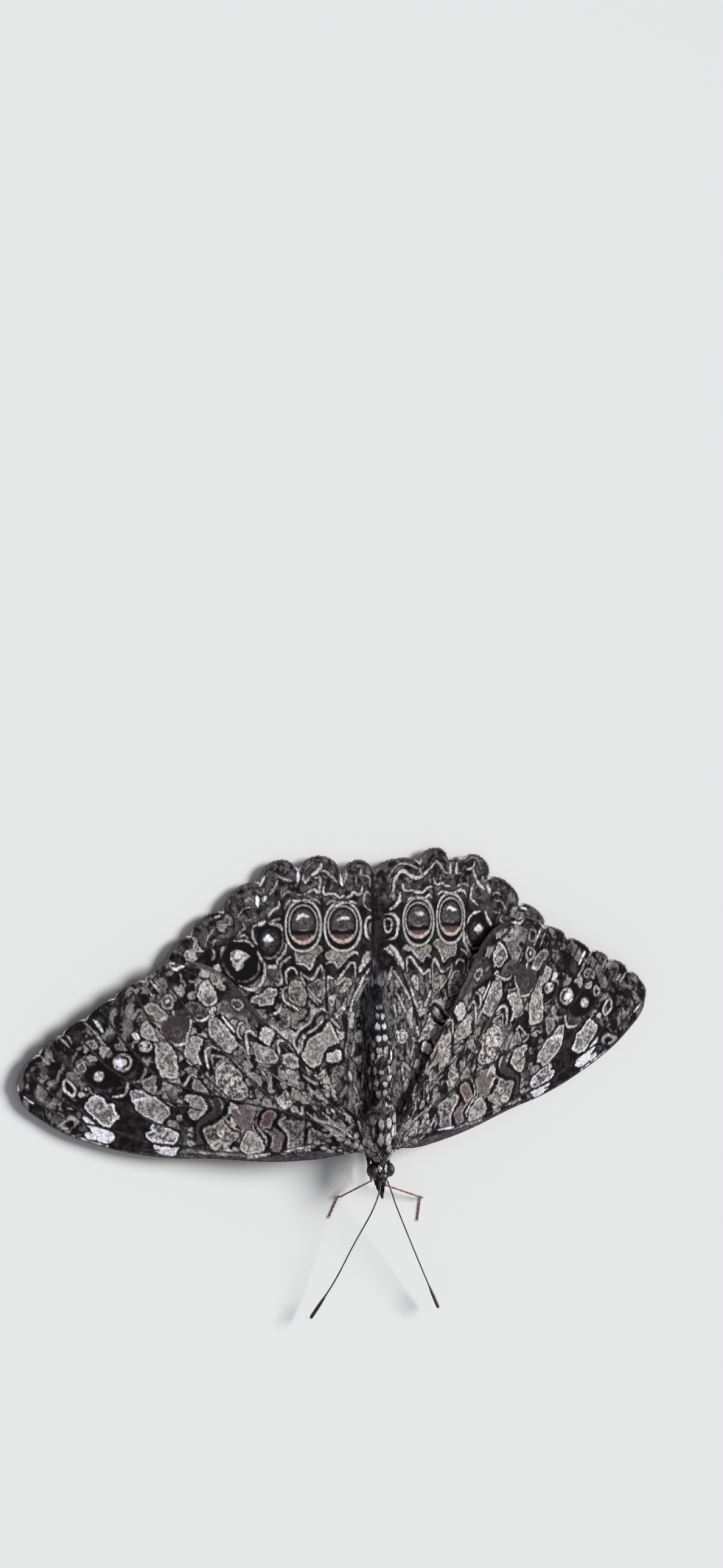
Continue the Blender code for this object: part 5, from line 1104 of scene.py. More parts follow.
BODY_LINES = [
    (GREY, 0.2, [(0.25, 5.4), (0.75, 5.75), (1.5, 5.6), (2.2, 5.2)]),
    (GREY, 0.24, [(0.22, 6.7), (0.45, 6.2), (0.95, 6.0), (1.7, 5.95)]),
    (MID, 0.2, [(0.5, 7.4), (1.0, 6.9), (1.5, 6.6)]),
    (MID, 0.22, [(-0.15, 6.75), (-0.4, 6.2), (-0.8, 5.95), (-1.3, 5.9)]),
    (MID, 0.16, [(-0.3, 5.4), (-0.7, 5.7), (-1.3, 5.5), (-1.8, 5.2)]),
    (GREY, 0.15, [(-1.0, 2.0), (-0.75, 1.3), (-0.45, 0.7), (-0.3, 0.2)]),
    (PALE, 0.2, [(-0.78, 11.0), (-0.6, 11.5), (-0.35, 11.85), (0.05, 11.9), (0.4, 11.75)]),
    (WHITE, 0.26, [(0.75, 11.0), (1.1, 11.2), (1.25, 11.7), (1.3, 12.3)]),
    (GREY, 0.22, [(0.7, 13.4), (0.95, 13.15), (1.2, 12.85)]),
    (WHITE, 0.2, [(0.3, -0.7), (0.25, -1.05), (0.3, -1.45)]),
    (WHITE, 0.16, [(-0.36, -0.7), (-0.33, -1.0), (-0.38, -1.4)]),
]
BLUISH, BELLY, FRONT_MARK = (0.40, 0.415, 0.445), (0.60, 0.55, 0.50), (0.74, 0.74, 0.73)


def middle_line(y):
    line = np.array(MIDLINE)
    return np.interp(y, line[:, 0], line[:, 1])


def skin_shape(y):
    """The skin at each y: middle x, half width, height of the middle and half height."""
    dense = as_array(curve_through(SKIN, 0.1))
    order = np.argsort(dense[:, 0], kind="stable")
    rows = dense[order]
    width, middle, height = (np.interp(y, rows[:, 0], rows[:, i]) for i in (1, 2, 3))
    return middle_line(y), width, middle, height


def across_body(points):
    """Places on the body, unrolled: across from the back's middle and along, and the turn from the top."""
    x, width, middle, height = skin_shape(points[:, 1])
    sideways = (points[:, 0] - x) / np.maximum(width, 0.05)
    turn = np.arctan2(sideways, (points[:, 2] - middle) / np.maximum(height, 0.05))
    size = np.abs(turn)
    across = np.where(size < 1.0, np.sin(size), math.sin(1.0) + size - 1.0) * width * np.sign(turn)
    shift = np.array(MARKINGS_SHIFT)
    across = across + np.interp(points[:, 1], shift[:, 0], shift[:, 1])
    return np.stack([across, points[:, 1]], axis=1), turn


def paint_body(points, seed):
    """The colours of the body's skin and hair at places in the insect's frame."""
    places, turn = across_body(points)
    canvas = Canvas(places, BLACK, seed)
    spots = np.arange(len(places))
    along = places[:, 1]
    canvas.lay(spots, 0.85 * step_up(noise(places * (1.6, 0.7), 0.42, seed + 20), 0.4, 0.7), DIM)
    canvas.lay(spots, 0.7 * step_up(noise(places * (1.3, 0.8), 0.36, seed + 23), 0.66, 0.78), MID)
    off = np.abs(places[:, 0])
    canvas.lay(spots, 0.5 * step_up(along, 10.0, 12.5) * (1 - step_up(off, 0.9, 1.2)), BLACK)
    haze = step_up(along, 13.5, 16.0) * step_up(off, 0.35, 0.8) * (0.5 + 0.5 * canvas.blotch)
    canvas.lay(spots, 0.8 * haze, BLUISH)
    for colour, width, points_along in BODY_LINES:
        canvas.stroke(points_along, width + 0.06, tuple(1.15 * np.array(colour)), 0.14)
    for colour, middle, radii in BODY_SPOTS:
        canvas.disc(middle, (radii[0] + 0.18, radii[1] + 0.18), BLACK, 0.08, 0.85)
        grown = 0.1 if middle[1] < 6 else 0.05
        if -0.5 < middle[1] < 11:
            colour = tuple(0.55 * np.array(colour) + 0.45 * np.array(FRONT_MARK))
        canvas.disc(middle, (radii[0] + grown, radii[1] + grown), colour, 0.08, 1.0, 0.15)
    below = step_up(np.abs(turn), 1.75, 2.15) * (1 - step_up(along, 17.0, 18.5))
    below = below * (0.75 + 0.25 * canvas.blotch)
    canvas.lay(spots, below, BELLY)
    canvas.lay(spots, below * step_up(canvas.blotch, 0.5, 0.65) * 0.5, MID)
    canvas.speckle(0.45)
    return canvas.colour


def linear(colour):
    """From a colour as the eye sees it to the amounts of light that a shader takes."""
    colour = np.clip(np.asarray(colour, float), 0, 1)
    return np.where(colour <= 0.04045, colour / 12.92, ((colour + 0.055) / 1.055) ** 2.4)


def unit(vectors):
    return vectors / np.maximum(np.linalg.norm(vectors, axis=-1, keepdims=True), 1e-9)


def for_each(places, value):
    """The same colour or direction for every one of the places."""
    return np.tile(np.array(value, float), (len(places), 1))


def mixed(first, second, share):
    """From the first colour to the second, as far as each place's share says."""
    return np.array(first) * (1 - share) + np.array(second) * share


def add_piece(name, mesh, coat, replaced=()):
    """Make an object of a mesh in millimetres, placed where the solid model stands."""
    mesh.transform(Matrix.Translation(SHIFT))
    mesh.transform(Matrix.Scale(MM, 4))
    mesh.shade_smooth()
    mesh.materials.append(coat)
    piece = bpy.data.objects.new(name, mesh)
    bpy.context.scene.collection.objects.link(piece)
    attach(piece, "root")
    if replaced:
        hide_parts(*replaced)
    return piece


def as_mesh(name, bm):
    """The mesh of a bmesh, with its points and faces in one order, so that each run gives the same hair."""
    bmesh.ops.recalc_face_normals(bm, faces=bm.faces)
    bm.verts.index_update()
    places = np.array([vert.co for vert in bm.verts]).round(4) + 0.0
    order = np.lexsort(places.T)
    rank = np.argsort(order).tolist()
    faces = []
    for face in bm.faces:
        corners = [rank[vert.index] for vert in face.verts]
        first = corners.index(min(corners))
        faces.append(corners[first:] + corners[:first])
    bm.free()
    mesh = bpy.data.meshes.new(name)
    mesh.from_pydata(places[order].tolist(), [], sorted(faces))
    return mesh


def places_of(mesh):
    places = np.empty(len(mesh.vertices) * 3)
    mesh.vertices.foreach_get("co", places)
    return places.reshape(-1, 3)


def move_to(mesh, places):
    mesh.vertices.foreach_set("co", np.ascontiguousarray(places).ravel())
    mesh.update()


def colour_in(mesh, colours):
    """Keep the colour of each point, as the eye sees it, in the mesh's markings attribute."""
    layer = mesh.color_attributes.new(name="markings", type="FLOAT_COLOR", domain="POINT")
    filled = np.ones((len(mesh.vertices), 4))
    filled[:, :3] = linear(colours)
    layer.data.foreach_set("color", filled.ravel())


def on_side(point, side):
    return Vector((BODY_X + side * point[0], point[1], point[2]))


# Materials.

EYE_TONES = ((0.01, 0.0075, 0.0075), (0.05, 0.038, 0.036))     # as amounts of light
FEELER_TONES = ((0.07, 0.05, 0.045), (0.17, 0.12, 0.1))


def new_material(name, roughness):
    made = bpy.data.materials.new(name)
    made.use_nodes = True
    shader = made.node_tree.nodes["Principled BSDF"]
    shader.inputs["Roughness"].default_value = roughness
    return made, made.node_tree.nodes, made.node_tree.links, shader


def texture_over(nodes, links, kind, size, stretch):
    """A texture on the piece's own coordinates, with a grain about size millimetres across."""
    where = nodes.new("ShaderNodeTexCoord")
    turn = nodes.new("ShaderNodeMapping")
    turn.inputs["Scale"].default_value = stretch
    grain = nodes.new(kind)
    grain.inputs["Scale"].default_value = 1 / (size * MM)
    links.new(where.outputs["Object"], turn.inputs["Vector"])
    links.new(turn.outputs["Vector"], grain.inputs["Vector"])
    return grain


def noise_over(nodes, links, size, detail=2.0, stretch=(1, 1, 1)):
    """Blotches about size millimetres across."""
    grain = texture_over(nodes, links, "ShaderNodeTexNoise", size, stretch)
    grain.inputs["Detail"].default_value = detail
    return grain.outputs["Fac"]


def cells_over(nodes, links, size, stretch=(1, 1, 1)):
    """Small cells of random tone, such as scales or facets, size millimetres across."""
    return texture_over(nodes, links, "ShaderNodeTexVoronoi", size, stretch)


def two_tones(nodes, links, value, ends, tones):
    """A ramp from one tone to another, between the two values given as its ends."""
    ramp = nodes.new("ShaderNodeValToRGB")
    for element, position, tone in zip(ramp.color_ramp.elements, ends, tones):
        element.position = position
        element.color = (*tone, 1)
    links.new(value, ramp.inputs["Fac"])
    return ramp.outputs["Color"]


def tone_range(nodes, links, value, low, high):
    stretched = nodes.new("ShaderNodeMapRange")
    stretched.inputs["To Min"].default_value = low
    stretched.inputs["To Max"].default_value = high
    links.new(value, stretched.inputs["Value"])
    return stretched.outputs["Result"]


def darkened(nodes, links, colour, value):
    """The colour times a value, as a colour."""
    scaled = nodes.new("ShaderNodeVectorMath")
    scaled.operation = "SCALE"
    links.new(colour, scaled.inputs[0])
    links.new(value, scaled.inputs["Scale"])
    return scaled.outputs["Vector"]


def bumped(nodes, links, shader, height, depth):
    """A bump that is depth millimetres deep."""
    bump = nodes.new("ShaderNodeBump")
    bump.inputs["Distance"].default_value = depth * MM
    bump.inputs["Strength"].default_value = 0.8
    links.new(height, bump.inputs["Height"])
    links.new(bump.outputs["Normal"], shader.inputs["Normal"])


def scale_material():
    """Powdery wing scales: the painted markings, broken into single scales of slightly different tone."""
    made, nodes, links, shader = new_material("wing_scales", 0.9)
    shader.inputs["Specular IOR Level"].default_value = 0.05
    markings = nodes.new("ShaderNodeAttribute")
    markings.attribute_name = "markings"
    scales = cells_over(nodes, links, 0.1, (1, 0.6, 1))
    brightness = nodes.new("ShaderNodeSeparateColor")
    links.new(scales.outputs["Color"], brightness.inputs["Color"])
    tone = tone_range(nodes, links, brightness.outputs["Red"], 0.68, 1.32)
    cloudy = tone_range(nodes, links, noise_over(nodes, links, 0.22, 3.0), 0.4, 1.6)
    first = darkened(nodes, links, markings.outputs["Color"], tone)
    links.new(darkened(nodes, links, first, cloudy), shader.inputs["Base Color"])
    bumped(nodes, links, shader, scales.outputs["Distance"], 0.02)
    return made


def hair_material(name, roughness=0.75):
    """Hair and skin that carry the markings, streaked along the body."""
    made, nodes, links, shader = new_material(name, roughness)
    shader.inputs["Specular IOR Level"].default_value = 0.12
    markings = nodes.new("ShaderNodeAttribute")
    markings.attribute_name = "markings"
    strands = noise_over(nodes, links, 0.12, 3.0, (1, 0.25, 1))
    tone = tone_range(nodes, links, strands, 0.75, 1.55)
    links.new(darkened(nodes, links, markings.outputs["Color"], tone), shader.inputs["Base Color"])
    bumped(nodes, links, shader, strands, 0.05)
    return made


def eye_material():
    """A compound eye: near black, glossy, with a skin of tiny facets."""
    made, nodes, links, shader = new_material("compound_eye", 0.38)
    shader.inputs["Specular IOR Level"].default_value = 0.25
    bands = noise_over(nodes, links, 0.5, 2.0)
    colour = two_tones(nodes, links, bands, (0.35, 0.7), EYE_TONES)
    facets = cells_over(nodes, links, 0.045)
    tone = tone_range(nodes, links, facets.outputs["Distance"], 1.25, 0.7)
    links.new(darkened(nodes, links, colour, tone), shader.inputs["Base Color"])
    bumped(nodes, links, shader, facets.outputs["Distance"], 0.012)
    return made


def shell_material(name, dark, light, roughness, size=0.25):
    """Horny skin of a leg or feeler in two tones, with fine scales."""
    made, nodes, links, shader = new_material(name, roughness)
    blotches = noise_over(nodes, links, size, 3.0)
    colour = two_tones(nodes, links, blotches, (0.3, 0.7), (linear(dark), linear(light)))
    scales = cells_over(nodes, links, 0.06)
    tone = tone_range(nodes, links, scales.outputs["Distance"], 1.2, 0.75)
    links.new(darkened(nodes, links, colour, tone), shader.inputs["Base Color"])
    bumped(nodes, links, shader, scales.outputs["Distance"], 0.015)
    return made


# Wings.

def drape(x, y, fore):
    """Height of a wing's middle surface above the floor, x measured on its own side."""
    reach = np.hypot(x, y)
    height = RIM_HEIGHT + DRAPE_RISE * np.clip(1 - reach / DRAPE_REACH, 0, 1) ** DRAPE_POWER
    if fore:
        bearing = np.degrees(np.arctan2(y, x))
        climb = step_up(bearing, LIFT_FROM, LIFT_TO)
        height = height + FORE_LIFT_FRONT + (FORE_LIFT_REAR - FORE_LIFT_FRONT) * climb
    return height


def to_body(points, root, sweep):
    """From a wing's own frame to the body's, x still measured on the wing's side."""
    turn = math.radians(sweep)
    u, v = points[..., 0], points[..., 1]
    x = root[0] + math.cos(turn) * u - math.sin(turn) * v
    y = root[1] + math.sin(turn) * u + math.cos(turn) * v
    return np.stack([x, y], axis=-1)


def to_wing(points, root, sweep):
    """From the body's frame to a wing's own."""
    turn = math.radians(sweep)
    x, y = points[..., 0] - root[0], points[..., 1] - root[1]
    u = math.cos(turn) * x + math.sin(turn) * y
    v = math.cos(turn) * y - math.sin(turn) * x
    return np.stack([u, v], axis=-1)


def lobes_between(notches, rises):
    """The scalloped margin: a rounded lobe from each notch to the next."""
    out = []
    for (first, second), rise in zip(zip(notches, notches[1:]), rises):
        a, b = Vector(first), Vector(second)
        outward = Vector((b.y - a.y, a.x - b.x)).normalized()
        count = round((b - a).length / POINT_STEP) + 2
        for i in range(count):
            t = i / count
            bulge = (1 - abs(2 * t - 1) ** LOBE_FLATNESS) ** LOBE_FULLNESS
            out.append(a.lerp(b, t) + rise * bulge * outward)
    return out


def fore_outline(side):
    """The forewing's outline in its own frame, and the part of it that carries the fringe."""
    costa = as_array(curve_through(FORE_COSTA, POINT_STEP)[:-1])
    margin = as_array(lobes_between(FORE_NOTCHES + FORE_REAR_NOTCHES[side], FORE_LOBES))
    inner = as_array(curve_through(FORE_INNER[side], POINT_STEP))
    reach = ROOT_REACH + side * BODY_X
    base = np.array([(reach, FORE_BASE_Y[1]), (reach, FORE_BASE_Y[0])])
    base = to_wing(base, FORE_ROOT[side], FORE_SWEEP[side])
    return np.vstack([costa, margin, inner, base]), np.vstack([margin, inner[:1]])


def hind_outline(side):
    """The hindwing's outline in its own frame, and the part of it that carries the fringe."""
    place = (HIND_ROOT[side], HIND_SWEEP[side])
    costa = as_array(curve_through(HIND_COSTA, POINT_STEP)[:-1])
    notches = HIND_NOTCHES + HIND_REAR_NOTCHES[side]
    margin = as_array(lobes_between(notches, HIND_LOBES + HIND_REAR_LOBES[side]))
    corner = to_wing(np.array((INNER_X, HIND_CORNER_Y)), *place)
    last = as_array(lobes_between([notches[-1], tuple(corner)], [HIND_LAST_LOBE[side]]))
    inner = np.array([(INNER_X, y) for y in np.arange(HIND_CORNER_Y, 18.6, -1.0)])
    along = np.arange(18.6, HIND_BASE_Y[1], -0.5)
    beside = skin_shape(along)[1] - SKIN_OVERLAP + side * middle_line(along)
    beside = np.stack([np.maximum(beside, INNER_X), along], axis=1)
    reach = ROOT_REACH + side * BODY_X
    base = np.array([(reach, HIND_BASE_Y[1]), (reach, HIND_BASE_Y[0])])
    rest = to_wing(np.vstack([inner, beside, base]), *place)
    return np.vstack([costa, margin, last, rest]), np.vstack([margin, last, corner[None]])


def wing_blank(outline):
    """A flat sheet cut to the outline and closed below; z is 1 on its upper side and 0 on its lower."""
    low, high = outline.min(axis=0) - SCALE_STEP, outline.max(axis=0) + SCALE_STEP
    columns, rows = np.ceil((high - low) / SCALE_STEP).astype(int)
    middle, size = (low + high) / 2, high - low
    bm = bmesh.new()
    bmesh.ops.create_grid(bm, x_segments=int(columns), y_segments=int(rows), size=0.5)
    bmesh.ops.scale(bm, vec=(size[0], size[1], 1), verts=bm.verts)
    bmesh.ops.translate(bm, vec=(middle[0], middle[1], 0), verts=bm.verts)
    depth = depth_inside(np.array([vert.co[:2] for vert in bm.verts]), outline)
    beyond = [vert for vert, inner in zip(bm.verts, depth) if inner < -0.35 * SCALE_STEP]
    bmesh.ops.delete(bm, geom=beyond, context="VERTS")
    bmesh.ops.delete(bm, geom=[vert for vert in bm.verts if not vert.link_faces], context="VERTS")
    rim = [vert for vert in bm.verts if vert.is_boundary]
    spots = np.array([vert.co[:2] for vert in rim])
    line = np.vstack([outline, outline[:1]])
    along = distance_along(spots, line)[1] * (len(line) - 1)
    for vert, place in zip(rim, along):
        first = min(int(place), len(line) - 2)
        spot = line[first] + (place - first) * (line[first + 1] - line[first])
        vert.co.x, vert.co.y = spot
    upper = bmesh.ops.extrude_face_region(bm, geom=bm.faces[:])["geom"]
    upper = [part for part in upper if isinstance(part, bmesh.types.BMVert)]
    bmesh.ops.translate(bm, vec=(0, 0, 1), verts=upper)
    return bm


def nearest_vein(places, veins):
    """Each place's distance to the nearest vein."""
    gap = np.full(len(places), np.inf)
    for vein in veins:
        gap = np.minimum(gap, distance_along(places, as_array(curve_through(vein, 1.0)))[0])
    return gap


def make_wing(name, outline, root, sweep, veins, paints, side, coat):
    """One wing: a thin sheet with raised veins, draped and painted on both sides."""
    fore = name.startswith("fore")
    mesh = as_mesh(name, wing_blank(outline))
    flat = places_of(mesh)
    places, upper = flat[:, :2], flat[:, 2] > 0.5
    body = to_body(places, root, sweep)
    depth = np.clip(depth_inside(places, outline), 0, None)
    gap = nearest_vein(places, veins)
    ridge = np.clip(1 - gap / VEIN_HALF, 0, 1) ** 0.7 * step_up(depth, 0.0, 1.2)
    sag = SAG * step_up(gap, 0.15, 1.3) * step_up(depth, 0.1, 1.5)
    wave = RIPPLE * (noise(places, 4.0, 3 + side) - 0.5 + 0.4 * (noise(places, 1.5, 5 + side) - 0.5))
    half = MARGIN_HALF + (WING_HALF - MARGIN_HALF) * step_up(depth, 0.0, 1.0)
    middle = drape(body[:, 0], body[:, 1], fore) - sag + wave
    height = np.where(upper, middle + half + VEIN_RISE * ridge, middle - half - 0.6 * VEIN_RISE * ridge)
    move_to(mesh, np.stack([side * body[:, 0], body[:, 1], height], axis=1))
    colours = np.empty((len(places), 3))
    colours[upper] = paints[0](places[upper], side).colour
    colours[~upper] = paints[1](places[~upper], gap[~upper], 17 + side)
    tint = np.where(upper, 0.1, 0.15) * ridge
    colours = colours * (1 - tint[:, None]) + np.array(DIM) * tint[:, None]
    colour_in(mesh, colours)
    if inside_out(mesh):
        mesh.flip_normals()
    return add_piece(name + "_scaled", mesh, coat, (name,))


def inside_out(mesh):
    """Whether a closed mesh's faces point inwards, from the sign of its volume."""
    mesh.calc_loop_triangles()
    corners = np.empty(len(mesh.loop_triangles) * 3, int)
    mesh.loop_triangles.foreach_get("vertices", corners)
    a, b, c = places_of(mesh)[corners].reshape(-1, 3, 3).transpose(1, 0, 2)
    return float(np.einsum("ij,ij->i", a, np.cross(b, c)).sum()) < 0


# The lower sides' colours and marks: bands between two distances from the root, and middles with half sizes.
UNDER_FORE, UNDER_FORE_TIP, UNDER_FORE_VEIN = (0.66, 0.60, 0.54), (0.27, 0.22, 0.2), (0.36, 0.29, 0.24)
UNDER_BAND, UNDER_SPOT = (0.30, 0.23, 0.2), (0.80, 0.77, 0.74)
UNDER_HIND, UNDER_HIND_CLOUD, UNDER_HIND_VEIN = (0.74, 0.69, 0.62), (0.50, 0.42, 0.35), (0.44, 0.36, 0.3)
UNDER_RING, UNDER_IRIS, UNDER_PUPIL = (0.30, 0.22, 0.18), (0.46, 0.26, 0.2), (0.82, 0.80, 0.78)
UNDER_BANDS = ((7.5, 8.6), (11.0, 12.4), (15.8, 17.4), (20.0, 21.4))
UNDER_FORE_SPOTS = (
    ((29.6, -1.6), (1.3, 0.8)), ((33.4, 2.2), (0.9, 0.6)), ((31.3, 4.0), (0.9, 0.9)),
    ((29.3, 6.2), (0.9, 0.9)), ((27.3, 8.4), (0.8, 0.8)), ((32.8, 8.6), (0.8, 0.6)),
    ((22.6, -1.8), (1.6, 0.7)), ((25.0, 1.4), (1.2, 1.3)), ((37.4, 1.2), (0.6, 0.4)),
)
UNDER_HIND_RINGS = (
    ((2.5, 24.85), (1.9, 2.1)), ((7.4, 24.9), (1.9, 2.1)), ((11.6, 23.0), (1.6, 1.8)),
    ((14.5, 20.9), (1.7, 1.7)), ((17.6, 17.9), (1.4, 1.5)), ((19.9, 14.6), (1.2, 1.3)),
)


def paint_below_fore(places, gap, seed):
    """The forewing's lower side: paler, with brown bands and a dark outer part."""
    canvas = Canvas(places, UNDER_FORE, seed)
    u, v = places[:, 0], places[:, 1]
    spots = np.arange(len(places))
    wave = (noise(places, 2.4, seed + 40) - 0.5) * 2.2
    canvas.lay(spots, step_up(u + 0.35 * v + wave, 24.5, 26.0) * 0.85, UNDER_FORE_TIP)
    out = u + 0.2 * v + wave
    front = 1 - step_up(v, 4.5, 6.5)
    for low, high in UNDER_BANDS:
        band = 0.8 * step_up(out, low, low + 0.3) * (1 - step_up(out, high, high + 0.3))
        canvas.lay(spots, band * front, UNDER_BAND)
    for middle, radii in UNDER_FORE_SPOTS:
        canvas.disc(middle, radii, UNDER_SPOT, 0.15, 0.9, 0.2)
    canvas.lay(spots, 0.5 * (1 - step_up(gap, 0.1, 0.3)), UNDER_FORE_VEIN)
    canvas.speckle(0.35)
    return canvas.colour


def paint_below_hind(places, gap, seed):
    """The hindwing's lower side: pale, with ringed spots and a brown line near the margin."""
    canvas = Canvas(places, UNDER_HIND, seed)
    spots = np.arange(len(places))
    canvas.lay(spots, 0.35 * noise(places, 1.2, seed + 21), UNDER_HIND_CLOUD)
    for middle, radii in UNDER_HIND_RINGS:
        canvas.ring(middle, radii, 0.3, UNDER_RING)
        canvas.disc(middle, (radii[0] * 0.55, radii[1] * 0.55), UNDER_IRIS, 0.12, 0.8)
        canvas.disc(middle, (radii[0] * 0.25, radii[1] * 0.25), UNDER_PUPIL, 0.1, 0.9)
    canvas.lay(spots, 0.5 * (1 - step_up(gap, 0.1, 0.3)), UNDER_HIND_VEIN)
    canvas.speckle(0.35)
    return canvas.colour


# Hair, in tufts: how many grow on each piece, and the map that their colours can be baked to.

BODY_TUFTS, WING_ROOT_TUFTS, PALPUS_TUFTS, TEGULA_TUFTS = 39000, 3600, 1200, 900
LEG_TUFTS, FORELEG_TUFTS = 1500, 600
FRINGE_STEP = 0.055            # from one tuft of the fringe to the next
UP = (0.0, 0.0, 1.0)
MAP_EDGE = 0.003               # the bake map's margin

def scatter(mesh, number, seed):
    """Places spread evenly over a mesh, and the direction that the surface faces there."""
    rng = np.random.default_rng(seed)
    mesh.calc_loop_triangles()
    corners = np.empty(len(mesh.loop_triangles) * 3, int)
    mesh.loop_triangles.foreach_get("vertices", corners)
    corners = corners.reshape(-1, 3)
    places = places_of(mesh)
    facing = np.empty(len(mesh.vertices) * 3)
    mesh.vertices.foreach_get("normal", facing)
    facing = facing.reshape(-1, 3)
    a, b, c = places[corners].transpose(1, 0, 2)
    area = np.linalg.norm(np.cross(b - a, c - a), axis=1)
    chosen = rng.choice(len(corners), number, p=area / area.sum())
    s, t = np.sqrt(rng.random(number)), rng.random(number)
    share = np.stack([1 - s, s * (1 - t), s * t], axis=1)[:, :, None]
    used = corners[chosen]
    return (places[used] * share).sum(axis=1), unit((facing[used] * share).sum(axis=1))


TUFT_STATIONS = ((-0.12, 0.8), (0.45, 1.0))        # share of the length, and of the width there
TUFT_FACES = [(0, 3, 4, 1), (1, 4, 5, 2), (2, 5, 3, 0), (3, 6, 4), (4, 6, 5), (5, 6, 3), (0, 1, 2)]
PATCH = 0.0015                 # half the size of a tuft's patch on the bake map


def grow_tufts(name, roots, facing, lie, length, width, lift, colours, unrolled, coat, slot_name, seed):
    """Tapered tufts on a surface: each has three sides, a bend along it and one tip.

    Length and width are in millimetres and lift in degrees, for all tufts alike or for each.
    """
    rng = np.random.default_rng(seed)
    count = len(roots)
    lie = lie + 0.16 * rng.standard_normal((count, 3))
    lie = unit(lie - facing * (lie * facing).sum(axis=1, keepdims=True))
    across = np.cross(lie, facing)
    length = (length * rng.uniform(0.7, 1.25, count))[:, None]
    width = (width * rng.uniform(0.75, 1.25, count))[:, None]
    slope = np.radians(lift * rng.uniform(0.6, 1.4, count))[:, None]

    def along(share):
        reach = length * share
        return roots + lie * reach * np.cos(slope) + facing * reach * np.sin(slope) * (1 - 0.45 * share)

    points = np.empty((count, 7, 3))
    for i, (share, part) in enumerate(TUFT_STATIONS):
        centre = along(share)
        half = width * part / 2
        points[:, 3 * i] = centre - across * half
        points[:, 3 * i + 1] = centre + across * half
        points[:, 3 * i + 2] = centre + facing * half * 0.7
    points[:, 6] = along(1.0)
    faces = [tuple(7 * tuft + corner for corner in face) for tuft in range(count) for face in TUFT_FACES]
    mesh = bpy.data.meshes.new(name)
    mesh.from_pydata(points.reshape(-1, 3).tolist(), [], faces)
    # Painted shade and light: each tuft is darker at its root by the skin, and lighter on its upper ridge
    # and towards its tip.
    shade = np.array([0.75, 0.75, 0.8, 0.95, 0.95, 1.05, 1.15])
    tone = rng.uniform(0.85, 1.15, (count, 1, 1))
    colour_in(mesh, np.clip(colours[:, None] * shade[None, :, None] * tone, 0, 1).reshape(-1, 3))
    corner = np.array([(-1, -1), (1, -1), (0, -0.6), (-1, 0.3), (1, 0.3), (0, 0.4), (0, 1)]) * PATCH
    patches = (unrolled[:, None] + corner[None]).reshape(-1, 2)
    used = np.empty(len(mesh.loops), int)
    mesh.loops.foreach_get("vertex_index", used)
    mesh.uv_layers.new(name="OFBake").data.foreach_set("uv", patches[used].ravel())
    return add_piece(name, mesh, coat)


def unroll_round(points, start, end):
    """Places round a long shape, unrolled into a square from 0 to 1."""
    start, end = np.array(start, float), np.array(end, float)
    axis = unit(end - start)
    share = (points - start) @ axis / np.linalg.norm(end - start)
    off = points - start - np.outer((points - start) @ axis, axis)
    first = unit(np.cross(axis, (0.0, 0.0, 1.0)))
    turn = np.arctan2(off @ np.cross(axis, first), off @ first) / (2 * math.pi) + 0.5
    return np.clip(np.stack([turn, share], axis=1), MAP_EDGE, 1 - MAP_EDGE)


# Body.

HAIR_SPLIT = 7.0               # the y where the front piece of the hair ends
WING_ROOT_BOX = (3.2, 22.5)    # how far the loose hair may reach to the side and to the rear


def make_skin():
    """One skin from the face to the tail, drawn out of a ball whose poles lie along the body."""
    bm = bmesh.new()
    turned = Matrix.Rotation(math.radians(-90), 4, "X")
    bmesh.ops.create_uvsphere(bm, u_segments=SKIN_ROUND, v_segments=SKIN_ALONG, radius=1.0, matrix=turned)
    mesh = as_mesh("body_skin", bm)
    ball = places_of(mesh)
    share = np.arcsin(np.clip(ball[:, 1], -1, 1)) / math.pi + 0.5
    y = SKIN[0][0] + share * (SKIN[-1][0] - SKIN[0][0])
    x, width, middle, height = skin_shape(y)
    turn = np.arctan2(ball[:, 0], ball[:, 2])
    pole = np.hypot(ball[:, 0], ball[:, 2]) < 1e-6
    ring = np.cos(math.pi * (y - FIRST_SEGMENT) / SEGMENT) ** 8
    ring = ring * step_up(y, FIRST_SEGMENT - 0.4, FIRST_SEGMENT)
    size = np.where(pole, 0.0, 1 - SEGMENT_RISE * ring)
    lumps = 1 + 0.03 * (noise(np.stack([turn * 2, y], axis=1), 0.5, 11) - 0.5)
    size = size * lumps
    placed = np.stack([x + width * size * np.sin(turn), y, middle + height * size * np.cos(turn)], axis=1)
    move_to(mesh, placed)
    if inside_out(mesh):
        mesh.flip_normals()
    colour_in(mesh, 0.8 * paint_body(placed, 21))
    return mesh


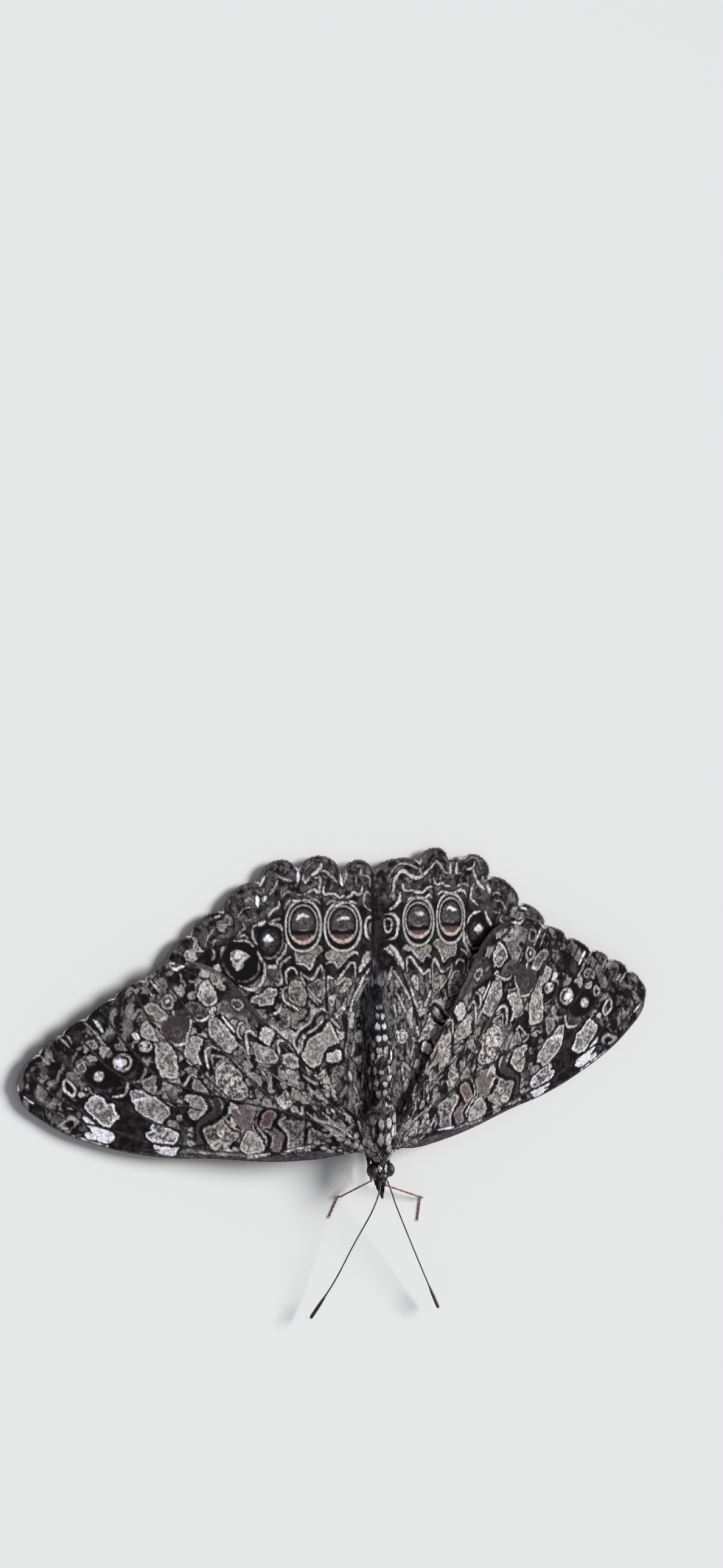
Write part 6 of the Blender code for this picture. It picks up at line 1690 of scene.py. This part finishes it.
def dress_body(skin, coat):
    """The body's hair, in tufts that lie towards the tail, in two pieces."""
    roots, facing = scatter(skin, BODY_TUFTS, 5)
    _, turn = across_body(roots)
    y = roots[:, 1]
    unrolled = np.stack([turn / (2 * math.pi) + 0.5, (y - SKIN[0][0]) / (SKIN[-1][0] - SKIN[0][0])], axis=1)
    unrolled = np.clip(unrolled, MAP_EDGE, 1 - MAP_EDGE)
    lie = np.zeros_like(roots)
    lie[:, 1] = 1.0
    lie[:, 0] = 0.25 * facing[:, 0]
    face = y < -2.35
    lie[face] = (0.0, -0.4, -1.0)
    knots = (-3.0, -2.0, -0.9, 0.3, 1.5, 5.5, 7.5, 16.0, 19.0)
    length = np.interp(y, knots, (0.22, 0.28, 0.5, 0.6, 0.5, 0.5, 0.36, 0.36, 0.6))
    lift = np.interp(y, knots, (20.0, 32.0, 30.0, 22.0, 14.0, 12.0, 9.0, 9.0, 8.0))
    width = np.interp(y, knots, (0.05, 0.06, 0.07, 0.08, 0.08, 0.08, 0.07, 0.07, 0.07))
    colours = paint_body(roots + 0.8 * length[:, None] * unit(lie), 21)
    eyes = np.full(len(roots), False)
    for side, _ in SIDES:
        away = (roots - np.array(on_side(EYE_CENTRE, side))) / np.array(EYE_RADII)
        eyes |= np.linalg.norm(away, axis=1) < 1.03
    for name, part in (("body_hair_front", y < HAIR_SPLIT), ("body_hair_rear", y >= HAIR_SPLIT)):
        part = part & ~eyes
        grow_tufts(name, roots[part], facing[part], lie[part], length[part], width[part], lift[part],
                   colours[part], unrolled[part], coat, "body_fur", 31)


def dress_wing_roots(coat):
    """Loose hair over the wings' roots and along the hindwings' inner edges."""
    rng = np.random.default_rng(47)
    for side, word in SIDES:
        x = rng.uniform(0.0, WING_ROOT_BOX[0], WING_ROOT_TUFTS)
        y = rng.uniform(0.6, WING_ROOT_BOX[1], WING_ROOT_TUFTS)
        edge = np.where(y < SKIN[-1][0] - 0.05, skin_shape(y)[1], 0.0) + side * middle_line(y)
        beyond = x - edge
        reach = np.interp(y, (0.6, 6.5, 9.0, 15.0, 19.0, 22.5), (0.9, 0.8, 0.4, 0.5, 0.7, 0.3))
        keep = (beyond > -0.35) & (beyond < reach * rng.uniform(0.2, 1.0, WING_ROOT_TUFTS))
        keep = keep & (x > 0.02) & (y > 1.0)
        x, y, beyond = x[keep], y[keep], beyond[keep]
        fore = (y > 0.9) & (y < 4.4)
        height = np.where(fore, drape(x, y, True), drape(x, y, False)) + 1.2 * WING_HALF
        roots = np.stack([side * x, y, height], axis=1)
        lie = np.stack([side * np.where(y < 6.5, 0.45, 0.12), np.ones(len(y)), np.zeros(len(y))], axis=1)
        dark = step_up(noise(roots[:, :2] * (1.6, 0.7), 0.5, 48), 0.3, 0.6)[:, None]
        share = step_up(y, 9.0, 13.0)[:, None]
        colours = mixed(mixed(MID, BLUISH, share), DARK, dark)
        length = np.interp(y, (0.6, 6.0, 14.0, 22.0), (0.4, 0.5, 0.6, 0.8))
        unrolled = 0.05 + 0.9 * np.stack([x, y], axis=1) / WING_ROOT_BOX
        grow_tufts("wing_root_hair_" + word, roots, for_each(roots, UP), lie, length, 0.05, 6.0,
                   colours, unrolled, coat, "body_fur", 49 + side)


def make_eye(side, word, coat):
    bm = bmesh.new()
    place = Matrix.Translation(on_side(EYE_CENTRE, side)) @ Matrix.Diagonal((*EYE_RADII, 1))
    bmesh.ops.create_icosphere(bm, subdivisions=5, radius=1.0, matrix=place)
    inner = BODY_X + side * 0.6
    everything = bm.verts[:] + bm.edges[:] + bm.faces[:]
    bmesh.ops.bisect_plane(bm, geom=everything, dist=1e-5, plane_co=(inner, 0, 0), plane_no=(-side, 0, 0),
                           clear_outer=True)
    bmesh.ops.holes_fill(bm, edges=[edge for edge in bm.edges if edge.is_boundary])
    add_piece("eye_glossy_" + word, as_mesh("eye_glossy_" + word, bm), coat, ("eye_" + word,))


def rod(points, radii, sides):
    """A rod that follows the points: a disc drawn on from each point to the next."""
    stations = []
    for i, (point, radius) in enumerate(zip(points, radii)):
        along = points[min(i + 1, len(points) - 1)] - points[max(i - 1, 0)]
        facing = along.to_track_quat("Z", "X").to_matrix().to_4x4()
        stations.append(Matrix.Translation(point) @ facing @ Matrix.Scale(max(radius, 0.005), 4))
    bm = bmesh.new()
    bmesh.ops.create_circle(bm, cap_ends=True, segments=sides, radius=1.0, matrix=stations[0])
    end = bm.faces[:]
    for before, after in zip(stations, stations[1:]):
        grown = bmesh.ops.extrude_face_region(bm, geom=end)["geom"]
        verts = [part for part in grown if isinstance(part, bmesh.types.BMVert)]
        end = [part for part in grown if isinstance(part, bmesh.types.BMFace)]
        bmesh.ops.transform(bm, matrix=after @ before.inverted(), verts=verts)
    return bm


def spread(values, points):
    """The values drawn out evenly, to one for each point."""
    at = np.linspace(0, len(values) - 1, len(points))
    return np.interp(at, range(len(values)), values).tolist()


def make_antenna(side, word, coat):
    """A thin ringed shaft that swells into a club."""
    points = curve_through([on_side(p, side) for p in ANTENNA[side]], 0.12)
    radii = []
    for i in range(len(points)):
        share = max(i / (len(points) - 1) - CLUB_FROM, 0) / (1 - CLUB_FROM)
        swell = math.sin(math.pi / 2 * min(share / 0.62, 1)) ** 1.4
        end = math.sqrt(max(1 - max((share - 0.9) / 0.1, 0) ** 2, 0.0))
        radius = SHAFT_RADIUS + (CLUB_RADIUS - SHAFT_RADIUS) * swell
        radii.append(radius * (1.0 - 0.1 * (i % 3 == 0)) * max(end, 0.05))
    bm = rod(points, radii, 12)
    add_piece("feeler_" + word, as_mesh("feeler_" + word, bm), coat, ("antenna_" + word,))


def make_palpus(side, word, skin_coat, coat):
    """One of the two hairy feelers in front of the mouth, dark with a paler line above."""
    points = curve_through([on_side(p, side) + Vector((PALPI_ASIDE, 0, 0)) for p in PALPUS], 0.1)
    mesh = as_mesh("palpus_core_" + word, rod(points, spread(PALPUS_RADII, points), 16))
    colour_in(mesh, for_each(mesh.vertices, DARK))
    roots, facing = scatter(mesh, PALPUS_TUFTS, 41 + side)
    middle = 1 - step_up(np.abs(roots[:, 0] - BODY_X - side * 0.12), 0.08, 0.2)
    top = step_up(facing[:, 2], 0.2, 0.7)
    colours = mixed(BLACK, DIM, (middle * top)[:, None])
    unrolled = unroll_round(roots, points[0], points[-1])
    add_piece("palpus_core_" + word, mesh, skin_coat, ("palpus_" + word,))
    lie = for_each(roots, points[-1] - points[0])
    grow_tufts("palpus_hair_" + word, roots, facing, lie, 0.19, 0.045, 4.0,
               colours, unrolled, coat, "body_fur", 43)


def make_tegula(side, word, skin_coat, coat):
    """The hairy flap over a forewing's root."""
    bm = bmesh.new()
    centre = on_side(TEGULA_CENTRE, side)
    tilt = Matrix.Rotation(math.radians(side * 32), 4, "Y")
    tilt = tilt @ Matrix.Rotation(math.radians(side * -12), 4, "Z")
    place = Matrix.Translation(centre + Vector((0, 0, -0.55))) @ tilt @ Matrix.Diagonal((*TEGULA_RADII, 1))
    bmesh.ops.create_uvsphere(bm, u_segments=32, v_segments=20, radius=1.0, matrix=place)
    mesh = as_mesh("tegula_plate_" + word, bm)
    colour_in(mesh, for_each(mesh.vertices, MAUVE))
    roots, facing = scatter(mesh, TEGULA_TUFTS, 51 + side)
    lie = for_each(roots, (side * 0.5, 1.0, 0.0))
    colours = mixed(GREY, DIM, step_up(np.abs(roots[:, 0] - centre.x), 0.15, 0.35)[:, None])
    unrolled = unroll_round(roots, centre - Vector((0, 0.9, 0)), centre + Vector((0, 0.9, 0)))
    add_piece("tegula_plate_" + word, mesh, skin_coat, ("tegula_" + word,))
    # Hair that faces the way it lies would stick out beyond the flap's ends, so it is shorter there.
    length = 0.6 - 0.45 * np.abs((facing * unit(lie)).sum(axis=1)) ** 3
    grow_tufts("tegula_hair_" + word, roots, facing, lie, length, 0.08, 9.0,
               colours, unrolled, coat, "body_fur", 53)


LEG_HAIR, THIGH_HAIR = (0.5, 0.34, 0.26), (0.13, 0.11, 0.11)
LEG_SKIN, THIGH_SKIN = (0.47, 0.32, 0.245), (0.17, 0.14, 0.135)
FOOT_TOP = 0.35                # the foot is all that lies lower
FORELEG_RADII = [0.2, 0.2, 0.17, 0.1, 0.02]
CLAW_RADII = [0.045, 0.035, 0.008]


def make_leg(pair, side, word, coat):
    """A jointed leg: thigh, shin and a foot of five short joints that ends in two claws."""
    root, hip, knee, ankle, toe = [on_side(p, side) for p in LEGS[pair, side]]
    heel = Vector((ankle.x, ankle.y, 0.16))
    tip = Vector((toe.x, toe.y, 0.1))
    points, radii = [], []

    def run(start, end, thick, count):
        for i in range(count):
            share = i / count
            points.append(start.lerp(end, share))
            radii.append(float(np.interp(share, [p[0] for p in thick], [p[1] for p in thick])))

    run(root, hip, [(0, 0.24), (1, 0.24)], 3)
    run(hip, knee, [(0, 0.2), (0.25, 0.22), (0.7, 0.14), (0.93, 0.1), (1, 0.12)], 14)
    run(knee, ankle, [(0, 0.1), (0.08, 0.075), (0.4, 0.09), (0.85, 0.08), (0.96, 0.1), (1, 0.08)], 14)
    run(ankle, heel, [(0, 0.08), (1, 0.08)], 2)
    for joint in range(5):
        first, last = heel.lerp(tip, joint / 5), heel.lerp(tip, (joint + 1) / 5)
        run(first, last, [(0, 0.065), (0.3, 0.085), (0.8, 0.1), (1, 0.07)], 5)
    points.append(tip)
    radii.append(0.06)
    bm = rod(points, radii, 12)
    along = (tip - heel).normalized()
    beside = along.cross(Vector((0, 0, 1))).normalized()
    for way in (-1, 1):
        claw = [tip - along * 0.1 + beside * way * 0.04 + Vector((0, 0, 0.02)),
                tip + along * 0.12 + beside * way * 0.12 + Vector((0, 0, 0.04)),
                tip + along * 0.26 + beside * way * 0.14 - Vector((0, 0, 0.05))]
        bent = curve_through(claw, 0.06)
        hook = rod(bent, spread(CLAW_RADII, bent), 8)
        hooked = bpy.data.meshes.new("claw")
        hook.to_mesh(hooked)
        hook.free()
        bm.from_mesh(hooked)
        bpy.data.meshes.remove(hooked)
    for vert in bm.verts:
        vert.co.z = max(vert.co.z, 0.0)
    name = f"{pair}leg_{word}"
    nodes = [f"{pair}leg_{part}_{word}" for part in ("femur", "tibia", "tarsus")]
    mesh = as_mesh(name + "_jointed", bm)
    roots, facing = scatter(mesh, LEG_TUFTS, 61 + side)

    def on_thigh(places):
        return ((places[:, 1] - knee.y) * (hip.y - knee.y) > 0) & (places[:, 2] > FOOT_TOP)

    thigh, foot = on_thigh(roots), roots[:, 2] <= FOOT_TOP
    lie = for_each(roots, ankle - knee)
    lie[thigh] = np.array(knee - hip)
    lie[foot] = np.array(tip - heel)
    length = np.where(foot, 0.07, 0.14)
    length[thigh] = 0.27
    colours = np.where(thigh[:, None], np.array(THIGH_HAIR), np.array(LEG_HAIR))
    unrolled = unroll_round(roots, hip, tip)
    keep = roots[:, 2] > 0.08
    dark = on_thigh(places_of(mesh))[:, None]
    colour_in(mesh, np.where(dark, np.array(THIGH_SKIN), np.array(LEG_SKIN)))
    add_piece(name + "_jointed", mesh, coat, nodes)
    return name, roots[keep], facing[keep], lie[keep], length[keep], colours[keep], unrolled[keep]


def make_forelegs(coat, fur):
    """The short front legs of this family, folded against the chest."""
    for side, word in SIDES:
        points = curve_through([on_side(p, side) for p in SHORT_LEG], 0.12)
        mesh = as_mesh("foreleg_folded_" + word, rod(points, spread(FORELEG_RADII, points), 12))
        colour_in(mesh, for_each(mesh.vertices, BROWN))
        roots, facing = scatter(mesh, FORELEG_TUFTS, 57 + side)
        colours = mixed(DARK, MID, step_up(noise(roots[:, :2], 0.3, 59), 0.4, 0.6)[:, None])
        unrolled = unroll_round(roots, points[0], points[-1])
        add_piece("foreleg_folded_" + word, mesh, coat, ("foreleg_" + word,))
        lie = for_each(roots, points[-1] - points[0])
        grow_tufts("foreleg_hair_" + word, roots, facing, lie, 0.32, 0.05, 12.0,
                   colours, unrolled, fur, "leg", 60)


def make_fringe(name, margin, notches, root, sweep, side, fore, coat, seed):
    """The fringe of long scales along a wing's margin, pale at its notches."""
    rng = np.random.default_rng(seed)
    reach = np.concatenate([[0], np.cumsum(np.linalg.norm(np.diff(margin, axis=0), axis=1))])
    at = np.arange(0.1, reach[-1], FRINGE_STEP)

    def on_margin(way):
        return np.stack([np.interp(way, reach, margin[:, i]) for i in (0, 1)], axis=1)

    roots = on_margin(at)
    along = unit(on_margin(at + 0.15) - on_margin(at - 0.15))
    outward = np.stack([along[:, 1], -along[:, 0]], axis=1)
    if points_inward(outward, roots, margin):
        outward = -outward
    spots = roots - outward * 0.1
    nearest = np.min([np.linalg.norm(roots - np.array(notch), axis=1) for notch in notches], axis=0)
    pale = (1 - step_up(nearest, 0.35, 1.0))[:, None] * rng.uniform(0.6, 1.0, (len(roots), 1))
    colours = mixed(DIM, PALE, pale)
    body, past = to_body(spots, root, sweep), to_body(spots + outward, root, sweep)
    height = drape(body[:, 0], body[:, 1], fore)
    placed = np.stack([side * body[:, 0], body[:, 1], height], axis=1)
    lie = np.stack([side * (past - body)[:, 0], (past - body)[:, 1], np.zeros(len(body))], axis=1)
    unrolled = np.stack([0.05 + 0.9 * at / reach[-1], np.full(len(at), 0.5)], axis=1)
    grow_tufts(name, placed, for_each(roots, UP), lie, 0.3, 0.13, 1.0,
               colours, unrolled, coat, "wing_scales", seed)


def points_inward(outward, roots, margin):
    """Whether the outward directions point at the wing's own middle instead."""
    middle = margin.mean(axis=0) * 0.6
    return ((middle - roots) * outward).sum() > 0


def make_wings(coat, fringe_coat):
    for side, word in SIDES:
        outline, margin = fore_outline(side)
        place = (FORE_ROOT[side], FORE_SWEEP[side])
        paints = (paint_forewing, paint_below_fore)
        make_wing("forewing_" + word, outline, *place, FORE_VEINS, paints, side, coat)
        notches = FORE_NOTCHES + FORE_REAR_NOTCHES[side]
        make_fringe("forewing_fringe_" + word, margin, notches, *place, side, True, fringe_coat, 71 + side)
        outline, margin = hind_outline(side)
        place = (HIND_ROOT[side], HIND_SWEEP[side])
        paints = (paint_hindwing, paint_below_hind)
        make_wing("hindwing_" + word, outline, *place, HIND_VEINS, paints, side, coat)
        notches = HIND_NOTCHES + HIND_REAR_NOTCHES[side]
        make_fringe("hindwing_fringe_" + word, margin, notches, *place, side, False, fringe_coat, 75 + side)


# Stage.

FLOOR_FROM, FLOOR_TO = 0.12, 1.2       # metres from the insect, where the floor's painted falloff of light starts and stops
FLOOR_NEAR, FLOOR_FAR = 0.5, 0.26
SKY_COLOUR, SKY_STRENGTH = (0.95, 0.97, 1.0, 1), 0.44
KEY_PLACE, KEY_ENERGY, KEY_ANGLE = (0.2, 0.08, 0.165), 5.9, 26
FILL_PLACE, FILL_ENERGY, FILL_SIZE = (-0.3, -0.2, 0.3), 0.12, 0.3


def make_stage():
    """A plain floor with a painted falloff of light, darker away from the insect, a pale sky, a broad sun
    and a soft lamp.
    """
    bm = bmesh.new()
    bmesh.ops.create_grid(bm, x_segments=1, y_segments=1, size=1.5)
    mesh = bpy.data.meshes.new("floor")
    bm.to_mesh(mesh)
    bm.free()
    made, nodes, links, shader = new_material("pale_floor", 0.9)
    where = nodes.new("ShaderNodeTexCoord")
    far = nodes.new("ShaderNodeVectorMath")
    far.operation = "LENGTH"
    links.new(where.outputs["Object"], far.inputs[0])
    # Painted light: the floor's colour falls from pale near the insect to grey far off, a painted falloff of
    # light.
    tone = nodes.new("ShaderNodeMapRange")
    tone.inputs["From Min"].default_value = FLOOR_FROM
    tone.inputs["From Max"].default_value = FLOOR_TO
    tone.inputs["To Min"].default_value = FLOOR_NEAR
    tone.inputs["To Max"].default_value = FLOOR_FAR
    links.new(far.outputs["Value"], tone.inputs["Value"])
    links.new(tone.outputs["Result"], shader.inputs["Base Color"])
    shader.inputs["Specular IOR Level"].default_value = 0.1
    mesh.materials.append(made)
    floor = bpy.data.objects.new("floor", mesh)
    bpy.context.scene.collection.objects.link(floor)
    world = bpy.data.worlds.new("studio")
    world.use_nodes = True
    sky = world.node_tree.nodes["Background"].inputs
    sky["Color"].default_value = SKY_COLOUR
    sky["Strength"].default_value = SKY_STRENGTH
    bpy.context.scene.world = world
    bpy.context.scene.view_settings.view_transform = "Standard"
    sun = bpy.data.lights.new("key_light", "SUN")
    sun.angle = math.radians(KEY_ANGLE)
    sun.energy = KEY_ENERGY
    soft = bpy.data.lights.new("fill_light", "AREA")
    soft.size = FILL_SIZE
    soft.energy = FILL_ENERGY
    for lamp, place in ((sun, KEY_PLACE), (soft, FILL_PLACE)):
        light = bpy.data.objects.new(lamp.name, lamp)
        light.location = place
        light.rotation_euler = (Vector((0, 0, 0)) - Vector(place)).to_track_quat("-Z", "Y").to_euler()
        bpy.context.scene.collection.objects.link(light)


def make_camera():
    """The camera of the photo."""
    lens = bpy.data.cameras.new("camera")
    lens.sensor_width = SENSOR
    lens.lens = PHOTO_FOCAL / PHOTO_HEIGHT * SENSOR
    lens.clip_start = 0.01
    camera = bpy.data.objects.new("camera", lens)
    camera.location = (CAMERA_PLACE + SHIFT) * MM
    turn = Matrix.Identity(3)
    for angle, axis in ((CAMERA_YAW, "Y"), (CAMERA_PITCH, "X"), (CAMERA_ROLL, "Z")):
        turn = turn @ Matrix.Rotation(math.radians(angle), 3, axis)
    camera.rotation_euler = turn.to_euler()
    bpy.context.scene.collection.objects.link(camera)
    bpy.context.scene.camera = camera


def main():
    make_stage()
    make_camera()
    scales = scale_material()
    fur = hair_material("body_hair")
    skin_coat = hair_material("body_skin", 0.85)
    fringe_coat = hair_material("wing_fringe", 0.8)
    leg_coat = hair_material("leg_skin", 0.5)
    feeler = shell_material("feeler_shell", *FEELER_TONES, 0.42)
    make_wings(scales, fringe_coat)
    skin = make_skin()
    dress_body(skin, fur)
    dress_wing_roots(fur)
    add_piece("body_skin", skin, skin_coat, ("thorax", "abdomen", "neck", "head"))
    eye_coat = eye_material()
    for side, word in SIDES:
        make_eye(side, word, eye_coat)
        make_antenna(side, word, feeler)
        make_palpus(side, word, skin_coat, fur)
        make_tegula(side, word, skin_coat, fur)
    for pair, side in LEGS:
        name, *hair, colours, unrolled = make_leg(pair, side, dict(SIDES)[side], leg_coat)
        grow_tufts(name + "_hair", *hair, 0.035, 34.0, colours, unrolled, fringe_coat, "leg", 81 + side)
    make_forelegs(skin_coat, fur)


main()
